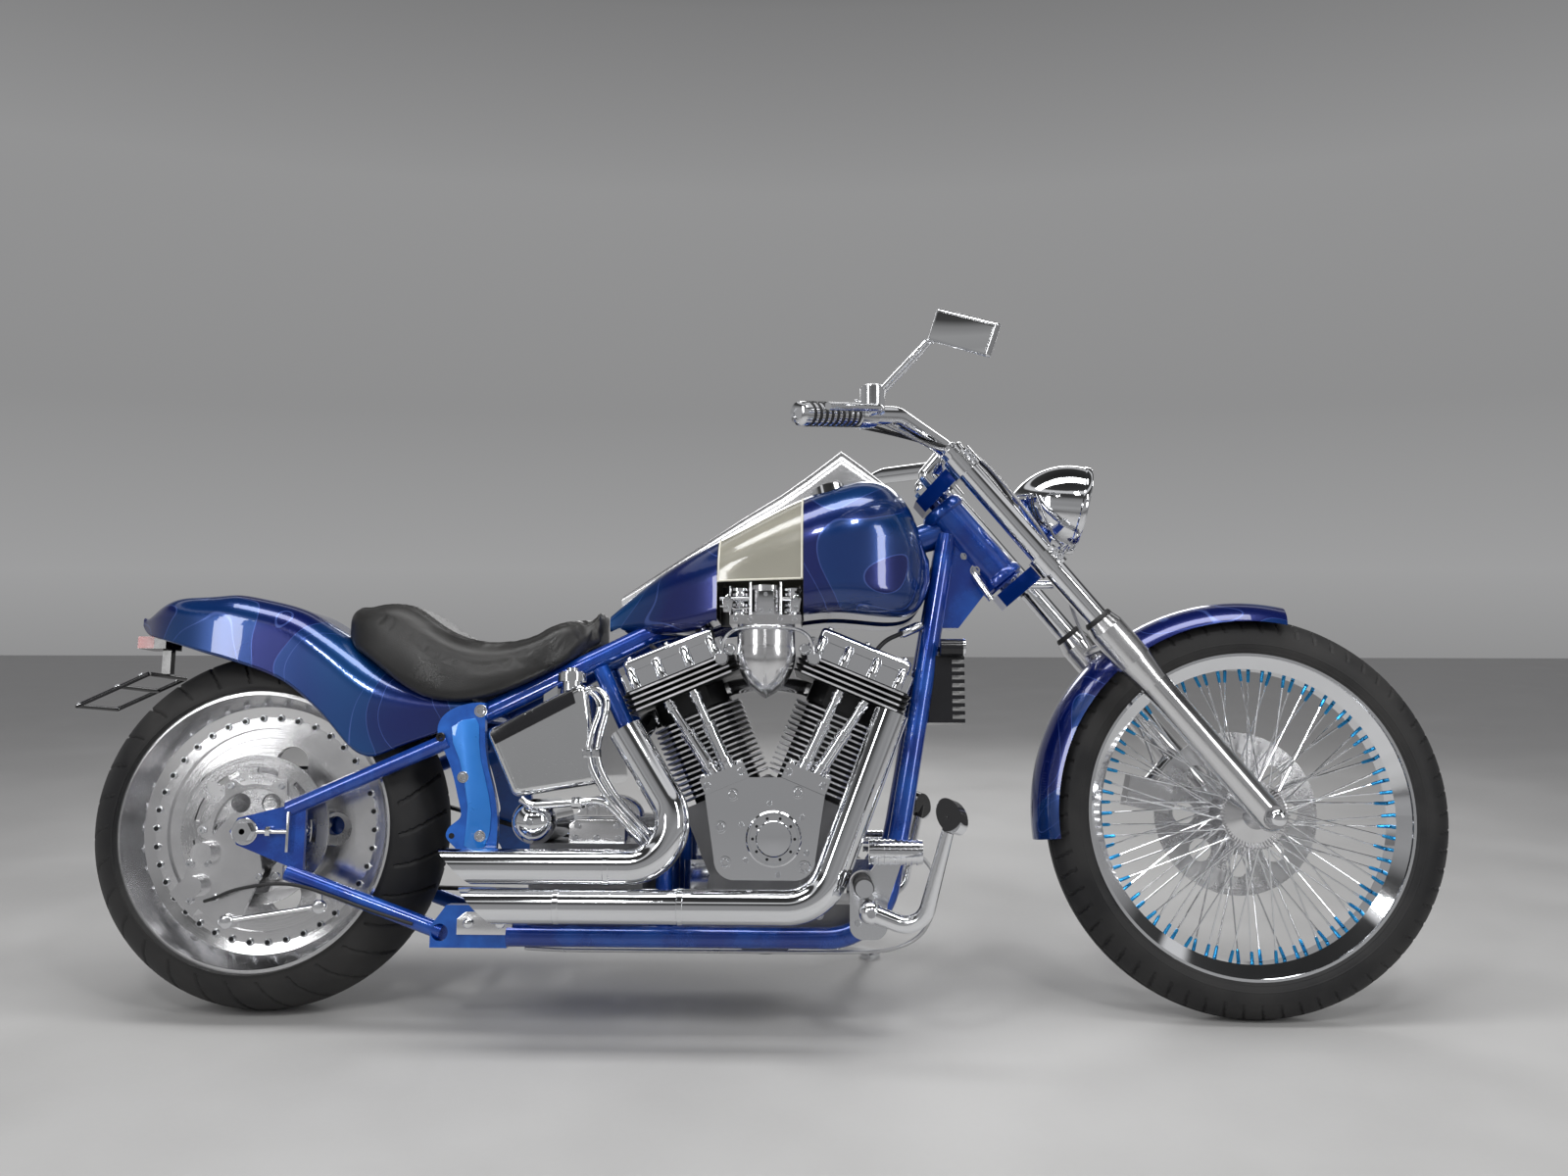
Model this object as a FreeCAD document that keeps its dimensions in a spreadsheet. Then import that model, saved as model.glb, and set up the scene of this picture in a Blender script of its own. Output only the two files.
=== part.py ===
import FreeCAD
import Part
import math
import os
import re

# A chopper motorcycle that leans to its left on the side stand, in millimetres.
# The bike's own frame is upright: X forward from the rear axle, Y to the left, Z up from the
# ground line. Every sub-part is drawn in that frame, in a wheel's or in the fork's, and its
# Placement then leans it over the floor.

SIZES = {
    # Stance
    "wheelbase": 1737.0,
    "lean_deg": 8.92,
    "rake_deg": 39.8,
    "fork_offset": 55.0,
    "middle_x": 870.0,
    "middle_y": 140.1,
    "running_gap": 0.05,
    "seat_gap": 0.3,
    "overrun": 5.0,
    # Rear wheel
    "rear_tyre_r": 316.0,
    "rear_tyre_half": 102.0,
    "rear_tyre_shoulder_r": 268.0,
    "rear_tyre_wall": 12.0,
    "rear_lip_r": 241.5,
    "rear_rim_half": 91.0,
    "rear_lip_wide": 9.0,
    "rear_rim_wall": 6.0,
    "rear_step_r": 216.0,
    "rear_step_y": 52.0,
    "rear_face_r": 198.0,
    "rear_face_y": 34.0,
    "rear_web_r": 178.0,
    "rear_web_thick": 16.0,
    "rear_hub_r": 36.0,
    "rear_hub_left": 108.0,
    "rear_window_r": 30.0,
    "rear_window_at": 122.0,
    "rear_window_count": 5,
    "rear_disc_r": 130.0,
    "rear_slot_r": 104.0,
    "rear_slot_wide": 10.0,
    "rear_slot_deg": 22.0,
    "rear_slot_count": 9,
    "rear_disc_thick": 6.0,
    "rear_disc_y": 80.0,
    "rear_star_hole_r": 17.0,
    "rear_star_hole_at": 54.0,
    "rear_star_count": 6,
    "pulley_r": 105.0,
    "pulley_y": 108.3,
    "pulley_wide": 25.0,
    "pulley_hole_r": 18.0,
    "pulley_hole_at": 68.0,
    "pulley_hole_count": 5,
    "axle_r": 10.0,
    "axle_bore_r": 5.0,
    "rear_axle_right": 136.5,
    "rear_axle_left": 166.5,
    "rear_nut_r": 17.0,
    "rear_nut_wide": 12.0,
    # Front wheel
    "front_tyre_r": 351.0,
    "front_tyre_half": 48.0,
    "front_tyre_wall": 9.0,
    "front_lip_r": 282.5,
    "front_rim_half": 41.0,
    "front_lip_wide": 6.0,
    "front_rim_wall": 5.0,
    "front_well_r": 256.0,
    "front_well_half": 20.0,
    "front_hub_r": 24.0,
    "front_hub_half": 50.0,
    "front_flange_r": 50.0,
    "front_flange_thick": 9.0,
    "front_cap_r": 57.0,
    "front_cap_wide": 14.0,
    "spoke_r": 1.7,
    "spoke_count": 80,
    "spoke_sweep_deg": 16.0,
    "front_disc_r": 146.0,
    "front_disc_hole_r": 20.0,
    "front_disc_hole_at": 93.0,
    "front_disc_count": 8,
    "front_disc_thick": 5.0,
    "front_axle_half": 172.0,
    "front_nut_r": 14.0,
    "front_nut_wide": 10.0,
    # Fork, measured along the legs from the front axle
    "leg_y": 135.0,
    "fork_tube_r": 20.5,
    "fork_tube_low": 250.0,
    "fork_tube_top": 816.0,
    "slider_r": 25.0,
    "slider_swell_r": 31.0,
    "slider_neck": 290.0,
    "slider_swell": 340.0,
    "slider_top": 428.0,
    "slider_shoulder": 18.0,
    "slider_collar_r": 26.0,
    "slider_boss_r": 19.0,
    "slider_boss_long": 30.0,
    "stem_over": 12.0,
    "yoke_low": 548.0,
    "yoke_top": 774.0,
    "yoke_thick": 27.0,
    "yoke_clamp_r": 28.0,
    "yoke_clamp_over": 4.0,
    "yoke_plate_half": 30.0,
    "stem_r": 14.0,
    "neck_r": 37.0,
    "neck_gap": 6.0,
    # Frame
    "frame_tube_r": 18.0,
    "frame_bend": 110.0,
    "bend_reach_share": 0.48,
    "rail_y": 128.0,
    "rail_z": 148.0,
    "rail_back_x": 460.3,
    "rail_front_x": 1085.0,
    "down_x": 1123.0,
    "down_y": 84.0,
    "down_z": 330.0,
    "down_top_x": 1216.0,
    "down_top_y": 16.0,
    "down_top_z": 850.0,
    "gusset_half": 24.0,
    "gusset_low_z": 680.0,
    "gusset_front_x": 1290.0,
    "gusset_front_z": 752.0,
    "backbone_r": 26.0,
    "backbone_x": 690.0,
    "backbone_z": 672.0,
    "backbone_top_x": 1205.0,
    "backbone_top_z": 858.0,
    "seat_rail_x": 392.0,
    "seat_rail_y": 94.0,
    "seat_rail_z": 518.0,
    "seat_rail_top_y": 40.0,
    "post_x": 594.0,
    "post_z": 604.0,
    "post_y": 58.0,
    "post_r": 15.0,
    "post_foot_x": 714.0,
    "post_bend_z": 352.0,
    "cross_tube_r": 12.0,
    "engine_cross_x": 760.0,
    "tray_thick": 10.0,
    # Rear castings
    "casting_thick": 14.0,
    "casting_x": 328.0,
    "casting_long": 112.0,
    "casting_z": 256.0,
    "casting_tall": 282.0,
    "foot_casting_thick": 28.0,
    "foot_casting_x": 330.0,
    "foot_casting_long": 130.0,
    "foot_casting_z": 128.0,
    "foot_casting_tall": 70.0,
    # Rear fork
    "swing_tube_r": 14.0,
    "swing_right_y": 120.0,
    "swing_left_y": 150.0,
    "swing_plate_thick": 9.0,
    "swing_plate_x": 104.0,
    "swing_plate_up": 52.0,
    "swing_plate_down": 68.0,
    "swing_plate_nose_r": 26.0,
    "swing_nose_back_share": 0.5,
    "swing_nose_side_share": 0.87,
    "swing_top_x": 344.0,
    "swing_top_z": 473.0,
    "swing_top_back_x": 72.0,
    "swing_top_back_z": 355.0,
    "swing_low_x": 346.0,
    "swing_low_z": 153.0,
    "swing_low_back_x": 76.0,
    "swing_low_back_z": 249.0,
    # Sheet metal and leather
    "rear_fender_x": -252.0,
    "rear_fender_long": 632.0,
    "rear_fender_z": 430.0,
    "rear_fender_tall": 302.0,
    "rear_fender_half": 112.7,
    "fender_wall": 4.0,
    "seat_x": 140.0,
    "seat_long": 452.0,
    "seat_z": 536.0,
    "seat_tall": 182.0,
    "seat_half": 132.0,
    "tank_x": 604.0,
    "tank_long": 576.0,
    "tank_z": 664.0,
    "tank_tall": 290.0,
    "tank_half": 168.0,
    "tank_bay_x": 806.0,
    "tank_bay_long": 150.0,
    "tank_bay_y": 40.0,
    "tunnel_half": 33.0,
    "ridge_x": 622.0,
    "ridge_long": 484.0,
    "ridge_z": 690.0,
    "ridge_tall": 320.0,
    "ridge_half": 38.0,
    "window_thick": 5.0,
    "window_z": 748.0,
    "cap_x": 1004.0,
    "cap_y": 84.0,
    "cap_z": 905.0,
    "cap_slope_share": -0.2,
    "cap_r": 34.0,
    "cap_tall": 12.0,
    # Engine
    "crank_x": 892.0,
    "crank_z": 217.0,
    "vee_deg": 22.5,
    "crankcase_r": 100.0,
    "crankcase_half": 100.0,
    "crankcase_foot_long": 300.0,
    "crankcase_foot_tall": 40.0,
    "deck": 185.0,
    "deck_half": 78.0,
    "cylinder_r": 60.0,
    "cylinder_top": 335.0,
    "head_top": 404.0,
    "fin_r": 80.0,
    "fin_thick": 3.4,
    "fin_pitch": 10.0,
    "fin_count": 14,
    "head_fin_count": 4,
    "head_fin_long": 206.0,
    "head_core": 130.0,
    "head_right": 118.0,
    "head_left": 84.0,
    "deck_right": 90.7,
    "rocker_long": 192.0,
    "rocker_tall": 56.0,
    "rocker_step": 24.0,
    "rocker_inset": 12.0,
    "rocker_round": 8.0,
    "rocker_seam": 2.0,
    "pushrod_r": 8.0,
    "pushrod_low_r": 11.0,
    "pushrod_y": 112.0,
    "pushrod_spread": 24.0,
    "pushrod_joint_share": 0.55,
    "tappet_at": 192.0,
    "tappet_lean": 10.0,
    "tappet_long": 80.0,
    "tappet_tall": 28.0,
    "tappet_wide": 42.0,
    "cam_cover_long": 170.0,
    "cam_cover_z": 243.0,
    "cam_cover_thick": 44.0,
    "cam_x": 908.0,
    "cam_z": 312.0,
    "cam_dome_r": 49.0,
    "cam_dome_thick": 12.0,
    "cam_ring_r": 68.0,
    "cam_ring_thick": 8.0,
    "cam_corner_r": 34.0,
    "intake_x": 892.0,
    "intake_y": 125.0,
    "intake_z": 575.0,
    "intake_tall": 95.0,
    "intake_r": 50.0,
    "intake_low_r": 28.0,
    "intake_bulge_share": 0.72,
    "intake_elbow_r": 13.0,
    "intake_port_y": 45.0,
    "port_at": 351.0,
    "intake_plate_long": 121.0,
    "intake_plate_thick": 16.0,
    "venturi_r": 24.0,
    "venturi_tall": 56.0,
    "venturi_bore_share": 0.8,
    # Exhaust
    "pipe_r": 28.5,
    "pipe_wall": 2.5,
    "pipe_bend": 78.0,
    "pipe_y": 212.0,
    "pipe_top_y": 184.0,
    "header_r": 17.0,
    "header_bend_share": 1.5,
    "exhaust_port_y": 45.0,
    "upper_pipe_z": 268.0,
    "upper_pipe_end_x": 362.0,
    "upper_pipe_corner_x": 800.0,
    "upper_port_x": 660.0,
    "upper_port_z": 492.0,
    "lower_pipe_z": 206.0,
    "lower_pipe_end_x": 398.0,
    "lower_pipe_corner_x": 985.0,
    "lower_port_x": 1104.0,
    "lower_port_z": 520.0,
    "pipe_mouth_deep": 90.0,
    # Drive side and gearbox
    "primary_y": 166.0,
    "primary_thick": 50.0,
    "primary_front_r": 98.0,
    "primary_rear_r": 114.0,
    "primary_rear_x": 560.0,
    "primary_rear_z": 236.0,
    "primary_neck_long": 160.0,
    "primary_lid_r": 62.0,
    "primary_lid_thick": 6.0,
    "primary_neck_tall": 84.0,
    "gearbox_x": 486.0,
    "gearbox_long": 196.0,
    "gearbox_tall": 146.0,
    "gearbox_half": 98.0,
    "gearbox_left": 90.0,
    "starter_x": 503.0,
    "starter_r": 38.0,
    "starter_y": 140.0,
    "starter_long": 150.0,
    "oil_tank_x": 419.0,
    "oil_tank_long": 197.0,
    "oil_tank_z": 378.0,
    "oil_tank_tall": 198.0,
    "oil_tank_half": 168.0,
    "oil_tank_round": 14.0,
    "oil_cap_x": 560.0,
    "oil_cap_y": 140.0,
    "oil_cap_z": 574.0,
    "oil_cap_r": 24.0,
    "oil_neck_share": 0.7,
    "oil_cap_tall": 14.0,
    "hanger_share": 0.6,
    "hanger_long": 24.0,
    "belt_thick": 6.0,
    "belt_front_r": 36.0,
    # Foot controls
    "control_x": 1034.0,
    "control_z": 205.0,
    "bracket_long": 62.0,
    "bracket_thick": 16.0,
    "bracket_tall": 110.0,
    "bracket_round": 22.0,
    "bracket_low_r": 29.0,
    "bracket_top_r": 15.0,
    "arm_r": 9.0,
    "arm_root_r": 15.0,
    "arm_ball_r": 19.0,
    "arm_root_y": 262.0,
    "arm_knee_x": 1142.0,
    "arm_knee_y": 286.0,
    "arm_knee_z": 178.0,
    "arm_bend": 80.0,
    "pad_x": 1188.0,
    "pad_z": 356.0,
    "pad_y": 318.0,
    "pad_out_share": 0.8,
    "pad_up_share": 0.35,
    "pad_r": 34.0,
    "pad_half": 21.0,
    "pad_thick": 16.0,
    "peg_r": 14.0,
    "peg_long": 110.0,
    "cylinder_x": 1066.0,
    "cylinder_z": 292.0,
    "master_r": 20.0,
    "master_long": 88.0,
    # Handlebar and what it holds
    "bar_r": 15.9,
    "bar_bend": 70.0,
    "bar_x": 1214.0,
    "bar_z": 996.0,
    "bar_y": 70.0,
    "bar_out_x": 1114.0,
    "bar_out_y": 222.0,
    "bar_out_z": 1018.0,
    "bar_end_x": 958.0,
    "bar_end_y": 402.0,
    "bar_end_z": 972.0,
    "grip_r": 19.0,
    "grip_long": 128.0,
    "grip_end": 6.0,
    "riser_r": 18.0,
    "riser_back": 42.0,
    "clamp_long": 40.0,
    "clamp_r": 22.0,
    "pot_r": 20.0,
    "pot_tall": 40.0,
    "lever_out": 62.0,
    "lever_long": 140.0,
    "lever_r": 6.0,
    "mirror_x": 1160.0,
    "mirror_y": 330.0,
    "mirror_z": 1112.0,
    "mirror_dip_deg": 25.0,
    "mirror_turn_deg": 45.0,
    "mirror_stem_r": 4.0,
    "mirror_stem_apart": 12.0,
    "mirror_long": 132.0,
    "mirror_tall": 54.0,
    "mirror_thick": 12.0,
    # Lamps and tail
    "lamp_r": 80.0,
    "lamp_long": 130.0,
    "lamp_x": 1464.0,
    "lamp_z": 898.0,
    "lamp_dip_deg": 13.0,
    "lamp_rim": 12.0,
    "lamp_wall": 5.0,
    "lamp_lens": 6.0,
    "lamp_mid_deg": 52.0,
    "lamp_mid_share": 0.6,
    "full_turn_deg": 360.0,
    "lamp_post_r": 8.0,
    "tail_x": -262.0,
    "tail_z": 640.0,
    "tail_long": 52.0,
    "tail_wide": 60.0,
    "tail_tall": 22.0,
    "strap_wide": 16.0,
    "plate_rod_r": 4.0,
    "plate_rod_y": 66.0,
    "plate_bar_share": 0.4,
    "plate_top_x": -226.0,
    "plate_top_z": 591.0,
    "plate_end_x": -344.0,
    "plate_end_z": 533.0,
    "horn_x": 1176.0,
    "horn_z": 568.0,
    "horn_long": 64.0,
    "horn_tall": 118.0,
    "horn_wide": 116.0,
    "horn_fin": 7.0,
    "horn_slot_deep": 22.0,
    "horn_slot_count": 8,
    "signal_r": 15.0,
    "signal_long": 42.0,
    "signal_x": 1196.0,
    "signal_z": 640.0,
    "signal_y": 78.0,
    # Front fender
    "front_fender_r": 377.0,
    "front_fender_half": 62.0,
    "front_fender_skirt_r": 338.0,
    "bridge_r": 8.0,
    "front_fender_from_deg": 78.0,
    "front_fender_to_deg": 187.0,
    # Calipers
    "caliper_thick": 44.0,
    "caliper_wide": 56.0,
    "caliper_long": 78.0,
    "caliper_gap": 2.0,
    "caliper_inner": 12.5,
    "caliper_back_deg": 38.0,
    "caliper_lug_r": 11.0,
    "rear_caliper_deg": 138.0,
    "rear_bracket_y": 104.5,
    "rear_bracket_thick": 8.0,
    "rear_bracket_x": -112.0,
    "rear_bracket_long": 142.0,
    "rear_bracket_foot_share": 0.6,
    "rear_bracket_z": 156.0,
    "rear_bracket_tall": 186.0,
    "piston_r": 18.0,
    "piston_out": 26.0,
    "piston_x": -84.0,
    "piston_z": 224.0,
    "piston_top_x": -71.0,
    "piston_top_z": 281.0,
    "link_r": 5.0,
    "link_z": 166.0,
    "link_x": 133.0,
    "link_end_z": 192.0,
    "link_lug": 26.0,
    # Side stand
    "stand_pivot_x": 1012.0,
    "stand_pivot_y": 140.0,
    "stand_pivot_z": 104.0,
    "stand_fold_share": 0.05,
    "stand_r": 9.0,
    "stand_foot_x": 1085.0,
    "stand_foot_y": 338.0,
    "stand_foot_r": 20.0,
    "stand_foot_thick": 8.0,
    "stand_boss_r": 15.0,
    "stand_boss_tall": 22.0,
    "stand_pin_r": 6.0,
    "stand_lug": 30.0,
}

doc = FreeCAD.newDocument("Chopper")
sheet = doc.addObject("Spreadsheet::Sheet", "Sizes")
for row, (alias, value) in enumerate(SIZES.items(), start=1):
    sheet.set(f"A{row}", alias)
    sheet.set(f"B{row}", str(value))
    sheet.setAlias(f"B{row}", alias)
doc.recompute()


def size(name):
    return float(sheet.get(name))


class Values:
    """The sheet's cells as plain numbers."""

    def __getattr__(self, name):
        return size(name)


v = Values()
sub_parts = []


def point(x, y=0, z=0):
    return FreeCAD.Vector(x, y, z)


ORIGIN = point(0)
X_AXIS = point(1)
Y_AXIS = point(0, 1)
Z_AXIS = point(0, 0, 1)

# The frames that the pieces are drawn in
LEAN = math.radians(v.lean_deg)
REAR_AXLE_Z = v.rear_tyre_r - v.rear_tyre_half + v.rear_tyre_half / math.cos(LEAN)
FRONT_AXLE_Z = v.front_tyre_r - v.front_tyre_half + v.front_tyre_half / math.cos(LEAN)
BIKE = FreeCAD.Placement(
    point(-v.middle_x, -v.middle_y, 0), FreeCAD.Rotation(X_AXIS, -v.lean_deg)
)
ALONG_Y = FreeCAD.Rotation(X_AXIS, -90)
REAR_WHEEL = BIKE * FreeCAD.Placement(point(0, 0, REAR_AXLE_Z), ALONG_Y)
FRONT_WHEEL = BIKE * FreeCAD.Placement(point(v.wheelbase, 0, FRONT_AXLE_Z), ALONG_Y)
LEG = FreeCAD.Placement(
    point(v.wheelbase, 0, FRONT_AXLE_Z), FreeCAD.Rotation(Y_AXIS, -v.rake_deg)
)
FORK = BIKE * LEG


BACK_CYLINDER = FreeCAD.Placement(
    point(v.crank_x, 0, v.crank_z), FreeCAD.Rotation(Y_AXIS, -v.vee_deg)
)
FORE_CYLINDER = FreeCAD.Placement(
    point(v.crank_x, 0, v.crank_z), FreeCAD.Rotation(Y_AXIS, v.vee_deg)
)


def bound(text):
    """An expression of the sheet's names, such as 'lamp_r - lamp_rim'."""
    return re.sub(
        r"[a-z]\w*", lambda word: "Sizes." + word[0] if word[0] in SIZES else word[0], text
    )


def bind(thing, **expressions):
    """Ties an object's properties to the sheet."""
    for name, text in expressions.items():
        thing.setExpression(name, bound(text))


def place(thing, x, y, z, axis=Z_AXIS, degrees=0):
    """Puts a primitive at a place in its frame, turned about an axis."""
    thing.Placement = FreeCAD.Placement(point(x, y, z), FreeCAD.Rotation(axis, degrees))
    return thing


def keep(thing, label, frame):
    """Names a sub-part and puts it in its frame."""
    thing.Label = label
    thing.Placement = frame
    sub_parts.append(thing)
    return thing


# Primitives and booleans


def box(length, width, height, x, y, z, axis=Z_AXIS, degrees=0):
    thing = doc.addObject("Part::Box", "Box")
    bind(thing, Length=length, Width=width, Height=height)
    return place(thing, x, y, z, axis, degrees)


def cylinder(radius, height, x, y, z, axis=Z_AXIS, degrees=0):
    thing = doc.addObject("Part::Cylinder", "Cylinder")
    bind(thing, Radius=radius, Height=height)
    return place(thing, x, y, z, axis, degrees)


def sphere_at(radius, x, y, z):
    thing = doc.addObject("Part::Sphere", "Sphere")
    bind(thing, Radius=radius)
    return place(thing, x, y, z)


def cone(low, top, height, x, y, z, axis=Z_AXIS, degrees=0):
    thing = doc.addObject("Part::Cone", "Cone")
    bind(thing, Radius1=low, Radius2=top, Height=height)
    return place(thing, x, y, z, axis, degrees)


def fused(things):
    thing = doc.addObject("Part::MultiFuse", "Fuse")
    thing.Shapes = things
    return thing


def cut(base, tool):
    thing = doc.addObject("Part::Cut", "Cut")
    thing.Base = base
    thing.Tool = tool
    return thing


def shaped(shape, name="Shape"):
    """A solid that only Part's own functions make, such as a bent tube."""
    thing = doc.addObject("Part::Feature", name)
    thing.Shape = shape
    return thing


def largest(shape):
    """The piece that is left of a shape when small cuttings fall off."""
    return shaped(max(shape.Solids, key=lambda solid: solid.Volume))


def mirrored(shape):
    """The same shape on the bike's other side."""
    return shape.mirror(ORIGIN, Y_AXIS)


# Sketched bodies


def body_of(label):
    body = doc.addObject("PartDesign::Body", "Body")
    body.Label = label
    body.AllowCompound = True
    return body


def plane_of(body, role):
    return next(item for item in body.Origin.OriginFeatures if item.Role == role)


def sketch_on(body, role, outlines, offset="0"):
    """A sketch of closed outlines, on an origin plane moved along its normal.

    A step of an outline is the end of a straight line, or a pair of a point on an arc and
    the arc's end. A circle is ('circle', x, y, radius).
    """
    sketch = body.newObject("Sketcher::SketchObject", "Sketch")
    sketch.AttachmentSupport = (plane_of(body, role), [""])
    sketch.MapMode = "FlatFace"
    sketch.setExpression(".AttachmentOffset.Base.z", bound(offset))
    for outline in outlines:
        if outline[0] == "circle":
            centre = point(outline[1], outline[2])
            sketch.addGeometry(Part.Circle(centre, Z_AXIS, outline[3]))
            continue
        at = outline[0]
        for step in outline[1:] + [outline[0]]:
            if isinstance(step[0], tuple):
                through, end = step
                sketch.addGeometry(Part.Arc(point(*at), point(*through), point(*end)))
            else:
                end = step
                if point(*end).distanceToPoint(point(*at)) > v.running_gap:
                    sketch.addGeometry(Part.LineSegment(point(*at), point(*end)))
            at = end
    return sketch


def revolved(label, outlines, frame):
    """A body turned about its frame's Z from outlines of (radius, height)."""
    body = body_of(label)
    turn = body.newObject("PartDesign::Revolution", "Revolution")
    turn.Profile = sketch_on(body, "XZ_Plane", outlines)
    turn.ReferenceAxis = (turn.Profile[0], ["V_Axis"])
    turn.Angle = 360
    return keep(body, label, frame)


def drilled(body, hole, deep, count, offset):
    """A ring of round holes along the frame's Z: a pocket and its polar pattern."""
    pocket = body.newObject("PartDesign::Pocket", "Pocket")
    pocket.Profile = sketch_on(body, "XY_Plane", [hole], offset)
    bind(pocket, Length=deep)
    ring = body.newObject("PartDesign::PolarPattern", "Ring")
    ring.Originals = [pocket]
    ring.Axis = (plane_of(body, "Z_Axis"), [""])
    ring.Angle = 360
    bind(ring, Occurrences=count)
    body.Tip = ring


def plate(label, outlines, near, thick, frame):
    """A flat piece on the right side, from a distance off the middle plane outwards."""
    body = body_of(label)
    pad = body.newObject("PartDesign::Pad", "Pad")
    pad.Profile = sketch_on(body, "XZ_Plane", outlines, near)
    bind(pad, Length=thick)
    body.Tip = pad
    return keep(body, label, frame)


def ring_section(half, low, top, low_round, top_round):
    """A rounded box across the bike: half its width, two heights and two corner radii."""
    turn = math.sqrt(0.5)
    lower = low_round * (1 - turn)
    upper = top_round * (1 - turn)
    return [
        (low_round - half, low),
        (half - low_round, low),
        ((half - lower, low + lower), (half, low + low_round)),
        (half, top - top_round),
        ((half - upper, top - upper), (half - top_round, top)),
        (top_round - half, top),
        ((upper - half, top - upper), (-half, top - top_round)),
        (-half, low + low_round),
        ((lower - half, low + lower), (low_round - half, low)),
    ]


def lofted(body, name, share, wall=0, open_below=0, cutting=False, ruled=False):
    """A smooth run of rounded boxes along X, by shares of the piece's long, tall and half."""
    low_z, tall, widest = size(name + "_z"), size(name + "_tall"), size(name + "_half")
    sketches = []
    for along, low, top, half, low_round, top_round in share:
        across = widest * half - wall
        least = min(across, (top - low) * tall / 2)
        outline = ring_section(
            across,
            low_z + low * tall - open_below,
            low_z + top * tall - wall,
            low_round * least,
            top_round * least,
        )
        sketches.append(
            sketch_on(body, "YZ_Plane", [outline], f"{name}_x + {name}_long * {along}")
        )
    kind = "PartDesign::SubtractiveLoft" if cutting else "PartDesign::AdditiveLoft"
    loft = body.newObject(kind, "Loft")
    loft.Profile = sketches[0]
    loft.Sections = sketches[1:]
    loft.Ruled = ruled
    body.Tip = loft


# Bent tubes


def bent_path(points, bend):
    """Straight runs joined by tangent arcs, none longer than its runs allow."""
    edges = []
    start = points[0]
    for before, corner, after in zip(points, points[1:], points[2:]):
        back = (before - corner).normalize()
        on = (after - corner).normalize()
        half = back.getAngle(on) / 2
        shorter = min((before - corner).Length, (after - corner).Length)
        reach = min(bend / math.tan(half), v.bend_reach_share * shorter)
        radius = reach * math.tan(half)
        middle = corner + (back + on).normalize() * (radius / math.sin(half) - radius)
        entry = corner + back * reach
        leave = corner + on * reach
        if entry.distanceToPoint(start) > v.running_gap:
            edges.append(Part.LineSegment(start, entry).toShape())
        edges.append(Part.Arc(entry, middle, leave).toShape())
        start = leave
    edges.append(Part.LineSegment(start, points[-1]).toShape())
    return Part.Wire(edges)


def tube(points, radius, bend):
    path = bent_path(points, bend)
    ring = Part.Wire(Part.makeCircle(radius, points[0], points[1] - points[0]))
    return path.makePipeShell([ring], True, False)


def rod(start, end, radius):
    return Part.makeCylinder(radius, (end - start).Length, start, end - start)


def joined(shapes):
    return shapes[0].multiFuse(shapes[1:]).removeSplitter()


# Rear wheel


def rear_wheel():
    tread, half, wall = v.rear_tyre_r, v.rear_tyre_half, v.rear_tyre_wall
    shoulder, bead = v.rear_tyre_shoulder_r, v.rear_lip_r + v.seat_gap
    side = v.rear_rim_half
    crown = tread - half
    turn = math.sqrt(0.5)
    inner = half - wall
    outline = [
        (bead, -side),
        ((shoulder - wall, -half), (crown + half * turn, -half * turn)),
        ((tread, 0), (crown + half * turn, half * turn)),
        ((shoulder - wall, half), (bead, side)),
        (bead, side - wall),
        ((crown + inner * turn, inner * turn), (tread - wall, 0)),
        ((crown + inner * turn, -inner * turn), (bead, wall - side)),
    ]
    revolved("rear_tyre", [outline], REAR_WHEEL)

    lip, rim_wall, step = v.rear_lip_r, v.rear_rim_wall, v.rear_step_r
    lip_in = side - v.rear_lip_wide
    face, face_y, web = v.rear_face_r, v.rear_face_y, v.rear_web_r
    web_back = face_y - v.rear_web_thick
    hub, bore = v.rear_hub_r, v.axle_r + v.running_gap
    rim = [
        (lip, -side),
        (lip, -lip_in),
        (step + rim_wall, -v.rear_step_y),
        (step + rim_wall, v.rear_step_y),
        (lip, lip_in),
        (lip, side),
        (lip - rim_wall, side),
        (step, v.rear_step_y - rim_wall),
        (step, -web_back),
        (hub, -web_back),
        (hub, v.rear_hub_left),
        (bore, v.rear_hub_left),
        (bore, -v.rear_disc_y),
        (hub, -v.rear_disc_y),
        (hub, -face_y),
        (web, -face_y),
        (web, -face_y - rim_wall),
        (face, -face_y - rim_wall),
        (step, -v.rear_step_y + rim_wall),
        (lip - rim_wall, -side),
    ]
    body = revolved("rear_rim", [rim], REAR_WHEEL)
    hole = ("circle", v.rear_window_at, 0, v.rear_window_r)
    drilled(body, hole, "rear_face_y + overrun", "rear_window_count", "0")


def rear_disc():
    """The right side's brake disc with its six-armed carrier, bolted to the hub's end."""
    near, far = -v.rear_disc_y, -v.rear_disc_y - v.rear_disc_thick
    outline = [
        (v.axle_r + v.rear_nut_r, near),
        (v.rear_disc_r, near),
        (v.rear_disc_r, far),
        (v.axle_r + v.rear_nut_r, far),
    ]
    body = revolved("rear_disc", [outline], REAR_WHEEL)
    hole = ("circle", v.rear_star_hole_at, 0, v.rear_star_hole_r)
    deep = "rear_disc_thick + overrun * 2"
    drilled(body, hole, deep, "rear_star_count", "overrun - rear_disc_y")
    slot = arc_slot(v.rear_slot_r, v.rear_slot_wide, v.rear_slot_deg)
    drilled(body, slot, deep, "rear_slot_count", "overrun - rear_disc_y")


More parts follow.
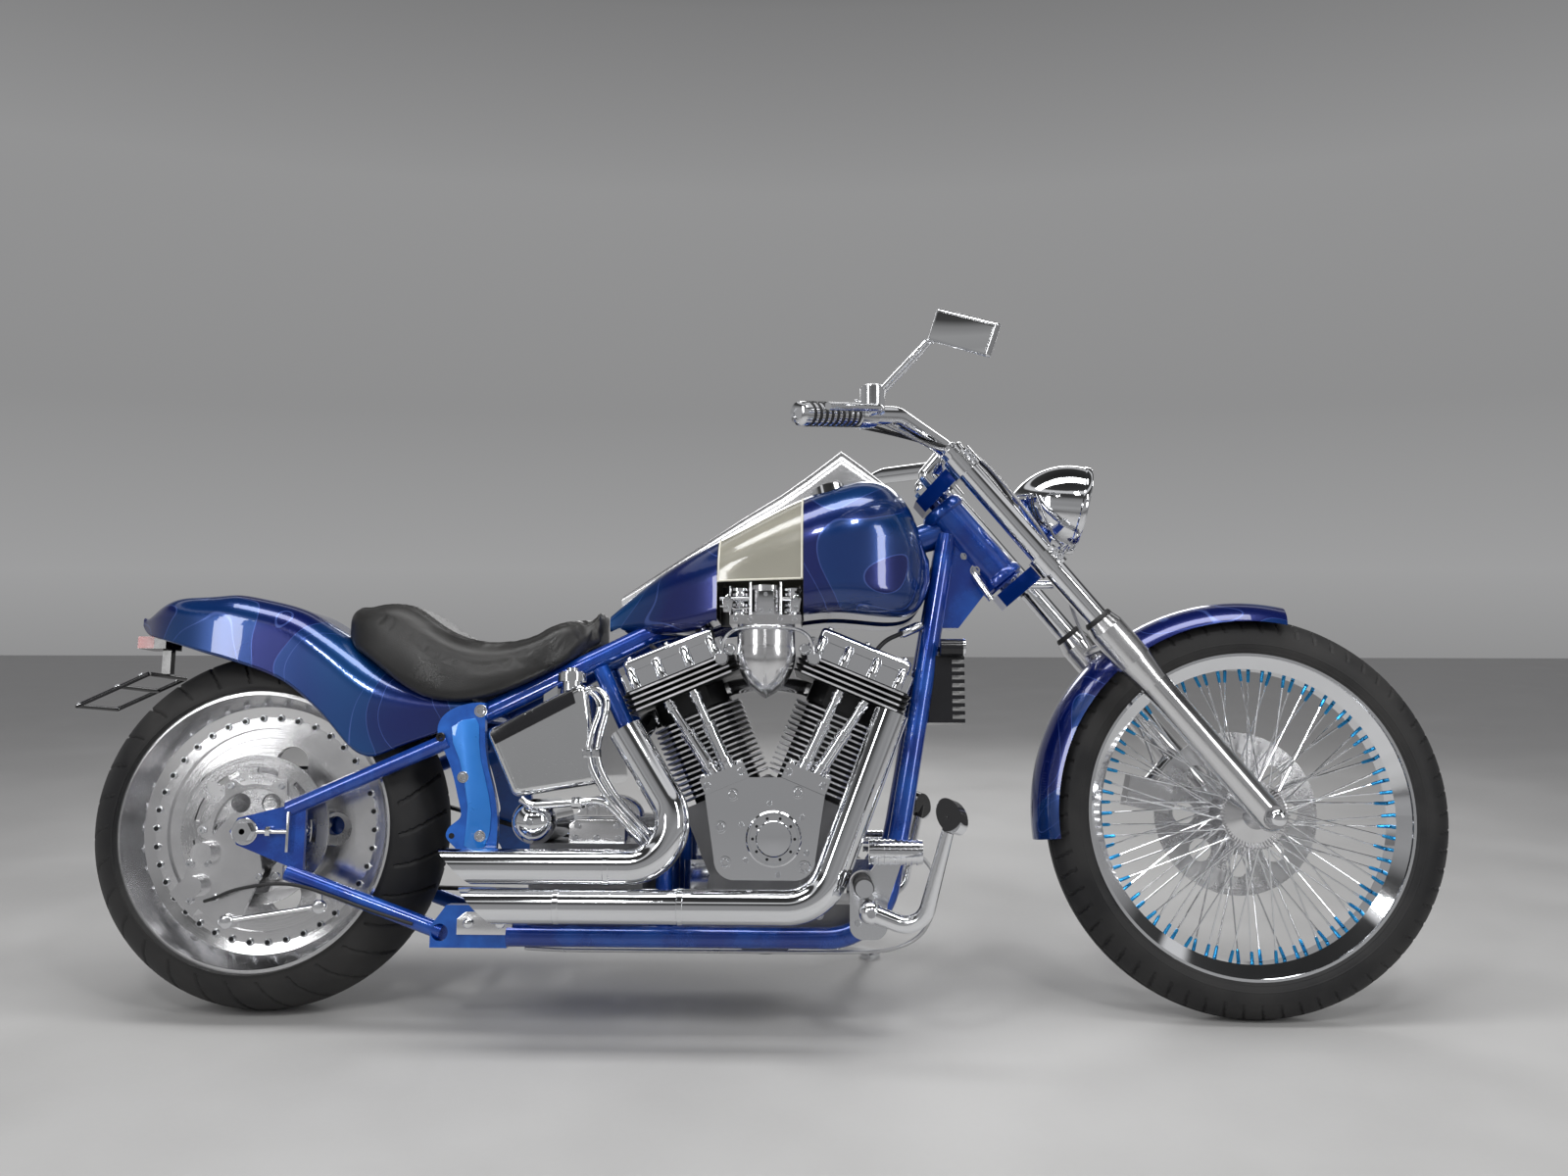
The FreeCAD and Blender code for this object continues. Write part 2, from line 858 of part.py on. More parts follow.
def arc_slot(radius, wide, degrees):
    """A curved slot round the axis, as a sketch outline."""
    half = math.radians(degrees) / 2
    near, far = radius - wide / 2, radius + wide / 2

    def spot(at, angle):
        return at * math.cos(angle), at * math.sin(angle)

    return [
        spot(near, -half),
        (spot(near, 0), spot(near, half)),
        spot(far, half),
        (spot(far, 0), spot(far, -half)),
    ]


def rear_pulley():
    """The belt's toothed pulley on the left of the hub."""
    near, far = v.pulley_y, v.pulley_y + v.pulley_wide
    outline = [
        (v.axle_r + v.running_gap, near),
        (v.pulley_r, near),
        (v.pulley_r, far),
        (v.axle_r + v.running_gap, far),
    ]
    body = revolved("rear_pulley", [outline], REAR_WHEEL)
    hole = ("circle", v.pulley_hole_at, 0, v.pulley_hole_r)
    deep = "pulley_wide + overrun * 2"
    drilled(body, hole, deep, "pulley_hole_count", "pulley_y + pulley_wide + overrun")


def axle(label, right, left, nut, wide, frame):
    """A hollow axle with a hexagon nut at each end."""
    right_end, left_end = size(right), size(left)
    long = f"{right} + {left}"
    solids = [cylinder("axle_r", long, 0, 0, -right_end)]
    for end in (-right_end, left_end - size(wide)):
        prism = doc.addObject("Part::Prism", "Nut")
        prism.Polygon = 6
        bind(prism, Circumradius=nut, Height=wide)
        solids.append(place(prism, 0, 0, end))
    bore = cylinder("axle_bore_r", long + " + overrun * 2", 0, 0, -right_end - v.overrun)
    keep(cut(fused(solids), bore), label, frame)


# Front wheel


def front_wheel():
    tread, half, wall = v.front_tyre_r, v.front_tyre_half, v.front_tyre_wall
    bead, side = v.front_lip_r + v.seat_gap, v.front_rim_half
    crown = tread - half
    inner = half - wall
    outline = [
        (bead, -side),
        (crown, -half),
        ((tread, 0), (crown, half)),
        (bead, side),
        (bead, side - wall),
        (crown, inner),
        ((tread - wall, 0), (crown, -inner)),
        (bead, wall - side),
    ]
    revolved("front_tyre", [outline], FRONT_WHEEL)

    lip, rim_wall, well = v.front_lip_r, v.front_rim_wall, v.front_well_r
    lip_in, well_half = side - v.front_lip_wide, v.front_well_half
    rim = [
        (lip, -side),
        (lip, -lip_in),
        (well + rim_wall, -well_half),
        (well + rim_wall, well_half),
        (lip, lip_in),
        (lip, side),
        (lip - rim_wall, side),
        (lip - rim_wall, lip_in),
        (well, well_half),
        (well, -well_half),
        (lip - rim_wall, -lip_in),
        (lip - rim_wall, -side),
    ]
    revolved("front_rim", [rim], FRONT_WHEEL)
    front_hub()
    front_spokes()


def front_hub():
    hub, half = v.front_hub_r, v.front_hub_half
    flange, thick, bore = v.front_flange_r, v.front_flange_thick, v.axle_r + v.running_gap
    cap, cap_wide = v.front_cap_r, v.front_cap_wide
    outline = [
        (bore, -half - cap_wide),
        (hub, -half - cap_wide),
        ((cap * math.sqrt(0.5), -half - cap_wide / 2), (cap, -half)),
        (flange, -half),
        (flange, thick - half),
        (hub, thick - half),
        (hub, half - thick),
        (flange, half - thick),
        (flange, half),
        (bore, half),
    ]
    revolved("front_hub", [outline], FRONT_WHEEL)


def front_spokes():
    """Straight spokes in two fans, each leaving its flange along a slant to the rim's well."""
    spokes = []
    count = round(v.spoke_count)
    start_r = v.front_flange_r + v.seat_gap + v.spoke_r / 3
    end_r = v.front_well_r - v.seat_gap
    for number in range(count):
        angle = 2 * math.pi * number / count
        side = 1 if number % 2 else -1
        sweep = math.radians(v.spoke_sweep_deg) * (1 if number // 2 % 2 else -1)
        lay = math.copysign(v.front_flange_thick / 2 - v.spoke_r, sweep)
        start_y = side * (v.front_hub_half - v.front_flange_thick / 2 + lay)
        end_y = side * (v.front_well_half / 2 - v.spoke_r + lay)
        start = point(start_r * math.cos(angle), start_r * math.sin(angle), start_y)
        end = point(
            end_r * math.cos(angle + sweep), end_r * math.sin(angle + sweep), end_y
        )
        spokes.append(rod(start, end, v.spoke_r))
    keep(shaped(Part.makeCompound(spokes)), "front_spokes", FRONT_WHEEL)


def front_disc():
    """The left side's brake disc, bolted flat to the hub."""
    near, far = v.front_hub_half, v.front_hub_half + v.front_disc_thick
    outline = [
        (v.axle_r + v.running_gap, near),
        (v.front_disc_r, near),
        (v.front_disc_r, far),
        (v.axle_r + v.running_gap, far),
    ]
    body = revolved("front_disc", [outline], FRONT_WHEEL)
    hole = ("circle", v.front_disc_hole_at, 0, v.front_disc_hole_r)
    deep = "front_disc_thick + overrun * 2"
    offset = "front_hub_half + front_disc_thick + overrun"
    drilled(body, hole, deep, "front_disc_count", offset)


rear_wheel()
rear_disc()
rear_pulley()
axle(
    "rear_axle", "rear_axle_right", "rear_axle_left", "rear_nut_r", "rear_nut_wide", REAR_WHEEL
)
front_wheel()
front_disc()
axle(
    "front_axle",
    "front_axle_half",
    "front_axle_half",
    "front_nut_r",
    "front_nut_wide",
    FRONT_WHEEL,
)

# Fork and handlebar


def fork_tubes():
    tubes = []
    for side in (-1, 1):
        long = "fork_tube_top - fork_tube_low"
        tubes.append(cylinder("fork_tube_r", long, 0, side * v.leg_y, v.fork_tube_low))
    keep(fused(tubes), "fork_tubes", FORK)


def fork_sliders():
    """Polished lower legs that swell round the tubes and end in an eye for the axle."""
    legs = []
    for side in (-1, 1):
        y = side * v.leg_y
        ball = doc.addObject("Part::Sphere", "Foot")
        bind(ball, Radius="slider_r")
        legs.append(place(ball, 0, y, 0))
        legs.append(cylinder("slider_r", "slider_neck", 0, y, 0))
        legs.append(
            cone("slider_r", "slider_swell_r", "slider_swell - slider_neck", 0, y, v.slider_neck)
        )
        straight = "slider_top - slider_swell - slider_shoulder"
        legs.append(cylinder("slider_swell_r", straight, 0, y, v.slider_swell))
        shoulder_z = v.slider_top - v.slider_shoulder
        legs.append(
            cone("slider_swell_r", "slider_collar_r", "slider_shoulder", 0, y, shoulder_z)
        )
        boss_y = side * (v.front_axle_half - v.front_nut_wide - v.seat_gap)
        boss_y -= v.slider_boss_long if side > 0 else 0
        legs.append(
            cylinder("slider_boss_r", "slider_boss_long", 0, boss_y, 0, X_AXIS, -90)
        )
    tools = []
    for side in (-1, 1):
        deep = "slider_top - fork_tube_low + overrun * 2"
        low = v.fork_tube_low - v.overrun
        bore = "fork_tube_r + running_gap"
        tools.append(cylinder(bore, deep, 0, side * v.leg_y, low))
    half = v.front_axle_half
    axle_bore = "axle_r + running_gap"
    tools.append(cylinder(axle_bore, "front_axle_half * 2", 0, -half, 0, X_AXIS, -90))
    keep(cut(fused(legs), fused(tools)), "fork_sliders", FORK)


def yoke(label, low, with_stem):
    """A clamp across both legs, on the stem that turns in the neck."""
    low_z = size(low)
    half, leg, back = v.yoke_plate_half, v.leg_y, -v.fork_offset
    outline = [
        (back - half, -half),
        (-half / 2, -leg),
        (half / 2, -leg),
        (back + half, -half),
        (back + half, half),
        (half / 2, leg),
        (-half / 2, leg),
        (back - half, half),
    ]
    body = body_of("Yoke plate")
    pad = body.newObject("PartDesign::Pad", "Pad")
    pad.Profile = sketch_on(body, "XY_Plane", [outline], low)
    bind(pad, Length="yoke_thick")
    body.Tip = pad
    pieces = [body]
    tools = []
    over = v.yoke_clamp_over
    for side in (-1, 1):
        y = side * leg
        tall = "yoke_thick + yoke_clamp_over * 2"
        pieces.append(cylinder("yoke_clamp_r", tall, 0, y, low_z - over))
        long = "yoke_thick + yoke_clamp_over * 4"
        tools.append(cylinder("fork_tube_r + running_gap", long, 0, y, low_z - over * 2))
    if with_stem:
        tall = "yoke_top - yoke_low + yoke_thick + stem_over"
        pieces.append(cylinder("stem_r", tall, back, 0, low_z))
        keep(cut(fused(pieces), fused(tools)), label, FORK)
        return
    bore = "stem_r + running_gap"
    tools.append(cylinder(bore, "yoke_thick + overrun * 2", back, 0, low_z - v.overrun))
    keep(cut(fused(pieces), fused(tools)), label, FORK)


def handlebar():
    """One chrome bar, clamped on the upper yoke and pulled back to the grips."""
    right = [
        point(v.bar_x, -v.bar_y, v.bar_z),
        point(v.bar_out_x, -v.bar_out_y, v.bar_out_z),
        point(v.bar_end_x, -v.bar_end_y, v.bar_end_z),
    ]
    left = [point(at.x, -at.y, at.z) for at in reversed(right)]
    bar = tube(left + right, v.bar_r, v.bar_bend)
    risers = []
    top = v.yoke_top + v.yoke_thick + v.seat_gap
    clamp = LEG.inverse().multVec(point(v.bar_x, 0, v.bar_z))
    for side in (-1, 1):
        y = side * (v.bar_y - v.riser_r)
        foot = LEG.multVec(point(-v.riser_back, y, top))
        knee = LEG.multVec(point(-v.riser_back, y, top + v.riser_r))
        risers.append(rod(foot, knee, v.riser_r))
        risers.append(Part.makeSphere(v.riser_r, knee))
        risers.append(rod(knee, LEG.multVec(point(clamp.x, y, clamp.z)), v.riser_r))
    keep(shaped(joined([bar] + risers)), "handlebar", BIKE)


def grip_line(side):
    """The bar's last run, from its bend to its end, and its direction."""
    end = point(v.bar_end_x, side * v.bar_end_y, v.bar_end_z)
    bend = point(v.bar_out_x, side * v.bar_out_y, v.bar_out_z)
    return end, (bend - end).normalize()


def grips():
    shapes = []
    for side in (-1, 1):
        end, along = grip_line(side)
        sleeve = rod(end - along * v.grip_end, end + along * v.grip_long, v.grip_r)
        bar = rod(end, end + along * (v.grip_long + v.overrun), v.bar_r + v.running_gap)
        shapes.append(sleeve.cut(bar))
    keep(shaped(Part.makeCompound(shapes)), "grips", BIKE)


def control_line(side):
    """Where a hand control's clamp starts, the bar's direction there and the way ahead."""
    end, along = grip_line(side)
    start = end + along * (v.grip_long + v.seat_gap)
    return start, along, along.cross(Z_AXIS).normalize() * -side


def fluid_pot(side, gap):
    start, along, ahead = control_line(side)
    foot = start + along * v.clamp_long / 2 + ahead * v.clamp_r
    return rod(foot - Z_AXIS * gap, foot + Z_AXIS * (v.pot_tall + gap), v.pot_r + gap)


def hand_controls():
    """A clamp, a lever and a fluid pot inboard of each grip."""
    shapes = []
    for side in (-1, 1):
        start, along, ahead = control_line(side)
        clamp = rod(start, start + along * v.clamp_long, v.clamp_r)
        pot = fluid_pot(side, 0)
        pivot = start + ahead * v.lever_out
        lever = tube(
            [
                start + along * v.clamp_long / 2,
                pivot,
                pivot - along * v.lever_long,
            ],
            v.lever_r,
            v.lever_out / 2,
        )
        bar = rod(start - along * v.overrun, start + along * v.bar_end_y, v.bar_r + v.seat_gap)
        shapes.append(joined([clamp, pot, lever]).cut(bar))
    keep(shaped(Part.makeCompound(shapes)), "hand_controls", BIKE)


def mirror():
    """The right side's mirror, on a stem from the fluid pot's clamp."""
    start, along, ahead = control_line(-1)
    foot = start + along * v.clamp_long / 2 + ahead * v.clamp_r + Z_AXIS * v.pot_tall / 2
    elbow = point(v.mirror_x, -v.mirror_y, v.mirror_z)
    apart = along * v.mirror_stem_apart / 2
    stems = [rod(foot + apart * side, elbow + apart * side, v.mirror_stem_r) for side in (-1, 1)]
    apart_end = apart * (1 + 2 * v.mirror_stem_r / v.mirror_stem_apart)
    ends = [
        rod(spot - apart_end, spot + apart_end, v.mirror_stem_r + v.running_gap)
        for spot in (foot, elbow)
    ]
    head = Part.makeBox(
        v.mirror_long, v.mirror_thick, v.mirror_tall, point(0, -v.mirror_thick / 2, 0)
    )
    head = head.makeFillet(v.mirror_thick / 3, head.Edges)
    head.rotate(ORIGIN, Y_AXIS, v.mirror_dip_deg)
    head.rotate(ORIGIN, Z_AXIS, -v.mirror_turn_deg)
    head.translate(elbow)
    keep(largest(joined([head] + stems + ends).cut(fluid_pot(-1, v.seat_gap))), "mirror", BIKE)


def headlight():
    """A chrome bullet shell with a clear lens, on a post from the lower yoke."""
    face = FreeCAD.Placement(
        point(v.lamp_x, 0, v.lamp_z), FreeCAD.Rotation(Y_AXIS, 90 + v.lamp_dip_deg)
    )
    radius, long, rim = v.lamp_r, v.lamp_long, v.lamp_rim
    lens_r = radius - v.lamp_wall
    outline = [
        (0, -long),
        (
            (radius * math.sin(math.radians(v.lamp_mid_deg)), -long * v.lamp_mid_share),
            (radius, -rim),
        ),
        (radius, 0),
        (lens_r, 0),
        (lens_r, -v.lamp_lens - v.seat_gap),
        (0, -v.lamp_lens - v.seat_gap),
    ]
    revolved("headlight", [outline], BIKE * face)
    lens = [
        (0, 0),
        (lens_r - v.seat_gap, 0),
        (lens_r - v.seat_gap, -v.lamp_lens),
        (0, -v.lamp_lens),
    ]
    revolved("headlight_lens", [lens], BIKE * face)
    front_x = v.seat_gap - v.fork_offset + v.yoke_plate_half
    middle_z = v.yoke_low + v.yoke_thick / 2
    yoke_front = LEG.multVec(point(front_x - v.lamp_post_r, 0, middle_z))
    wide = v.yoke_thick * 4
    yoke = Part.makeBox(wide, wide, wide, point(front_x - wide, -wide / 2, middle_z - wide / 2))
    yoke.Placement = LEG
    shell = Part.Face(
        Part.Wire(
            [
                Part.LineSegment(ORIGIN, point(0, 0, -long - v.seat_gap)).toShape(),
                Part.Arc(
                    point(0, 0, -long - v.seat_gap),
                    point(
                        radius * math.sin(math.radians(v.lamp_mid_deg)) + v.seat_gap,
                        0,
                        -long * v.lamp_mid_share,
                    ),
                    point(radius + v.seat_gap, 0, -rim),
                ).toShape(),
                Part.LineSegment(
                    point(radius + v.seat_gap, 0, -rim), point(radius + v.seat_gap)
                ).toShape(),
                Part.LineSegment(point(radius + v.seat_gap), ORIGIN).toShape(),
            ]
        )
    ).revolve(ORIGIN, Z_AXIS, v.full_turn_deg)
    shell.Placement = face
    under = face.multVec(point(v.lamp_r - v.lamp_wall, 0, -v.lamp_rim * 2))
    post = tube(
        [yoke_front, point(under.x, 0, yoke_front.z), under], v.lamp_post_r, v.lamp_post_r * 3
    )
    keep(largest(post.cut(yoke).cut(shell)), "headlight_post", BIKE)


def front_fender():
    """A narrow crowned blade round the tyre's back and top, on a bridge between the legs."""
    half, crown, skirt = v.front_fender_half, v.front_fender_r, v.front_fender_skirt_r
    wall = v.fender_wall
    section = Part.Wire(
        [
            Part.LineSegment(point(skirt, 0, -half), point(skirt, 0, wall - half)).toShape(),
            Part.Arc(
                point(skirt, 0, wall - half), point(crown - wall), point(skirt, 0, half - wall)
            ).toShape(),
            Part.LineSegment(point(skirt, 0, half - wall), point(skirt, 0, half)).toShape(),
            Part.Arc(point(skirt, 0, half), point(crown), point(skirt, 0, -half)).toShape(),
        ]
    )
    sweep = v.front_fender_to_deg - v.front_fender_from_deg
    blade = shaped(Part.Face(section).revolve(ORIGIN, Z_AXIS, sweep))
    back = FreeCAD.Placement(ORIGIN, FreeCAD.Rotation(Z_AXIS, -v.front_fender_to_deg))
    keep(blade, "front_fender", FRONT_WHEEL * back)


def front_caliper():
    """A caliper over the left disc, bolted to the slider's back."""
    disc_y = v.front_hub_half + v.front_disc_thick / 2
    reach = v.front_disc_r - v.caliper_long / 3
    shell = Part.makeBox(
        v.caliper_wide,
        v.caliper_thick,
        v.caliper_long,
        point(-v.caliper_wide / 2, disc_y - v.caliper_inner, reach),
    )
    slot = Part.makeBox(
        v.caliper_wide * 2,
        v.front_disc_thick + v.caliper_gap * 2,
        v.caliper_long,
        point(
            -v.caliper_wide, disc_y - v.front_disc_thick / 2 - v.caliper_gap, reach - v.overrun
        ),
    )
    body = shell.cut(slot)
    body.rotate(ORIGIN, Y_AXIS, -v.caliper_back_deg)
    middle_z = v.front_disc_r * math.cos(math.radians(v.caliper_back_deg))
    middle_x = -v.front_disc_r * math.sin(math.radians(v.caliper_back_deg))
    outer = disc_y + v.caliper_thick - v.caliper_inner - v.caliper_lug_r
    lugs = []
    for side in (-1, 1):
        z = middle_z + side * v.caliper_lug_r * 2
        start = point(middle_x + side * v.caliper_lug_r / 2, outer, z)
        lugs.append(rod(start, point(0, v.leg_y, z), v.caliper_lug_r))
    leg = rod(ORIGIN + Y_AXIS * v.leg_y, point(0, v.leg_y, v.slider_neck), v.slider_r + v.seat_gap)
    whole = joined([body] + lugs).cut(leg)
    keep(largest(whole), "front_caliper", FORK)


def fender_bridge():
    """The bar between the lower legs that the front fender hangs from."""
    reach = v.leg_y - v.slider_swell_r - v.seat_gap
    z = v.front_fender_r + v.bridge_r + v.seat_gap
    bar = cylinder(
        "bridge_r", "(leg_y - slider_swell_r - seat_gap) * 2", 0, -reach, z, X_AXIS, -90
    )
    keep(fused([bar, sphere_at("bridge_r", 0, 0, z)]), "fender_bridge", FORK)


fork_tubes()
fork_sliders()
yoke("lower_yoke", "yoke_low", True)
yoke("upper_yoke", "yoke_top", False)
handlebar()
grips()
hand_controls()
mirror()
headlight()
front_fender()
front_caliper()
fender_bridge()

# Frame


def rail(side):
    return [
        point(v.rail_back_x, side * v.rail_y, v.rail_z),
        point(v.rail_front_x, side * v.rail_y, v.rail_z),
        point(v.down_x, side * v.down_y, v.down_z),
        point(v.down_top_x, side * v.down_top_y, v.down_top_z),
    ]


def seat_rail(side):
    return [
        point(v.backbone_x + v.seat_rail_top_y, 0, v.backbone_z + v.frame_tube_r / 2),
        point(v.backbone_x, side * v.seat_rail_top_y, v.backbone_z),
        point(v.seat_rail_x, side * v.seat_rail_y, v.seat_rail_z),
    ]


def seat_post(side):
    return [
        point(v.post_x, side * v.post_y, v.post_z),
        point(v.post_foot_x, side * v.post_y, v.post_bend_z),
        point(v.post_foot_x, side * v.post_y, v.rail_z),
    ]


def cross_tube(x, z, right, left, radius):
    return rod(point(x, -right, z), point(x, left, z), radius)


def stand_axis():
    """The side stand's hinge: its place, its direction and the spot where the foot stands."""
    pivot = point(v.stand_pivot_x, v.stand_pivot_y, v.stand_pivot_z)
    foot = point(v.stand_foot_x, v.stand_foot_y, v.stand_foot_y * math.tan(LEAN))
    along = (foot - pivot).normalize()
    folded = point(-1, v.stand_fold_share, -v.stand_fold_share / 2).normalize()
    return pivot, along.cross(folded).normalize(), foot


def frame():
    """Steel tubes round the engine, brazed into the neck, with the stand's hinge pin."""
    thin = v.cross_tube_r
    shapes = []
    for side in (-1, 1):
        shapes.append(tube(rail(side), v.frame_tube_r, v.frame_bend))
        shapes.append(tube(seat_rail(side), v.frame_tube_r, v.frame_bend))
        shapes.append(tube(seat_post(side), v.post_r, v.frame_bend))
    top = point(v.backbone_top_x, 0, v.backbone_top_z)
    shapes.append(rod(point(v.backbone_x, 0, v.backbone_z), top, v.backbone_r))
    for x in (v.post_foot_x, v.engine_cross_x, v.rail_front_x - v.frame_tube_r * 3):
        shapes.append(cross_tube(x, v.rail_z, v.rail_y, v.rail_y, thin))
    right = v.swing_right_y - v.casting_thick / 2 - v.seat_gap
    left = v.swing_left_y - v.casting_thick / 2 - v.seat_gap
    shapes.append(cross_tube(v.seat_rail_x, v.seat_rail_z, right, left, thin))
    tray = Part.makeBox(
        v.gearbox_long,
        v.rail_y * 2,
        v.tray_thick,
        point(v.gearbox_x, -v.rail_y, v.rail_z - v.tray_thick / 2),
    )
    shapes.append(tray)
    neck_low = v.yoke_low + v.yoke_thick + v.neck_gap
    neck_long = v.yoke_top - v.neck_gap - neck_low
    neck = Part.makeCylinder(v.neck_r, neck_long, point(-v.fork_offset, 0, neck_low))
    bore = Part.makeCylinder(
        v.stem_r + v.running_gap,
        neck_long + v.overrun * 2,
        point(-v.fork_offset, 0, neck_low - v.overrun),
    )
    neck.Placement = LEG
    bore.Placement = LEG
    half = v.gusset_half
    corners = [
        (v.down_top_x - v.frame_tube_r, v.gusset_low_z),
        (v.down_top_x + v.frame_tube_r, v.gusset_low_z),
        (v.gusset_front_x, v.gusset_front_z),
        (v.backbone_top_x + v.neck_r, v.backbone_top_z),
        (v.backbone_top_x, v.backbone_top_z),
    ]
    wire = Part.makePolygon([point(x, -half, z) for x, z in corners + corners[:1]])
    shapes.append(Part.Face(wire).extrude(point(0, half * 2)))
    pivot, axis, foot = stand_axis()
    top_of_boss = pivot + axis * (v.stand_boss_tall / 2 + v.seat_gap)
    shapes.append(rod(top_of_boss, top_of_boss + axis * v.stand_lug, v.stand_boss_r))
    pin_foot = pivot - axis * v.stand_boss_tall / 2
    shapes.append(rod(pin_foot, top_of_boss + axis * v.overrun, v.stand_pin_r))
    keep(shaped(joined([neck] + shapes).cut(bore)), "frame", BIKE)


CASTING_front_share = [
    (0.705, 1.00),
    (0.72, 0.865),
    (0.74, 0.73),
    (0.81, 0.58),
    (0.91, 0.44),
    (0.96, 0.30),
    (0.96, 0.15),
    (0.91, 0.00),
]
CASTING_back_share = [
    (0.40, 0.00),
    (0.27, 0.15),
    (0.18, 0.20),
    (0.25, 0.26),
    (0.39, 0.31),
    (0.375, 0.38),
    (0.31, 0.48),
    (0.22, 0.60),
    (0.10, 0.71),
    (0.00, 0.80),
]
CASTING_top_share = [(0.00, 0.80), (0.03, 0.90), (0.25, 0.97), (0.705, 1.00)]


def casting(near, far):
    """The curved rear casting, from the seat rail's end down to its lug."""
    runs = []
    bottom = [CASTING_front_share[-1], CASTING_back_share[0]]
    for share in (CASTING_front_share, bottom, CASTING_back_share, CASTING_top_share):
        curve = Part.BSplineCurve()
        curve.interpolate(
            [
                point(v.casting_x + x * v.casting_long, near, v.casting_z + z * v.casting_tall)
                for x, z in share
            ]
        )
        runs.append(curve.toShape())
    return Part.Face(Part.Wire(runs)).extrude(point(0, far - near))


def foot_casting_outline():
    share = [(0.0, 0.0), (1.0, 0.0), (1.0, 0.55), (0.55, 1.0), (0.2, 1.0), (0.0, 0.5)]
    return [
        (v.foot_casting_x + x * v.foot_casting_long, v.foot_casting_z + z * v.foot_casting_tall)
        for x, z in share
    ]


def slab(outline, near, far):
    """A flat outline in the side view, from one distance across the bike to another."""
    wire = Part.makePolygon([point(x, near, z) for x, z in outline + outline[:1]])
    return Part.Face(wire).extrude(point(0, far - near))


def swing_tubes(side, y, radius):
    top = rod(
        point(v.swing_top_x, side * y, v.swing_top_z),
        point(v.swing_top_back_x, side * y, v.swing_top_back_z),
        radius,
    )
    low = rod(
        point(v.swing_low_x, side * y, v.swing_low_z),
        point(v.swing_low_back_x, side * y, v.swing_low_back_z),
        radius,
    )
    return [top, low]


def rear_castings():
    """Four castings that carry the rear fork: a curved pair and a foot pair."""
    shapes = []
    wide = v.swing_left_y + v.swing_tube_r
    across = cross_tube(
        v.swing_low_x, v.swing_low_z, wide, wide, v.swing_tube_r + v.seat_gap
    )
    for side, y in ((-1, v.swing_right_y), (1, v.swing_left_y)):
        half = v.casting_thick / 2
        upper = casting(side * (y - half), side * (y + half))
        foot_half = v.foot_casting_thick / 2
        lower = slab(foot_casting_outline(), side * (y - foot_half), side * (y + foot_half))
        for tool in swing_tubes(side, y, v.swing_tube_r + v.seat_gap) + [across]:
            upper = upper.cut(tool)
            lower = lower.cut(tool)
        shapes += [upper, lower]
    keep(shaped(Part.makeCompound(shapes)), "rear_castings", BIKE)


def rear_fork():
    """The rigid-looking triangle that carries the rear axle."""
    shapes = []
    for side, y in ((-1, v.swing_right_y), (1, v.swing_left_y)):
        half = v.swing_plate_thick / 2
        nose = v.swing_plate_nose_r
        nose_x, nose_z = -nose * v.swing_nose_back_share, nose * v.swing_nose_side_share
        outline = [
            (v.swing_plate_x, REAR_AXLE_Z + v.swing_plate_up),
            (nose_x, REAR_AXLE_Z + nose_z),
            (-nose, REAR_AXLE_Z),
            (nose_x, REAR_AXLE_Z - nose_z),
            (v.swing_plate_x, REAR_AXLE_Z - v.swing_plate_down),
        ]
        web = slab(outline, side * (y - half), side * (y + half))
        hole = rod(
            point(0, side * (y - half * 2), REAR_AXLE_Z),
            point(0, side * (y + half * 2), REAR_AXLE_Z),
            v.axle_r + v.running_gap,
        )
        shapes.append(web.cut(hole))
        shapes += swing_tubes(side, y, v.swing_tube_r)
    cross = cross_tube(
        v.swing_low_x, v.swing_low_z, v.swing_right_y, v.swing_left_y, v.swing_tube_r
    )
    keep(shaped(joined(shapes + [cross])), "rear_fork", BIKE)


# Sheet metal, seat and tank

FENDER_share = [
    (0.000, 0.83, 0.880, 0.30, 0.1, 0.8),
    (0.082, 0.74, 0.950, 0.70, 0.1, 0.9),
    (0.169, 0.69, 0.990, 0.92, 0.1, 0.9),
    (0.250, 0.64, 1.000, 0.98, 0.1, 0.9),
    (0.332, 0.59, 1.000, 1.00, 0.1, 0.9),
    (0.404, 0.54, 0.970, 1.00, 0.1, 0.9),
    (0.476, 0.47, 0.930, 1.00, 0.1, 0.9),
    (0.545, 0.36, 0.860, 1.00, 0.1, 0.9),
    (0.600, 0.25, 0.790, 1.00, 0.1, 0.9),
    (0.650, 0.13, 0.725, 1.00, 0.1, 0.9),
    (0.700, 0.055, 0.650, 1.00, 0.1, 0.9),
    (0.760, 0.065, 0.560, 1.00, 0.1, 0.9),
    (0.840, 0.135, 0.470, 1.00, 0.1, 0.9),
    (0.920, 0.2, 0.415, 1.00, 0.1, 0.9),
    (1.000, 0.26, 0.380, 1.00, 0.1, 0.9),
]
SEAT_share = [
    (0.00, 0.62, 0.88, 0.45, 0.3, 0.6),
    (0.08, 0.48, 0.96, 0.72, 0.3, 0.7),
    (0.18, 0.30, 0.99, 0.82, 0.3, 0.7),
    (0.26, 0.16, 0.95, 0.88, 0.3, 0.7),
    (0.38, 0.04, 0.76, 0.96, 0.3, 0.7),
    (0.48, 0.02, 0.63, 1.00, 0.3, 0.7),
    (0.58, 0.06, 0.57, 1.00, 0.3, 0.7),
    (0.76, 0.24, 0.66, 0.92, 0.3, 0.7),
    (0.90, 0.44, 0.82, 0.66, 0.3, 0.7),
    (1.00, 0.62, 0.97, 0.38, 0.3, 0.6),
]
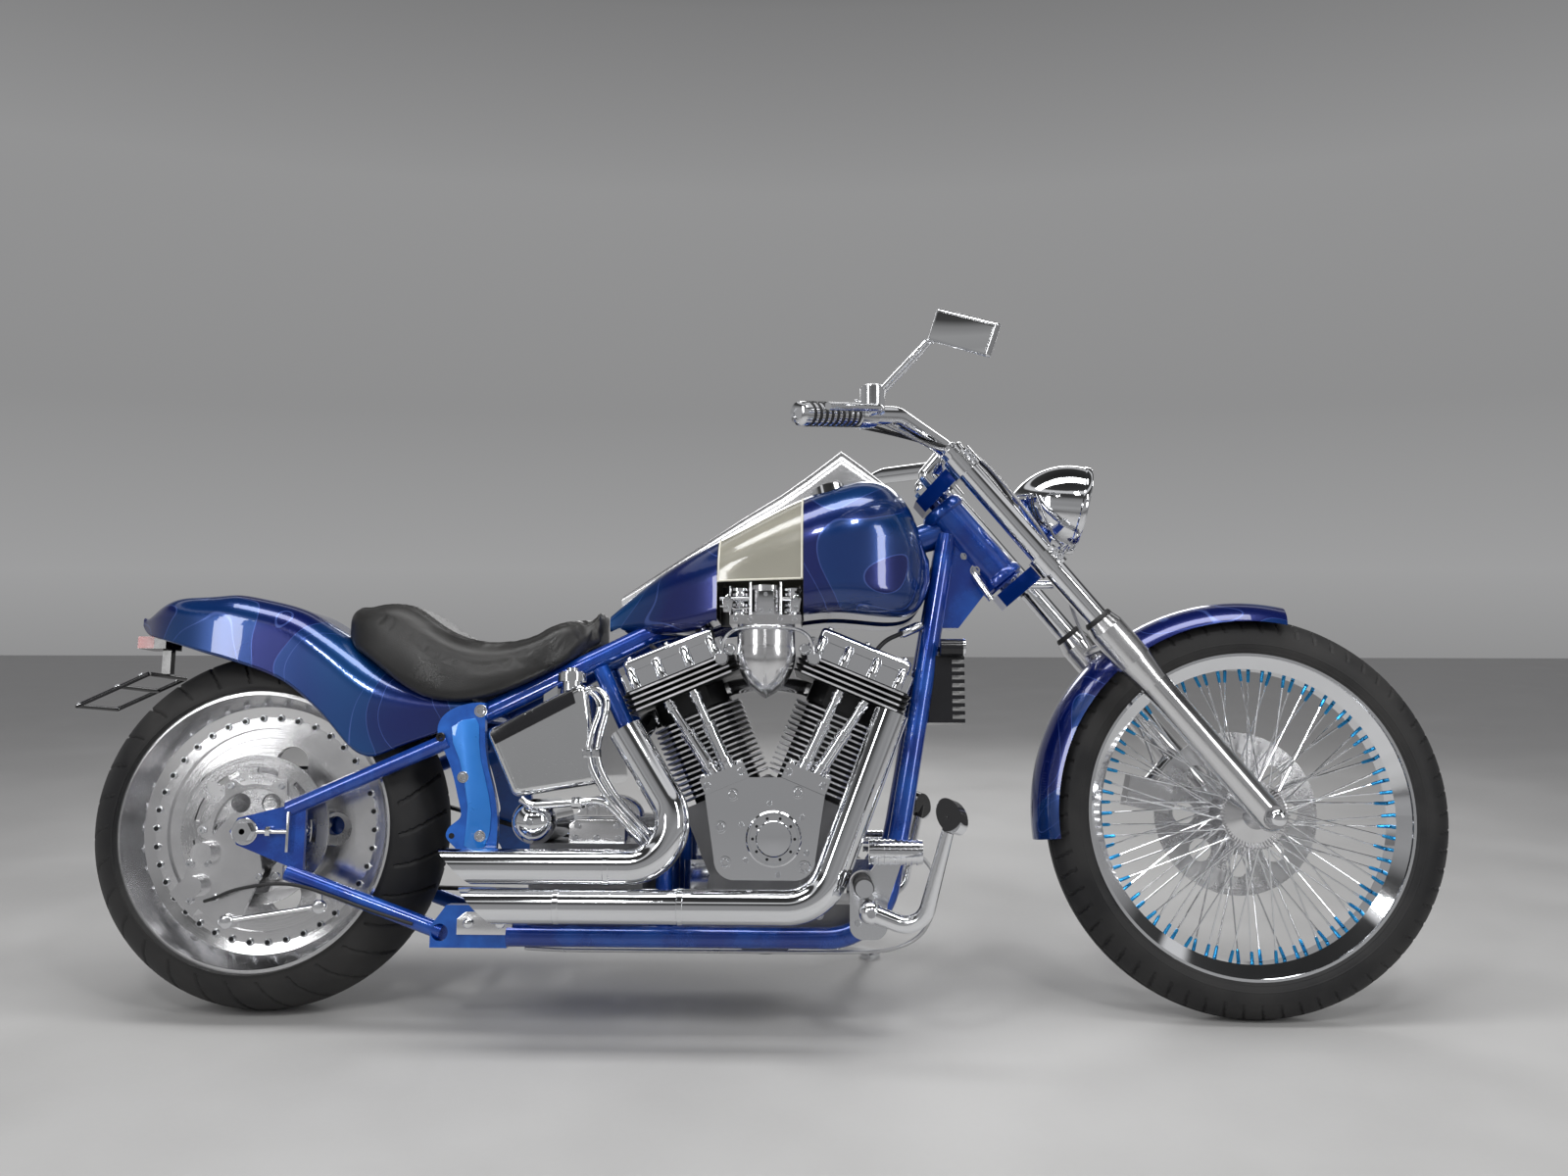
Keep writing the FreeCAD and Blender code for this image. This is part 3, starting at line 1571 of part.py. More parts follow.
TANK_share = [
    (0.00, 0.03, 0.13, 0.16, 0.5, 0.8),
    (0.13, 0.00, 0.34, 0.40, 0.5, 0.9),
    (0.27, 0.01, 0.50, 0.68, 0.4, 0.9),
    (0.43, 0.05, 0.66, 0.87, 0.4, 0.9),
    (0.60, 0.09, 0.83, 0.98, 0.4, 0.9),
    (0.78, 0.10, 0.95, 1.00, 0.4, 0.9),
    (0.90, 0.09, 0.90, 0.84, 0.4, 0.9),
    (0.97, 0.17, 0.65, 0.60, 0.5, 0.9),
    (1.00, 0.29, 0.48, 0.36, 0.6, 0.8),
]
RIDGE_share = [
    (0.00, 0.05, 0.15, 0.30, 0.1, 0.6),
    (0.24, 0.20, 0.39, 0.60, 0.1, 0.7),
    (0.46, 0.38, 0.61, 0.80, 0.1, 0.8),
    (0.61, 0.48, 0.75, 0.90, 0.1, 0.8),
    (0.72, 0.55, 0.87, 0.95, 0.1, 0.8),
    (0.83, 0.62, 1.00, 1.00, 0.1, 0.8),
    (0.91, 0.64, 0.91, 1.00, 0.1, 0.8),
    (1.00, 0.64, 0.79, 1.00, 0.1, 0.8),
]


def loft_body(name, share, wall=0, open_below=0):
    """A loft as a body of its own, larger than the piece by a negative wall."""
    body = body_of(name + " form")
    lofted(body, name, share, wall, open_below, ruled=share is RIDGE_share)
    return body


def rear_fender():
    """A pressed blade, bobbed at the back and open below."""
    body = body_of("Blade")
    lofted(body, "rear_fender", FENDER_share)
    below = v.rear_fender_tall / 4
    lofted(body, "rear_fender", FENDER_share, v.fender_wall, below, cutting=True)
    keep(body, "rear_fender", BIKE)


def frame_room():
    """The frame's upper tubes with a little room round them, as cutting tools."""
    tools = [
        shaped(tube(seat_rail(side), v.frame_tube_r + v.seat_gap, v.frame_bend))
        for side in (-1, 1)
    ]
    across = "swing_right_y + swing_left_y"
    tools.append(
        cylinder(
            "cross_tube_r + seat_gap",
            across,
            v.seat_rail_x,
            -v.swing_right_y,
            v.seat_rail_z,
            X_AXIS,
            -90,
        )
    )
    backbone = rod(
        point(v.backbone_x, 0, v.backbone_z),
        point(v.backbone_top_x, 0, v.backbone_top_z),
        v.backbone_r + v.seat_gap,
    )
    return tools + [shaped(backbone)]


def seat():
    """A padded two-step saddle that lies on the fender and on the seat rails."""
    fender = loft_body("rear_fender", FENDER_share, -v.seat_gap)
    keep(cut(loft_body("seat", SEAT_share), fused([fender] + frame_room())), "seat", BIKE)


def tunnel():
    """The slot under the tank for the frame's backbone."""
    run = point(v.backbone_top_x - v.backbone_x, 0, v.backbone_top_z - v.backbone_z)
    start = point(v.backbone_x, 0, v.backbone_z) - run
    end = point(v.backbone_x, 0, v.backbone_z) + run * 2
    rise = v.backbone_r + v.overrun
    outline = [
        (start.x, start.z + rise),
        (end.x, end.z + rise),
        (end.x, 0),
        (start.x, 0),
    ]
    return shaped(slab(outline, -v.tunnel_half, v.tunnel_half))


def tank_bay(low_z, gap):
    """The cut-out in the tank's right half, over the throttle."""
    return shaped(
        Part.makeBox(
            v.tank_bay_long - gap * 2,
            v.tank_half * 2,
            v.tank_z + v.tank_tall * 2,
            point(v.tank_bay_x + gap, -v.tank_half * 2 - v.tank_bay_y, low_z),
        )
    )


def rocker_room():
    """The hollow under the tank for the rocker boxes."""
    step = v.overrun
    high = v.head_top + v.rocker_tall + step
    corners = []
    for frame, sign in ((BACK_CYLINDER, 1), (FORE_CYLINDER, -1)):
        half = sign * (v.rocker_long / 2 + step)
        pair = [frame.multVec(point(-half, 0, high)), frame.multVec(point(half, 0, high))]
        corners += pair if sign > 0 else pair[::-1]
    outline = [(corners[0].x, 0)] + [(spot.x, spot.z) for spot in corners]
    outline.append((corners[-1].x, 0))
    return shaped(slab(outline, -v.head_right - step, v.head_left + step))


def tank():
    tools = [tunnel(), tank_bay(0, 0), rocker_room()] + frame_room()
    keep(cut(loft_body("tank", TANK_share), fused(tools)), "fuel_tank", BIKE)


def tank_window():
    """The clear cover that closes the cut-out's upper part in the tank's own curve."""
    common = doc.addObject("Part::Common", "Skin")
    common.Base = loft_body("tank", TANK_share)
    common.Tool = tank_bay(v.window_z, v.seat_gap)
    inner = loft_body("tank", TANK_share, v.window_thick)
    keep(cut(common, inner), "tank_window", BIKE)


def tank_ridge():
    """The brushed spine that runs up the tank to a peak in front of the rider."""
    over = loft_body("tank", TANK_share, -v.seat_gap)
    keep(cut(loft_body("ridge", RIDGE_share), over), "tank_ridge", BIKE)


def fuel_cap():
    over = loft_body("tank", TANK_share, -v.seat_gap)
    up = point(v.cap_slope_share, -v.cap_slope_share * 2, 1).normalize()
    centre = point(v.cap_x, -v.cap_y, v.cap_z)
    disc = rod(centre - up * v.cap_tall, centre + up * v.cap_tall, v.cap_r)
    keep(cut(shaped(disc), over), "fuel_cap", BIKE)


frame()
rear_castings()
rear_fork()
rear_fender()
seat()
tank()
tank_window()
tank_ridge()
fuel_cap()

# Engine


def chamfered(half_x, right, left, corner):
    """A rectangle with cut corners, from a distance to the right to one to the left."""
    return [
        (corner - half_x, -right),
        (half_x - corner, -right),
        (half_x, corner - right),
        (half_x, left - corner),
        (half_x - corner, left),
        (corner - half_x, left),
        (-half_x, left - corner),
        (-half_x, corner - right),
    ]


def padded(body, outline, offset, length):
    pad = body.newObject("PartDesign::Pad", "Pad")
    pad.Profile = sketch_on(body, "XY_Plane", [outline], offset)
    bind(pad, Length=length)
    body.Tip = pad
    return pad


def stacked(body, pad, count, reach):
    """Repeats a fin up the cylinder."""
    stack = body.newObject("PartDesign::LinearPattern", "Fins")
    stack.Originals = [pad]
    stack.Direction = (plane_of(body, "Z_Axis"), [""])
    bind(stack, Length=reach, Occurrences=count)
    body.Tip = stack


def engine_cylinder(label, frame):
    """A finned barrel and its wider finned head, in one column over the crank."""
    body = body_of(label)
    core, fin, head = v.cylinder_r, v.fin_r, v.head_core / 2
    corner = core / 2
    padded(body, chamfered(core, core, core, corner), "deck", "head_top - deck")
    fin_pad = padded(body, chamfered(fin, fin, fin, corner), "deck + fin_pitch", "fin_thick")
    stacked(body, fin_pad, "fin_count", "fin_pitch * (fin_count - 1)")
    padded(body, chamfered(head, head, head, corner), "cylinder_top", "head_top - cylinder_top")
    long = v.head_fin_long / 2
    outline = chamfered(long, v.head_right, v.head_left, corner / 2)
    start = "head_top - fin_thick - fin_pitch * (head_fin_count - 1)"
    fin_pad = padded(body, outline, start, "fin_thick")
    stacked(body, fin_pad, "head_fin_count", "fin_pitch * (head_fin_count - 1)")
    keep(body, label, BIKE * frame)


def rocker_boxes():
    """Two stepped chrome boxes with rounded edges, one on each head over its gasket seam."""
    solids = []
    wide = v.head_right + v.head_left
    low_tall = v.rocker_tall - v.rocker_step
    for frame in (BACK_CYLINDER, FORE_CYLINDER):
        base_z = v.head_top + v.seat_gap
        pieces = []
        for inset, low, high in (
            (v.rocker_seam, 0, low_tall),
            (0, v.rocker_seam, low_tall - v.rocker_seam),
            (v.rocker_inset, low_tall - v.rocker_round, v.rocker_tall),
        ):
            block = Part.makeBox(
                v.rocker_long - inset * 2,
                wide - inset * 2,
                high - low,
                point(inset - v.rocker_long / 2, inset - v.head_right, base_z + low),
            )
            edges = block.Edges
            if inset < v.rocker_inset:
                edges = [edge for edge in edges if abs(edge.tangentAt(0).z) > abs(edge.tangentAt(0).x)]
                edges = [edge for edge in edges if abs(edge.tangentAt(0).z) > abs(edge.tangentAt(0).y)]
            pieces.append(block.makeFillet(v.rocker_round, edges))
        pair = joined(pieces)
        pair.Placement = frame
        solids.append(pair)
    keep(shaped(Part.makeCompound(solids)), "rocker_boxes", BIKE)


def pushrods():
    """Two telescoping tubes to each cylinder, on their tappet blocks."""
    shapes = []
    for frame, sign in ((BACK_CYLINDER, 1), (FORE_CYLINDER, -1)):
        block_z = v.tappet_at
        centre = sign * v.tappet_lean
        block = Part.makeBox(
            v.tappet_long,
            v.tappet_wide,
            v.tappet_tall,
            point(centre - v.tappet_long / 2, -v.pushrod_y - v.tappet_wide / 2, block_z),
        )
        pieces = [block]
        top_z = v.head_top - v.fin_thick - v.fin_pitch * (v.head_fin_count - 1) - v.seat_gap
        for spread in (-1, 1):
            foot_z = block_z + v.tappet_tall / 2
            foot = point(centre + spread * v.pushrod_spread / 2, -v.pushrod_y, foot_z)
            head = point(-centre + spread * v.pushrod_spread, -v.pushrod_y, top_z)
            middle = foot + (head - foot) * v.pushrod_joint_share
            tip = head - (head - foot).normalize() * v.pushrod_r / 2
            pieces.append(rod(foot, middle, v.pushrod_low_r))
            pieces.append(rod(middle, tip, v.pushrod_r))
        column = joined(pieces)
        column.Placement = frame
        shapes.append(column)
    keep(shaped(Part.makeCompound(shapes)), "pushrods", BIKE)


def crankcase():
    """The cast cases round the crank, with a deck for each cylinder and feet on the frame."""
    half = v.crankcase_half
    round_case = cylinder(
        "crankcase_r", "crankcase_half * 2", v.crank_x, -half, v.crank_z, X_AXIS, -90
    )
    decks = []
    for frame in (BACK_CYLINDER, FORE_CYLINDER):
        deck = box(
            "deck_half * 2",
            "deck_right + deck_half",
            "deck - seat_gap",
            -v.deck_half,
            -v.deck_right,
            0,
        )
        deck.Placement = frame * deck.Placement
        decks.append(deck)
    foot_z = v.rail_z + v.cross_tube_r + v.seat_gap
    foot = box(
        "crankcase_foot_long",
        "crankcase_half * 2",
        "crankcase_foot_tall",
        v.crank_x - v.crankcase_foot_long / 2,
        -half,
        foot_z,
    )
    keep(fused([round_case, foot] + decks), "crankcase", BIKE)


def cam_cover():
    """The chrome cover on the right, with its ring and its round cap."""
    low, long, corner = v.cam_cover_z, v.cam_cover_long / 2, v.cam_corner_r
    left, right = v.crank_x - long, v.crank_x + long
    turn = corner * (1 - math.sqrt(0.5))
    outline = [
        (left, low + corner),
        ((left + turn, low + turn), (left + corner, low)),
        (right - corner, low),
        ((right - turn, low + turn), (right, low + corner)),
    ]
    for frame, sign in ((FORE_CYLINDER, -1), (BACK_CYLINDER, 1)):
        for end in (-1, 1):
            x = sign * v.tappet_lean - end * v.tappet_long / 2
            spot = frame.multVec(point(x, 0, v.tappet_at - v.seat_gap))
            outline.append((spot.x, spot.z))
    body = body_of("Cam case")
    pad = body.newObject("PartDesign::Pad", "Pad")
    pad.Profile = sketch_on(body, "XZ_Plane", [outline], "crankcase_half + seat_gap")
    bind(pad, Length="cam_cover_thick")
    body.Tip = pad
    face = v.crankcase_half + v.seat_gap + v.cam_cover_thick
    ring = cylinder("cam_ring_r", "cam_ring_thick", v.cam_x, -face, v.cam_z, X_AXIS, 90)
    cap = cylinder(
        "cam_dome_r", "cam_ring_thick + cam_dome_thick", v.cam_x, -face, v.cam_z, X_AXIS, 90
    )
    keep(fused([body, ring, cap]), "cam_cover", BIKE)


def intake():
    """The round-bottomed manifold between the cylinders, its plate and its throttle tube."""
    y = v.intake_y
    low = point(v.intake_x, -y, v.intake_z)
    tall = v.intake_tall + v.intake_low_r
    rise = tall * v.intake_bulge_share
    belly = Part.Arc(
        ORIGIN, point(v.intake_r * v.intake_bulge_share, 0, rise / 3), point(v.intake_r, 0, rise)
    )
    corners = [point(v.intake_r, 0, rise), point(v.intake_r, 0, tall), point(0, 0, tall), ORIGIN]
    walls = [Part.LineSegment(*pair).toShape() for pair in zip(corners, corners[1:])]
    bulb = Part.Face(Part.Wire([belly.toShape()] + walls))
    bulb = bulb.revolve(ORIGIN, Z_AXIS, v.full_turn_deg)
    bulb.translate(low - Z_AXIS * v.intake_low_r)
    plate_z = v.intake_z + v.intake_tall
    flange = Part.makeBox(
        v.intake_plate_long,
        v.intake_r * 2,
        v.intake_plate_thick,
        point(v.intake_x - v.intake_plate_long / 2, -y - v.intake_r, plate_z),
    )
    throat = Part.makeCylinder(
        v.venturi_r, v.venturi_tall, point(v.intake_x, -y, plate_z + v.intake_plate_thick)
    )
    bore = Part.makeCylinder(
        v.venturi_r * v.venturi_bore_share,
        v.venturi_tall,
        point(v.intake_x, -y, plate_z + v.intake_plate_thick),
    )
    arms = []
    for frame, sign in ((BACK_CYLINDER, 1), (FORE_CYLINDER, -1)):
        x = sign * (v.head_core / 2 + v.seat_gap)
        port = frame.multVec(point(x, -v.intake_port_y, v.port_at))
        out = frame.multVec(point(x + sign * v.intake_elbow_r, -v.intake_port_y, v.port_at))
        arms.append(tube([port, out, low], v.intake_elbow_r, v.intake_elbow_r * 2))
    keep(shaped(joined([bulb, flange, throat] + arms).cut(bore)), "intake", BIKE)


def exhaust(label, frame, sign, z, corner_x, end_x, port_x, port_z):
    """A header from the head's port into a chrome pipe that ends in a slashed mouth."""
    y = v.pipe_y
    face = frame.multVec(
        point(sign * (v.head_core / 2 + v.seat_gap), -v.exhaust_port_y, v.port_at)
    )
    out = frame.multVec(
        point(sign * (v.head_core / 2 + v.header_r), -v.exhaust_port_y, v.port_at)
    )
    start = point(port_x, -v.pipe_top_y, port_z)
    corner = point(corner_x, -y, z)
    end = point(end_x, -y, z)
    inside = start + (corner - start).normalize() * v.pipe_r
    header = tube([face, out, inside], v.header_r, v.header_r * v.header_bend_share)
    pipe = tube([start, corner, end], v.pipe_r, v.pipe_bend)
    bore = rod(
        end - X_AXIS * v.overrun, end + X_AXIS * v.pipe_mouth_deep, v.pipe_r - v.pipe_wall
    )
    over = v.overrun
    slash = slab(
        [
            (end_x - over, z + v.pipe_r + over),
            (end_x + v.pipe_r * 2 + over, z - v.pipe_r - over),
            (end_x - over, z - v.pipe_r - over),
        ],
        -y - v.pipe_r - over,
        -y + v.pipe_r + over,
    )
    keep(shaped(joined([pipe, header]).cut(bore).cut(slash)), label, BIKE)


def hull_outline(x1, z1, r1, x2, z2, r2):
    """Two circles and the straight lines that touch both, as a closed outline."""
    apart = math.hypot(x2 - x1, z2 - z1)
    heading = math.atan2(z2 - z1, x2 - x1)
    spread = math.acos((r1 - r2) / apart)

    def spot(x, z, radius, angle):
        return x + radius * math.cos(angle), z + radius * math.sin(angle)

    return [
        spot(x1, z1, r1, heading + spread),
        (spot(x1, z1, r1, heading + math.pi), spot(x1, z1, r1, heading - spread)),
        spot(x2, z2, r2, heading - spread),
        (spot(x2, z2, r2, heading), spot(x2, z2, r2, heading + spread)),
    ]


def primary_cover():
    """The long chrome case over the primary drive on the left."""
    outline = hull_outline(
        v.primary_rear_x,
        v.primary_rear_z,
        v.primary_rear_r,
        v.crank_x,
        v.crank_z,
        v.primary_front_r,
    )
    body = body_of("Case")
    pad = body.newObject("PartDesign::Pad", "Pad")
    pad.Profile = sketch_on(body, "XZ_Plane", [outline], "-primary_y - primary_thick")
    bind(pad, Length="primary_thick")
    body.Tip = pad
    neck = box(
        "primary_neck_long",
        "primary_y - crankcase_half - seat_gap + overrun",
        "primary_neck_tall",
        v.crank_x - v.primary_neck_long,
        v.crankcase_half + v.seat_gap,
        v.crank_z - v.primary_neck_tall / 2,
    )
    lids = [
        cylinder("primary_lid_r", "primary_lid_thick", x, v.primary_y + v.primary_thick, z, X_AXIS, -90)
        for x, z in ((v.primary_rear_x, v.primary_rear_z), (v.crank_x, v.crank_z))
    ]
    keep(fused([body, neck] + lids), "primary_cover", BIKE)


def gearbox():
    """The gearbox on its tray, with the belt's small pulley on its left."""
    low_z = v.rail_z + v.tray_thick / 2 + v.seat_gap
    case = box(
        "gearbox_long",
        "gearbox_half + gearbox_left",
        "gearbox_tall",
        v.gearbox_x,
        -v.gearbox_half,
        low_z,
    )
    shaft = cylinder(
        "belt_front_r / 2",
        "pulley_y + pulley_wide - gearbox_left",
        v.primary_rear_x,
        v.gearbox_left,
        v.primary_rear_z,
        X_AXIS,
        -90,
    )
    wheel = cylinder(
        "belt_front_r",
        "pulley_wide",
        v.primary_rear_x,
        v.pulley_y,
        v.primary_rear_z,
        X_AXIS,
        -90,
    )
    keep(fused([case, shaft, wheel]), "gearbox", BIKE)


def drive_belt():
    """The toothed belt from the gearbox to the rear wheel."""
    loops = []
    for over in (v.seat_gap + v.belt_thick, v.seat_gap):
        loops.append(
            hull_outline(
                0,
                REAR_AXLE_Z,
                v.pulley_r + over,
                v.primary_rear_x,
                v.primary_rear_z,
                v.belt_front_r + over,
            )
        )
    plate("drive_belt", loops, "-pulley_y - pulley_wide", "pulley_wide", BIKE)


def starter():
    """The starter's chrome drum on top of the gearbox."""
    z = v.rail_z + v.tray_thick / 2 + v.gearbox_tall + v.starter_r + v.seat_gap * 2
    drum = cylinder("starter_r", "starter_long", v.starter_x, -v.starter_y, z, X_AXIS, -90)
    keep(fused([drum, sphere_at("starter_r", v.starter_x, -v.starter_y, z)]), "starter", BIKE)


def oil_tank():
    """The chrome oil tank under the seat, hung from the seat rails, with its filler cap."""
    share = [(0.0, 0.56), (0.26, 0.0), (1.0, 0.12), (0.86, 1.0)]
    outline = [
        (v.oil_tank_x + x * v.oil_tank_long, v.oil_tank_z + z * v.oil_tank_tall)
        for x, z in share
    ]
    case = slab(outline, -v.oil_tank_half, v.oil_tank_half)
    case = case.makeFillet(v.oil_tank_round, case.Edges)
    hangers = []
    rails = []
    for side in (-1, 1):
        along = seat_rail(side)
        rail_run = along[2] - along[1]
        spot = along[1] + rail_run * v.hanger_share
        hangers.append(
            Part.makeBox(
                v.hanger_long,
                v.hanger_long,
                v.frame_tube_r * 3,
                spot - point(v.hanger_long / 2, v.hanger_long / 2, v.frame_tube_r * 3),
            )
        )
        rails.append(tube(along, v.frame_tube_r + v.seat_gap, v.frame_bend))
        posts = tube(seat_post(side), v.post_r + v.overrun, v.frame_bend)
        case = case.cut(posts)
    neck = rod(
        point(v.oil_cap_x, -v.oil_cap_y, v.oil_tank_z + v.oil_tank_tall / 2),
        point(v.oil_cap_x, -v.oil_cap_y, v.oil_cap_z),
        v.oil_cap_r * v.oil_neck_share,
    )
    cap = rod(
        point(v.oil_cap_x, -v.oil_cap_y, v.oil_cap_z),
        point(v.oil_cap_x, -v.oil_cap_y, v.oil_cap_z + v.oil_cap_tall),
        v.oil_cap_r,
    )
    whole = joined([case, neck, cap] + hangers)
    for tool in rails:
        whole = whole.cut(tool)
    keep(shaped(whole), "oil_tank", BIKE)


# Controls, stand, lamps and tail


def round_bar(low, low_r, high, high_r, near, far):
    """A flat bar with round ends, from one distance across the bike to another."""
    outline = hull_outline(*low, low_r, *high, high_r)
    corners = [outline[0], outline[1][1], outline[2], outline[3][1]]
    ends = [
        rod(point(x, near, z), point(x, far, z), radius)
        for (x, z), radius in ((low, low_r), (high, high_r))
    ]
    return joined([slab(corners, near, far)] + ends)


def pedal_arm(root):
    """A swooping arm that thins out from its root to an oval rubber pad."""
    knee = point(v.arm_knee_x, v.arm_knee_y, v.arm_knee_z)
    tip = point(v.pad_x, v.pad_y, v.pad_z)
    path = bent_path([root, knee, tip], v.arm_bend)
    rings = [
        Part.Wire(Part.makeCircle(v.arm_root_r, root, knee - root)),
        Part.Wire(Part.makeCircle(v.arm_r, tip, tip - knee)),
    ]
    arm = path.makePipeShell(rings, True, False)
    oval = Part.Wire(Part.Ellipse(point(0, v.pad_r), point(-v.pad_half), ORIGIN).toShape())
    pad = Part.Face(oval).extrude(point(0, 0, v.pad_thick))
    facing = point(-1, v.pad_out_share, v.pad_up_share)
    pad.Placement = FreeCAD.Placement(tip, FreeCAD.Rotation(Z_AXIS, facing)) * FreeCAD.Placement(
        point(0, 0, -v.pad_thick / 2), FreeCAD.Rotation()
    )
    return [arm, Part.makeSphere(v.arm_ball_r, root), pad]


def foot_controls(label, side):
    """A forward bracket with its peg, its pedal arm and its cylinder."""
    near = v.rail_y + v.frame_tube_r + v.seat_gap
    bracket = Part.makeBox(
        v.bracket_long,
        v.bracket_thick + v.frame_tube_r,
        v.bracket_tall,
        point(v.control_x, near - v.frame_tube_r, v.control_z - v.bracket_tall / 2),
    )
    across = [edge for edge in bracket.Edges if abs(edge.tangentAt(0).y) > v.pad_out_share]
    bracket = bracket.makeFillet(v.bracket_round, across)
    pivot = point(v.control_x + v.bracket_long / 2, near, v.control_z)
    peg_z = v.control_z + v.bracket_tall / 3
    peg_root = point(v.control_x + v.bracket_long / 3, near, peg_z)
    peg = rod(peg_root, peg_root + Y_AXIS * (v.bracket_thick + v.peg_long), v.peg_r)
    root = point(pivot.x, v.arm_root_y, pivot.z)
    shaft = rod(pivot, root, v.arm_root_r)
    far = near + v.bracket_thick
    high = (v.cylinder_x + v.master_long / 2, v.cylinder_z)
    plate_bar = round_bar((pivot.x, pivot.z), v.bracket_low_r, high, v.bracket_top_r, near, far)
    master = rod(
        point(v.cylinder_x, far, v.cylinder_z),
        point(v.cylinder_x + v.master_long, far, v.cylinder_z),
        v.master_r,
    )
    whole = joined([bracket, plate_bar, peg, shaft, master] + pedal_arm(root))
    whole = whole.cut(tube(rail(1), v.frame_tube_r + v.seat_gap, v.frame_bend))
    keep(largest(whole if side > 0 else mirrored(whole)), label, BIKE)


def side_stand():
    """The stand: a leg on its hinge eye, with a flat foot on the floor."""
    pivot, axis, foot = stand_axis()
    half = v.stand_boss_tall / 2
    eye = rod(pivot - axis * half, pivot + axis * half, v.stand_boss_r)
    up = point(0, -math.sin(LEAN), math.cos(LEAN))
    pad = rod(foot, foot + up * v.stand_foot_thick, v.stand_foot_r)
    leg = rod(pivot, foot + up * v.stand_r, v.stand_r)
    hole = rod(
        pivot - axis * v.stand_boss_tall,
        pivot + axis * v.stand_boss_tall,
        v.stand_pin_r + v.running_gap,
    )
    keep(shaped(joined([eye, leg, pad]).cut(hole)), "side_stand", BIKE)


def tail_light():
    """A slim red lamp under the fender's tip, on a strap that also holds the plate frame."""
    strap = box(
        "strap_wide",
        "strap_wide",
        "rear_fender_tall",
        v.plate_top_x,
        -v.strap_wide / 2,
        v.plate_top_z + v.plate_rod_r + v.seat_gap,
    )
    common = doc.addObject("Part::Common", "Strap")
    common.Base = strap
    common.Tool = loft_body(
        "rear_fender", FENDER_share, v.fender_wall + v.seat_gap, v.rear_fender_tall / 3
    )
    lamp = box("tail_long", "tail_wide", "tail_tall", v.tail_x, -v.tail_wide / 2, v.tail_z)
    keep(fused([common, lamp]), "tail_light", BIKE)


def plate_frame():
    """An open wire frame for the number plate."""
    top = point(v.plate_top_x + v.strap_wide / 2, 0, v.plate_top_z)
    end = point(v.plate_end_x, 0, v.plate_end_z)
    across = Y_AXIS * v.plate_rod_y
    bars = []
    for side in (-1, 1):
        bars.append(rod(top + across * side, end + across * side, v.plate_rod_r))
    for spot in (top, top + (end - top) * v.plate_bar_share, end):
        bars.append(rod(spot - across, spot + across, v.plate_rod_r))
    keep(shaped(joined(bars)), "plate_frame", BIKE)


def down_tubes(gap):
    return [tube(rail(side), v.frame_tube_r + gap, v.frame_bend) for side in (-1, 1)]


def horn():
    """The black finned regulator block between the down tubes."""
    case = Part.makeBox(
        v.horn_long,
        v.horn_wide,
        v.horn_tall,
        point(v.horn_x, -v.horn_wide / 2, v.horn_z - v.horn_tall / 2),
    )
    pitch = v.horn_tall / (v.horn_slot_count + 0.5)
    for number in range(round(v.horn_slot_count)):
        slot = Part.makeBox(
            v.horn_slot_deep + v.overrun,
            v.horn_wide * 2,
            v.horn_fin,
            point(
                v.horn_x + v.horn_long - v.horn_slot_deep,
                -v.horn_wide,
                v.horn_z - v.horn_tall / 2 + pitch * (number + 0.5),
            ),
        )
        case = case.cut(slot)
    for tool in down_tubes(v.seat_gap):
        case = case.cut(tool)
    keep(shaped(case), "horn", BIKE)


def turn_signals():
    """Two bullet lamps on stalks from the down tubes."""
    shapes = []
    for side in (-1, 1):
        start = point(v.signal_x, side * v.signal_y, v.signal_z)
        shell = rod(start, start + X_AXIS * v.signal_long, v.signal_r)
        middle = start + X_AXIS * v.signal_long / 2
        stalk = rod(middle, point(v.signal_x - v.signal_long / 2, 0, v.signal_z), v.signal_r / 3)
        shape = joined([shell, stalk])
        for tool in down_tubes(v.seat_gap):
            shape = shape.cut(tool)
        shapes.append(max(shape.Solids, key=lambda solid: solid.Volume))
    keep(shaped(Part.makeCompound(shapes)), "turn_signals", BIKE)


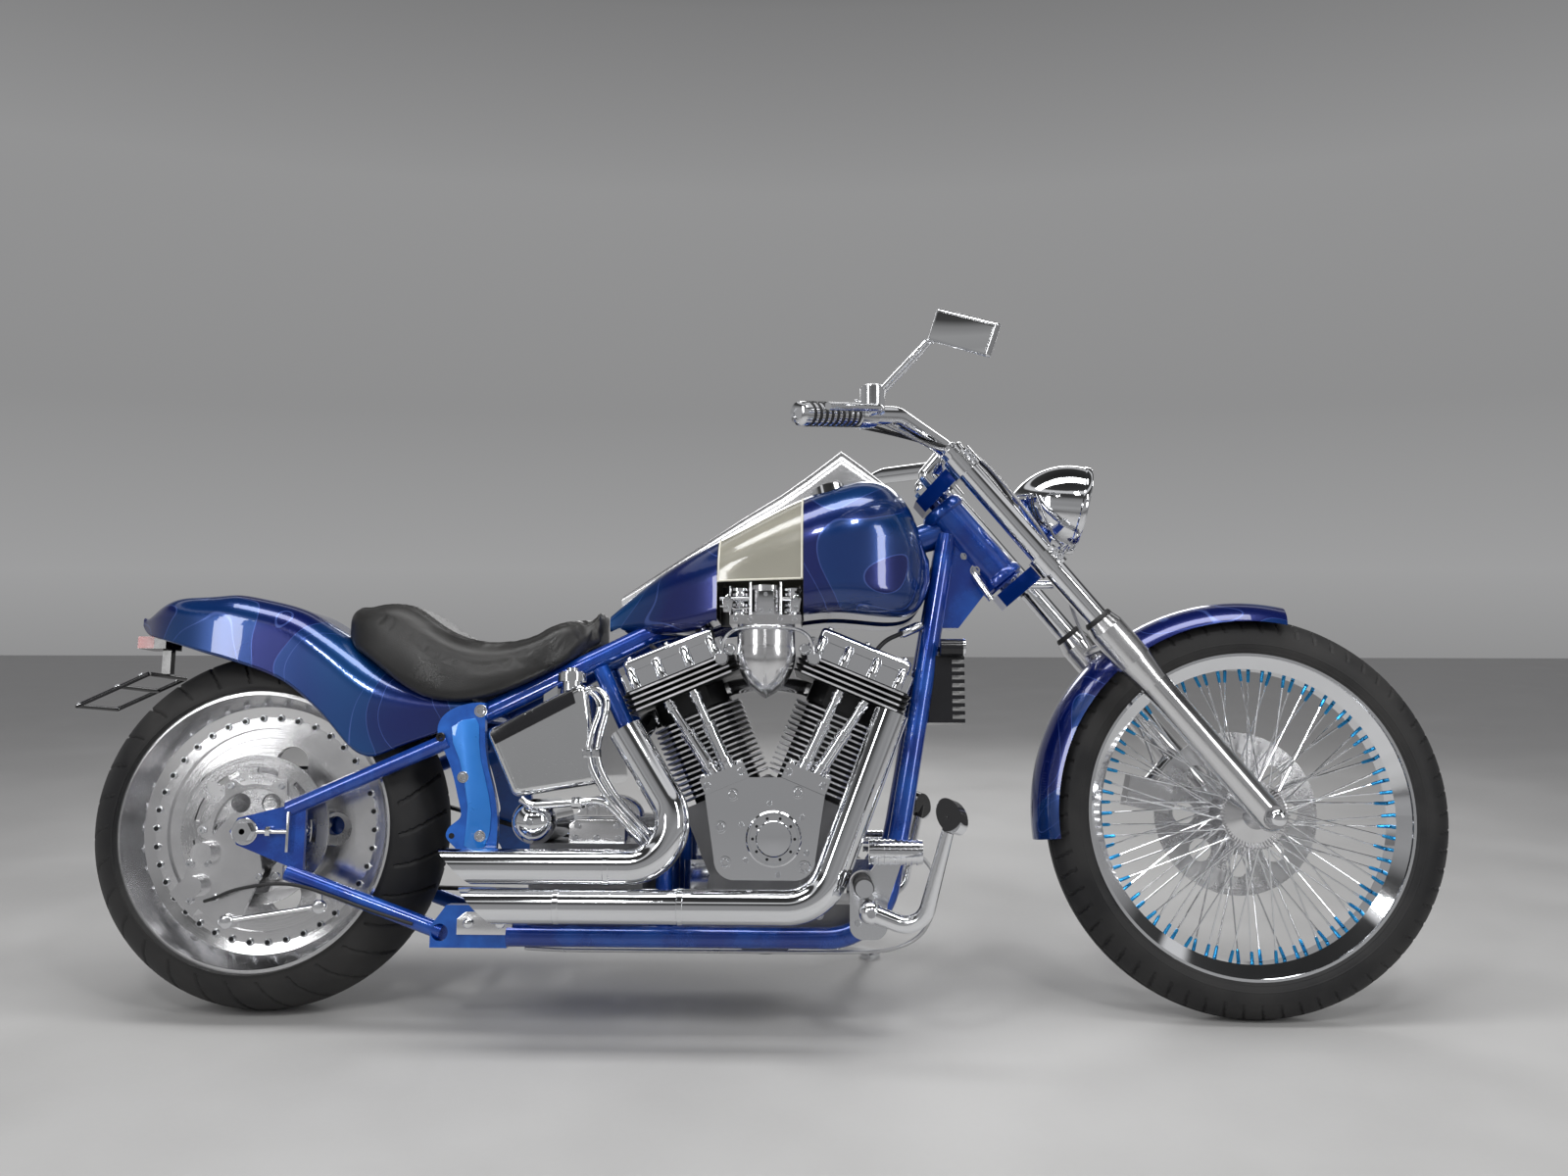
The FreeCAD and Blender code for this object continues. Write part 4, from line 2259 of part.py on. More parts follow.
def rear_caliper():
    """The right disc's caliper on its plate, held by a link to the rear fork."""
    y = v.swing_right_y
    plate_near = v.rear_bracket_y
    share = [
        (0.85, 1.0),
        (0.6, 1.03),
        (0.1, 0.62),
        (0.0, 0.32),
        (0.5, 0.0),
        (0.72, 0.0),
        (1.0, 0.5),
    ]
    outline = [
        (v.rear_bracket_x + x * v.rear_bracket_long, v.rear_bracket_z + z * v.rear_bracket_tall)
        for x, z in share
    ]
    web = slab(outline, -plate_near, -plate_near - v.rear_bracket_thick)
    hole = rod(
        point(0, 0, REAR_AXLE_Z), point(0, -y * 2, REAR_AXLE_Z), v.axle_r + v.running_gap
    )
    reach = v.rear_disc_r - v.caliper_long / 2
    disc_y = v.rear_disc_y + v.rear_disc_thick / 2
    shell = Part.makeBox(
        v.caliper_wide,
        plate_near - disc_y + v.caliper_thick / 2,
        v.caliper_long,
        point(-v.caliper_wide / 2, -plate_near, reach),
    )
    slot = Part.makeBox(
        v.caliper_wide * 2,
        v.rear_disc_thick + v.caliper_gap * 2,
        v.caliper_long,
        point(
            -v.caliper_wide,
            -disc_y - v.rear_disc_thick / 2 - v.caliper_gap,
            reach - v.caliper_gap - v.caliper_long / 3,
        ),
    )
    block = shell.cut(slot)
    block.rotate(ORIGIN, Y_AXIS, -v.rear_caliper_deg)
    block.translate(point(0, 0, REAR_AXLE_Z))
    link_y = plate_near + v.rear_bracket_thick
    foot = point(v.rear_bracket_x + v.rear_bracket_long * v.rear_bracket_foot_share, -link_y, v.link_z)
    end = point(v.link_x, -link_y, v.link_end_z)
    link = rod(foot, end, v.link_r)
    lug = rod(end, point(v.link_x, -y, v.link_end_z + v.link_lug), v.link_r)
    pistons = []
    for x, z in ((v.piston_x, v.piston_z), (v.piston_top_x, v.piston_top_z)):
        root = point(x, -plate_near, z)
        pistons.append(rod(root, root - Y_AXIS * v.piston_out, v.piston_r))
    whole = joined([web.cut(hole), block, link, lug] + pistons)
    for tool in swing_tubes(-1, y, v.swing_tube_r + v.seat_gap):
        whole = whole.cut(tool)
    keep(largest(whole), "rear_caliper", BIKE)


engine_cylinder("cylinder_rear", BACK_CYLINDER)
engine_cylinder("cylinder_front", FORE_CYLINDER)
rocker_boxes()
pushrods()
crankcase()
cam_cover()
intake()
exhaust(
    "exhaust_upper",
    BACK_CYLINDER,
    -1,
    v.upper_pipe_z,
    v.upper_pipe_corner_x,
    v.upper_pipe_end_x,
    v.upper_port_x,
    v.upper_port_z,
)
exhaust(
    "exhaust_lower",
    FORE_CYLINDER,
    1,
    v.lower_pipe_z,
    v.lower_pipe_corner_x,
    v.lower_pipe_end_x,
    v.lower_port_x,
    v.lower_port_z,
)
primary_cover()
gearbox()
drive_belt()
starter()
oil_tank()
foot_controls("right_controls", -1)
foot_controls("left_controls", 1)
side_stand()
tail_light()
plate_frame()
horn()
turn_signals()
rear_caliper()

doc.recompute()
os.makedirs("parts", exist_ok=True)
for item in doc.Objects:
    if "Invalid" in item.State or "Error" in item.State:
        raise RuntimeError(f"{item.Name} of {item.Label} failed: {item.State}")
for piece in sub_parts:
    if piece.Shape.isNull() or not piece.Shape.isValid():
        raise RuntimeError(f"{piece.Label} has no valid shape")
    piece.Shape.exportStep(f"parts/{piece.Label}.step")
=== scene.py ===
"""The chopper in its studio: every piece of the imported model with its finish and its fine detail."""

import math

import bmesh
import bpy
from mathutils import Matrix, Vector
from mathutils.bvhtree import BVHTree


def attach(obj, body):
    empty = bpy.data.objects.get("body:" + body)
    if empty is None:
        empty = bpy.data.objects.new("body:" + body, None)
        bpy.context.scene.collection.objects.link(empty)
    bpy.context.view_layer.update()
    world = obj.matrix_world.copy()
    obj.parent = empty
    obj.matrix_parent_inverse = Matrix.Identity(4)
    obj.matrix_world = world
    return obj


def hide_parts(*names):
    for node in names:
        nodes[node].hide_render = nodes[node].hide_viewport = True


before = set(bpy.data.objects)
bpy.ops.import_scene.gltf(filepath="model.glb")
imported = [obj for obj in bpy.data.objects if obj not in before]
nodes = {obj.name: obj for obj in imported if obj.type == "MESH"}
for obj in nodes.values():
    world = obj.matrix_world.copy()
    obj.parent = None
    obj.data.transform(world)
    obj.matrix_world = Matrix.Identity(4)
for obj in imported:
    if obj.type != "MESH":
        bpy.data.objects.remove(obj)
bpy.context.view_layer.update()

# The room: a plain grey sweep that darkens overhead, with soft lamp panels above and at both sides,
# and the camera at the height of the tank, square to the machine's right side.

scene = bpy.context.scene
scene.view_settings.view_transform = "Standard"

CAMERA_AT = Vector((0.11719, -2.36644, 0.78198))
CAMERA_YAW, CAMERA_PITCH = math.radians(1.68), math.radians(-0.85)
CAMERA_LENS = 29.319

camera = bpy.data.objects.new("camera", bpy.data.cameras.new("camera"))
camera.data.lens = CAMERA_LENS
camera.data.sensor_width = 36
aim = Matrix.Rotation(CAMERA_YAW, 4, "Z") @ Matrix.Rotation(CAMERA_PITCH, 4, "X")
camera.matrix_world = Matrix.Translation(CAMERA_AT) @ aim @ Matrix.Rotation(math.pi / 2, 4, "X")
scene.collection.objects.link(camera)
scene.camera = camera

SKY_STOPS = (
    (0.0, 0.1), (0.46, 0.26), (0.5, 0.34), (0.56, 0.27), (0.64, 0.29), (0.7, 0.2), (0.74, 0.05),
    (0.8, 0.04), (0.815, 0.6), (0.85, 0.6), (0.865, 0.04), (0.98, 0.02),
)
FILL_GREY = (0.3, 0.3, 0.31, 1)
world = bpy.data.worlds.new("studio")
scene.world = world
world.use_nodes = True
sky = world.node_tree
sky_back = sky.nodes["Background"]
sky_place = sky.nodes.new("ShaderNodeTexCoord")
sky_split = sky.nodes.new("ShaderNodeSeparateXYZ")
sky_shift = sky.nodes.new("ShaderNodeMath")
sky_shift.operation = "MULTIPLY_ADD"
sky_shift.inputs[1].default_value = 0.5
sky_shift.inputs[2].default_value = 0.5
sky_ramp = sky.nodes.new("ShaderNodeValToRGB")
for number, (place, grey) in enumerate(SKY_STOPS):
    stops = sky_ramp.color_ramp.elements
    stop = stops[number] if number < 2 else stops.new(place)
    stop.position = place
    stop.color = (grey, grey, grey * 1.01, 1)
sky.links.new(sky_place.outputs["Generated"], sky_split.inputs[0])
sky.links.new(sky_split.outputs["Z"], sky_shift.inputs[0])
sky.links.new(sky_shift.outputs[0], sky_ramp.inputs[0])
sky_path = sky.nodes.new("ShaderNodeLightPath")
seen = sky_path.outputs["Is Camera Ray"]
for kind in ("Is Glossy Ray", "Is Transmission Ray"):
    either = sky.nodes.new("ShaderNodeMath")
    either.operation = "MAXIMUM"
    sky.links.new(seen, either.inputs[0])
    sky.links.new(sky_path.outputs[kind], either.inputs[1])
    seen = either.outputs[0]
sky_mix = sky.nodes.new("ShaderNodeMix")
sky_mix.data_type = "RGBA"
sky_mix.inputs[6].default_value = FILL_GREY
sky.links.new(seen, sky_mix.inputs[0])
sky.links.new(sky_ramp.outputs[0], sky_mix.inputs[7])
sky.links.new(sky_mix.outputs[2], sky_back.inputs["Color"])


def lamp(name, at, target, width, tall, watts):
    light = bpy.data.lights.new(name, "AREA")
    light.shape = "RECTANGLE"
    light.size, light.size_y, light.energy = width, tall, watts
    thing = bpy.data.objects.new(name, light)
    facing = (Vector(target) - Vector(at)).to_track_quat("-Z", "Y").to_matrix().to_4x4()
    thing.matrix_world = Matrix.Translation(at) @ facing
    scene.collection.objects.link(thing)


lamp("overhead", (0.0, -0.4, 3.0), (0, 0, 0.4), 3.4, 0.7, 50)
lamp("front left", (-2.3, -2.6, 1.9), (0, 0, 0.5), 0.5, 1.7, 24)
lamp("front right", (2.6, -2.4, 1.8), (0, 0, 0.5), 0.5, 1.7, 22)
lamp("high left", (-0.8, -2.4, 2.6), (0, 0, 0.6), 0.35, 0.35, 14)
lamp("high right", (0.9, -2.2, 2.7), (0, 0, 0.6), 0.35, 0.35, 14)
lamp("behind", (0.3, 2.8, 1.9), (0, 0, 0.5), 2.4, 0.8, 26)

# The floor: ground concrete, pale and slightly clouded. Its finish starts the two effects that many
# of the machine's finishes share: clouds with fine grain, and the rings that a lathe leaves.


def effect(name, ins, outs):
    """An empty shader group with named inputs and outputs."""
    tree = bpy.data.node_groups.new(name, "ShaderNodeTree")
    for socket, kind, value in ins:
        made = tree.interface.new_socket(socket, in_out="INPUT", socket_type=kind)
        if value is not None:
            made.default_value = value
    for socket in outs:
        tree.interface.new_socket(socket, in_out="OUTPUT", socket_type="NodeSocketFloat")
    return tree, tree.nodes.new("NodeGroupInput"), tree.nodes.new("NodeGroupOutput")


def set_or_link(tree, value, socket):
    """Feeds a socket with another socket, or sets it to a plain value."""
    if isinstance(value, bpy.types.NodeSocket):
        tree.links.new(value, socket)
    else:
        socket.default_value = value


def math_node(tree, operation, *values):
    """A Math node, with each input a socket to read or a plain number."""
    node = tree.nodes.new("ShaderNodeMath")
    node.operation = operation
    for number, value in enumerate(values):
        set_or_link(tree, value, node.inputs[number])
    return node.outputs[0]


def spread_node(tree, value, low, high, out_low, out_high):
    """A value spread from one range to another."""
    node = tree.nodes.new("ShaderNodeMapRange")
    limits = {"From Min": low, "From Max": high, "To Min": out_low, "To Max": out_high}
    for socket, number in {"Value": value, **limits}.items():
        set_or_link(tree, number, node.inputs[socket])
    return node.outputs[0]


CLOUD_INPUTS = (("Scale", 9.0), ("Least", 0.1), ("Most", 0.3), ("Grain Scale", 300.0))
clouds, clouds_in, clouds_out = effect(
    "Clouds and scratches",
    [("Vector", "NodeSocketVector", None)]
    + [(socket, "NodeSocketFloat", value) for socket, value in CLOUD_INPUTS],
    ["Roughness", "Clouds", "Grain"],
)
soft = clouds.nodes.new("ShaderNodeTexNoise")
soft.inputs["Detail"].default_value = 4
grain = clouds.nodes.new("ShaderNodeTexNoise")
grain.inputs["Detail"].default_value = 2
for socket, node in (("Scale", soft), ("Grain Scale", grain)):
    clouds.links.new(clouds_in.outputs["Vector"], node.inputs["Vector"])
    clouds.links.new(clouds_in.outputs[socket], node.inputs["Scale"])
mixed = math_node(clouds, "MULTIPLY_ADD", grain.outputs["Fac"], 0.25, soft.outputs["Fac"])
cloud_limits = clouds_in.outputs["Least"], clouds_in.outputs["Most"]
cloudy = spread_node(clouds, mixed, 0.4, 0.85, *cloud_limits)
clouds.links.new(cloudy, clouds_out.inputs["Roughness"])
clouds.links.new(soft.outputs["Fac"], clouds_out.inputs["Clouds"])
clouds.links.new(grain.outputs["Fac"], clouds_out.inputs["Grain"])

rings, rings_in, rings_out = effect(
    "Lathe rings",
    [("Vector", "NodeSocketVector", None), ("Rings", "NodeSocketFloat", 900.0)],
    ["Height"],
)
flat = rings.nodes.new("ShaderNodeVectorMath")
flat.operation = "MULTIPLY"
flat.inputs[1].default_value = (1, 0, 1)
rings.links.new(rings_in.outputs["Vector"], flat.inputs[0])
length = rings.nodes.new("ShaderNodeVectorMath")
length.operation = "LENGTH"
rings.links.new(flat.outputs[0], length.inputs[0])
ring_noise = rings.nodes.new("ShaderNodeTexNoise")
ring_noise.noise_dimensions = "1D"
ring_noise.inputs["Scale"].default_value = 1
turned = math_node(rings, "MULTIPLY", length.outputs["Value"], rings_in.outputs["Rings"])
rings.links.new(turned, ring_noise.inputs["W"])
rings.links.new(ring_noise.outputs["Fac"], rings_out.inputs["Height"])


class Finish:
    """One material: a Principled shader with the object's own coordinates ready to read."""

    def __init__(self, name, slot, base, **settings):
        self.slot = slot
        self.material = bpy.data.materials.new(name)
        self.material.use_nodes = True
        self.tree = self.material.node_tree
        self.shader = self.tree.nodes["Principled BSDF"]
        self.shader.inputs["Base Color"].default_value = (*base, 1)
        self.material.diffuse_color = (*base, 1)
        for socket, value in settings.items():
            self.shader.inputs[socket.replace("_", " ")].default_value = value
        self.place = self.tree.nodes.new("ShaderNodeTexCoord").outputs["Object"]

    def node(self, kind, **inputs):
        made = self.tree.nodes.new(kind)
        for socket, value in inputs.items():
            self.feed(value, made.inputs[socket.replace("_", " ")])
        return made

    def group(self, tree, place):
        made = self.tree.nodes.new("ShaderNodeGroup")
        made.node_tree = tree
        self.feed(place, made.inputs["Vector"])
        return made

    def feed(self, value, socket):
        set_or_link(self.tree, value, socket)

    def math(self, operation, *values):
        return math_node(self.tree, operation, *values)

    def spread(self, value, low, high, out_low, out_high):
        return spread_node(self.tree, value, low, high, out_low, out_high)

    def local(self, turn):
        """The coordinates in a tilted frame, such as a wheel's or a cylinder's."""
        where, angles, size = turn.decompose()
        mapping = self.node("ShaderNodeMapping", Vector=self.place)
        mapping.vector_type = "TEXTURE"
        mapping.inputs["Location"].default_value = where
        mapping.inputs["Rotation"].default_value = angles.to_euler()
        return mapping.outputs[0]

    def split(self, turn):
        return self.node("ShaderNodeSeparateXYZ", Vector=self.local(turn)).outputs

    def fold(self, operation, *values):
        """Several values taken up by one operation, two at a time."""
        whole = values[0]
        for value in values[1:]:
            whole = self.math(operation, whole, value)
        return whole

    def both(self, *masks):
        """One where every mask is one."""
        return self.fold("MULTIPLY", *masks)

    def most(self, *values):
        """The largest value, so one where any mask is one."""
        return self.fold("MAXIMUM", *values)

    def near(self, turn, spot, reach):
        """One inside a ball, given in metres in a frame."""
        gap = self.node("ShaderNodeVectorMath")
        gap.operation = "DISTANCE"
        self.feed(self.local(turn), gap.inputs[0])
        gap.inputs[1].default_value = spot
        return self.math("LESS_THAN", gap.outputs["Value"], reach)

    def clouds(self, scale, least, most, grain_scale=300.0, bump=0.0):
        group = self.group(clouds, self.place)
        for row, value in zip(CLOUD_INPUTS, (scale, least, most, grain_scale)):
            group.inputs[row[0]].default_value = value
        self.feed(group.outputs["Roughness"], self.shader.inputs["Roughness"])
        if bump:
            self.bump(group.outputs["Grain"], bump)
        return group

    def rings(self, turn, count, strength):
        group = self.group(rings, self.local(turn))
        group.inputs["Rings"].default_value = count
        self.bump(group.outputs["Height"], strength)

    def bump(self, height, strength, distance=0.001):
        node = self.node("ShaderNodeBump", Height=height, Strength=strength, Distance=distance)
        old = self.shader.inputs["Normal"].links
        if old:
            self.feed(old[0].from_socket, node.inputs["Normal"])
        self.feed(node.outputs[0], self.shader.inputs["Normal"])

    def mix(self, share, one, other):
        """A colour between two others."""
        node = self.tree.nodes.new("ShaderNodeMix")
        node.data_type = "RGBA"
        self.feed(share, node.inputs[0])
        for socket, value in ((node.inputs[6], one), (node.inputs[7], other)):
            self.feed((*value, 1) if isinstance(value, tuple) else value, socket)
        return node.outputs[2]

    def colour(self, value):
        self.feed(value, self.shader.inputs["Base Color"])

    def mottle(self, group, one, other, low=0.4, high=0.7):
        """The base colour, which drifts between two with the clouds."""
        share = self.spread(group.outputs["Clouds"], low, high, 0.0, 1.0)
        self.colour(self.mix(share, one, other))

    def on(self, *names):
        for name in names:
            slots = nodes[name].data.materials
            slots.clear()
            slots.append(self.material)


floor_mesh = bpy.data.meshes.new("floor")
floor_mesh.from_pydata([(-9, -6, 0), (9, -6, 0), (9, 9, 0), (-9, 9, 0)], [], [(0, 1, 2, 3)])
floor = bpy.data.objects.new("floor", floor_mesh)
scene.collection.objects.link(floor)
floor_finish = Finish("pale concrete", None, (0.5, 0.497, 0.49), Specular_IOR_Level=0.25)
floor_clouds = floor_finish.clouds(2.2, 0.4, 0.7, 90.0, 0.05)
floor_finish.mottle(floor_clouds, (0.47, 0.467, 0.46), (0.51, 0.507, 0.5), 0.35, 0.65)
floor_mesh.materials.append(floor_finish.material)

# Where the machine stands: it leans on its side stand, and the drawing's own upright frame, with
# the rear axle at x 0, is turned into that lean. Pieces are drawn in millimetres in such a frame.

LEAN = math.radians(8.92)
BIKE = Matrix.Translation((-0.870, -0.1401, 0)) @ Matrix.Rotation(-LEAN, 4, "X")
MM = Matrix.Scale(0.001, 4)
REAR_AXLE_Z = 214 + 102 / math.cos(LEAN)
FRONT_AXLE_Z = 303 + 48 / math.cos(LEAN)


def moved(frame_at, x, z):
    """A frame moved by millimetres along the machine and up."""
    return frame_at @ Matrix.Translation((x / 1000, 0, z / 1000))


REAR_WHEEL = moved(BIKE, 0, REAR_AXLE_Z)
FRONT_WHEEL = moved(BIKE, 1737, FRONT_AXLE_Z)
FORK = FRONT_WHEEL @ Matrix.Rotation(math.radians(-39.8), 4, "Y")
CRANK = moved(BIKE, 892, 217)
REAR_CYLINDER = CRANK @ Matrix.Rotation(math.radians(-22.5), 4, "Y")
FRONT_CYLINDER = CRANK @ Matrix.Rotation(math.radians(22.5), 4, "Y")
skins = {}


def skin_of(mesh):
    """A mesh's faces, ready for a line to be cast at them."""
    corners = [corner.co for corner in mesh.vertices]
    return BVHTree.FromPolygons(corners, [face.vertices for face in mesh.polygons])


def touch(names, start, along):
    """Where a line from a point first meets the named nodes, in the machine's own millimetres."""
    origin = BIKE @ (Vector(start) / 1000)
    way = (BIKE.to_3x3() @ Vector(along)).normalized()
    best = None
    for name in names:
        if name not in skins:
            skins[name] = skin_of(nodes[name].data)
        spot, normal, index, far = skins[name].ray_cast(origin, way)
        if spot is not None and (best is None or far < best[0]):
            best = (far, spot)
    return BIKE.inverted() @ best[1] * 1000 if best else None


def mesh_of(shape, name):
    """Turns an edited shape into a mesh."""
    mesh = bpy.data.meshes.new(name)
    shape.to_mesh(mesh)
    shape.free()
    return mesh


def merge(mesh, gap):
    """Joins corners that lie within a gap of each other and turns every face outwards."""
    shape = bmesh.new()
    shape.from_mesh(mesh)
    bmesh.ops.remove_doubles(shape, verts=shape.verts, dist=gap)
    bmesh.ops.recalc_face_normals(shape, faces=shape.faces)
    shape.to_mesh(mesh)
    shape.free()


def piece(name, mesh, finish, body="chassis", turn=BIKE, keep_normals=False):
    """A mesh drawn in millimetres in one of the machine's frames, put in place on its body."""
    thing = bpy.data.objects.new(name, mesh)
    scene.collection.objects.link(thing)
    mesh.transform(turn @ MM)
    if not keep_normals:
        merge(mesh, 1e-6)
    mesh.materials.clear()
    mesh.materials.append(finish.material)
    mesh.shade_smooth()
    mesh.set_sharp_from_angle(angle=math.radians(38))
    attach(thing, body)
    return thing


# Rear tyre: a wide road tyre of black rubber, moulded in one piece, with long curved rain grooves
# across a plain tread and fine raised rings on its walls.

TYRE_RUBBER = Finish("tyre rubber", "tyre", (0.022, 0.022, 0.024), Specular_IOR_Level=0.35)
tyre_clouds = TYRE_RUBBER.clouds(6, 0.42, 0.75, 700.0, 0.12)
TYRE_RUBBER.mottle(tyre_clouds, (0.012, 0.012, 0.013), (0.038, 0.037, 0.036))


def circle(around):
    """The angles of so many even steps round a circle."""
    return [2 * math.pi * step / around for step in range(around)]


def join_loops(shape, loops, count, closed=True):
    """Closed loops of so many corners each, joined by faces in their order."""
    for low, high in zip(loops, loops[1:] + loops[:1] if closed else loops[1:]):
        for number in range(count):
            after = (number + 1) % count
            shape.faces.new((low[number], low[after], high[after], high[number]))


def tyre_mesh(name, outline, around, grooves, deep):
    """A tyre's outline spun round the axle, with its surface lowered where a groove runs."""
    shape = bmesh.new()
    loops = []
    for angle in circle(around):
        loop = []
        for radius, side, tread in outline:
            out = radius - (deep * grooves(angle, side) if tread else 0)
            loop.append(shape.verts.new((out * math.cos(angle), side, out * math.sin(angle))))
        loops.append(loop)
    join_loops(shape, loops, len(outline))
    return mesh_of(shape, name)


def tyre_outline(bead, side, crown, half, wall, shoulder, steps):
    """The tyre's section: two ringed walls, the round tread between them and the inside."""
    outline = []
    walls = 22
    for step in range(walls + 1):
        share = step / walls
        bulge = math.sin(share * math.pi / 2)
        raised = 0.5 if step in (4, 5, 17, 18) else 0
        beside = -side - (half - side) * bulge - raised
        outline.append((bead + (shoulder - bead) * share, beside, False))
    start = math.acos(min(1, (shoulder - crown) / half)) if shoulder > crown else math.pi / 2
    for step in range(1, steps):
        angle = -start + 2 * start * step / steps
        rounded = abs(angle) < start * 0.93
        outline.append((crown + half * math.cos(angle), half * math.sin(angle), rounded))
    outline += [(radius, -beside, False) for radius, beside, tread in outline[walls::-1]]
    inner = half - wall
    opening = math.acos(max(0, (bead - crown) / inner))
    for step in range(25):
        angle = opening - 2 * opening * step / 24
        outline.append((crown + inner * math.cos(angle), inner * math.sin(angle), False))
    return outline


def groove(angle, pitch, radius, width):
    """One where an angle falls in a groove of some width, set every pitch round a radius."""
    turn = angle / pitch
    return 1.0 if abs(turn - round(turn)) * pitch * radius < width else 0.0


def rear_grooves(angle, side):
    """Long curved rain grooves, one set to each side of the middle."""
    pitch = 2 * math.pi / 30
    reach = abs(side) / 102
    if reach < 0.12 or reach > 0.9:
        return 0.0
    offset = 0.0 if side > 0 else pitch / 2
    return groove(angle + offset + 0.16 * reach**2, pitch, 300, 2.6)


rear_outline = tyre_outline(241.8, 91, 214, 101.8, 12, 243.5, 60)
rear_tread = tyre_mesh("rear tyre", rear_outline, 720, rear_grooves, 5)
rear_tyre = piece("rear_tyre_road", rear_tread, TYRE_RUBBER, "rear_wheel", REAR_WHEEL)
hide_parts("rear_tyre")

# Rear rim and disc: a polished stepped rim, turned on a lathe, whose outer half is screwed to the
# centre by a ring of small socket screws. The slotted steel disc is bolted on by a six-lobed ring.


def plain(name, slot, base, cloud, *names, **settings):
    """A finish with clouds alone, put on the nodes that are named."""
    finish = Finish(name, slot, base, **settings)
    finish.clouds(*cloud)
    finish.on(*names)
    return finish


RIM_METAL = plain(
    "polished rim", "polished", (0.78, 0.78, 0.79), (7, 0.08, 0.24), "rear_rim", Metallic=1.0
)
RIM_METAL.rings(REAR_WHEEL, 1500.0, 0.1)
HUB_METAL = plain(
    "cast and turned aluminium", "cast", (0.7, 0.7, 0.71), (12, 0.22, 0.42), "rear_pulley",
    Metallic=1.0,
)
HUB_METAL.rings(REAR_WHEEL, 1100.0, 0.15)
REAR_DISC = plain(
    "rear disc steel", "steel", (0.52, 0.52, 0.53), (12, 0.18, 0.34), "rear_disc", Metallic=1.0
)
REAR_DISC.rings(REAR_WHEEL, 2200.0, 0.25)
BLACK = plain(
    "gloss black", "black_part", (0.012, 0.012, 0.014), (12, 0.1, 0.28, 300.0, 0.02),
    Specular_IOR_Level=0.5,
)
SCREW_STEEL = plain("bright screws", "steel", (0.74, 0.75, 0.77), (60, 0.1, 0.25), Metallic=1.0)


def copies_tree(name, inputs, place):
    """A tree that sets copies of one piece, turns them into real mesh and gives them a finish."""
    tree = bpy.data.node_groups.new(name, "GeometryNodeTree")
    rows = [("Geometry", "NodeSocketGeometry"), ("Piece", "NodeSocketObject")]
    for socket, kind in rows + inputs + [("Surface", "NodeSocketMaterial")]:
        tree.interface.new_socket(socket, in_out="INPUT", socket_type=kind)
    tree.interface.new_socket("Geometry", in_out="OUTPUT", socket_type="NodeSocketGeometry")
    start, end = tree.nodes.new("NodeGroupInput"), tree.nodes.new("NodeGroupOutput")
    info = tree.nodes.new("GeometryNodeObjectInfo")
    copies = tree.nodes.new("GeometryNodeInstanceOnPoints")
    real = tree.nodes.new("GeometryNodeRealizeInstances")
    paint = tree.nodes.new("GeometryNodeSetMaterial")
    tree.links.new(start.outputs["Piece"], info.inputs["Object"])
    tree.links.new(info.outputs["Geometry"], copies.inputs["Instance"])
    place(tree, start, copies)
    tree.links.new(copies.outputs[0], real.inputs[0])
    tree.links.new(real.outputs[0], paint.inputs["Geometry"])
    tree.links.new(start.outputs["Surface"], paint.inputs["Material"])
    tree.links.new(paint.outputs[0], end.inputs[0])
    return tree


def round_the_axle(tree, start, copies):
    points = tree.nodes.new("GeometryNodePoints")
    turn = tree.nodes.new("ShaderNodeCombineXYZ")
    index = tree.nodes.new("GeometryNodeInputIndex")
    step = math_node(tree, "DIVIDE", 2 * math.pi, start.outputs["Count"])
    angle = math_node(tree, "MULTIPLY_ADD", index.outputs[0], step, start.outputs["First Turn"])
    tree.links.new(angle, turn.inputs["Y"])
    tree.links.new(start.outputs["Count"], points.inputs["Count"])
    tree.links.new(points.outputs[0], copies.inputs["Points"])
    tree.links.new(turn.outputs[0], copies.inputs["Rotation"])


RING = copies_tree(
    "Round the axle", [("Count", "NodeSocketInt"), ("First Turn", "NodeSocketFloat")], round_the_axle
)


def baked(thing):
    """The mesh that a thing's live modifiers give."""
    graph = bpy.context.evaluated_depsgraph_get()
    return bpy.data.meshes.new_from_object(thing.evaluated_get(graph))


def copied(name, one, holder_mesh, tree, inputs, finish, body, turn):
    """Runs a tree of copies and keeps its result as a plain piece."""
    model = bpy.data.objects.new(name + "_one", one)
    holder = bpy.data.objects.new(name + "_all", holder_mesh)
    scene.collection.objects.link(model)
    scene.collection.objects.link(holder)
    modifier = holder.modifiers.new("Copies", "NODES")
    modifier.node_group = tree
    sockets = {item.name: item.identifier for item in tree.interface.items_tree}
    for socket, value in {"Piece": model, "Surface": finish.material, **inputs}.items():
        modifier[sockets[socket]] = value
    mesh = baked(holder)
    for thing in (holder, model):
        bpy.data.objects.remove(thing)
    return piece(name, mesh, finish, body, turn, keep_normals=True)


def ring_of(name, one, count, finish, body, turn, first=0.0):
    """Copies of one small mesh, drawn in millimetres, spread evenly round an axle."""
    inputs = {"Count": count, "First Turn": first}
    return copied(name, one, bpy.data.meshes.new(name), RING, inputs, finish, body, turn)


RIGHT, LEFT, UP = (0, -1, 0), (0, 1, 0), (0, 0, 1)


def round_loop(shape, centre, across, beside, radius, around):
    """A ring of corners round a point."""
    outs = [across * math.cos(angle) + beside * math.sin(angle) for angle in circle(around)]
    return [shape.verts.new(centre + out * radius) for out in outs]


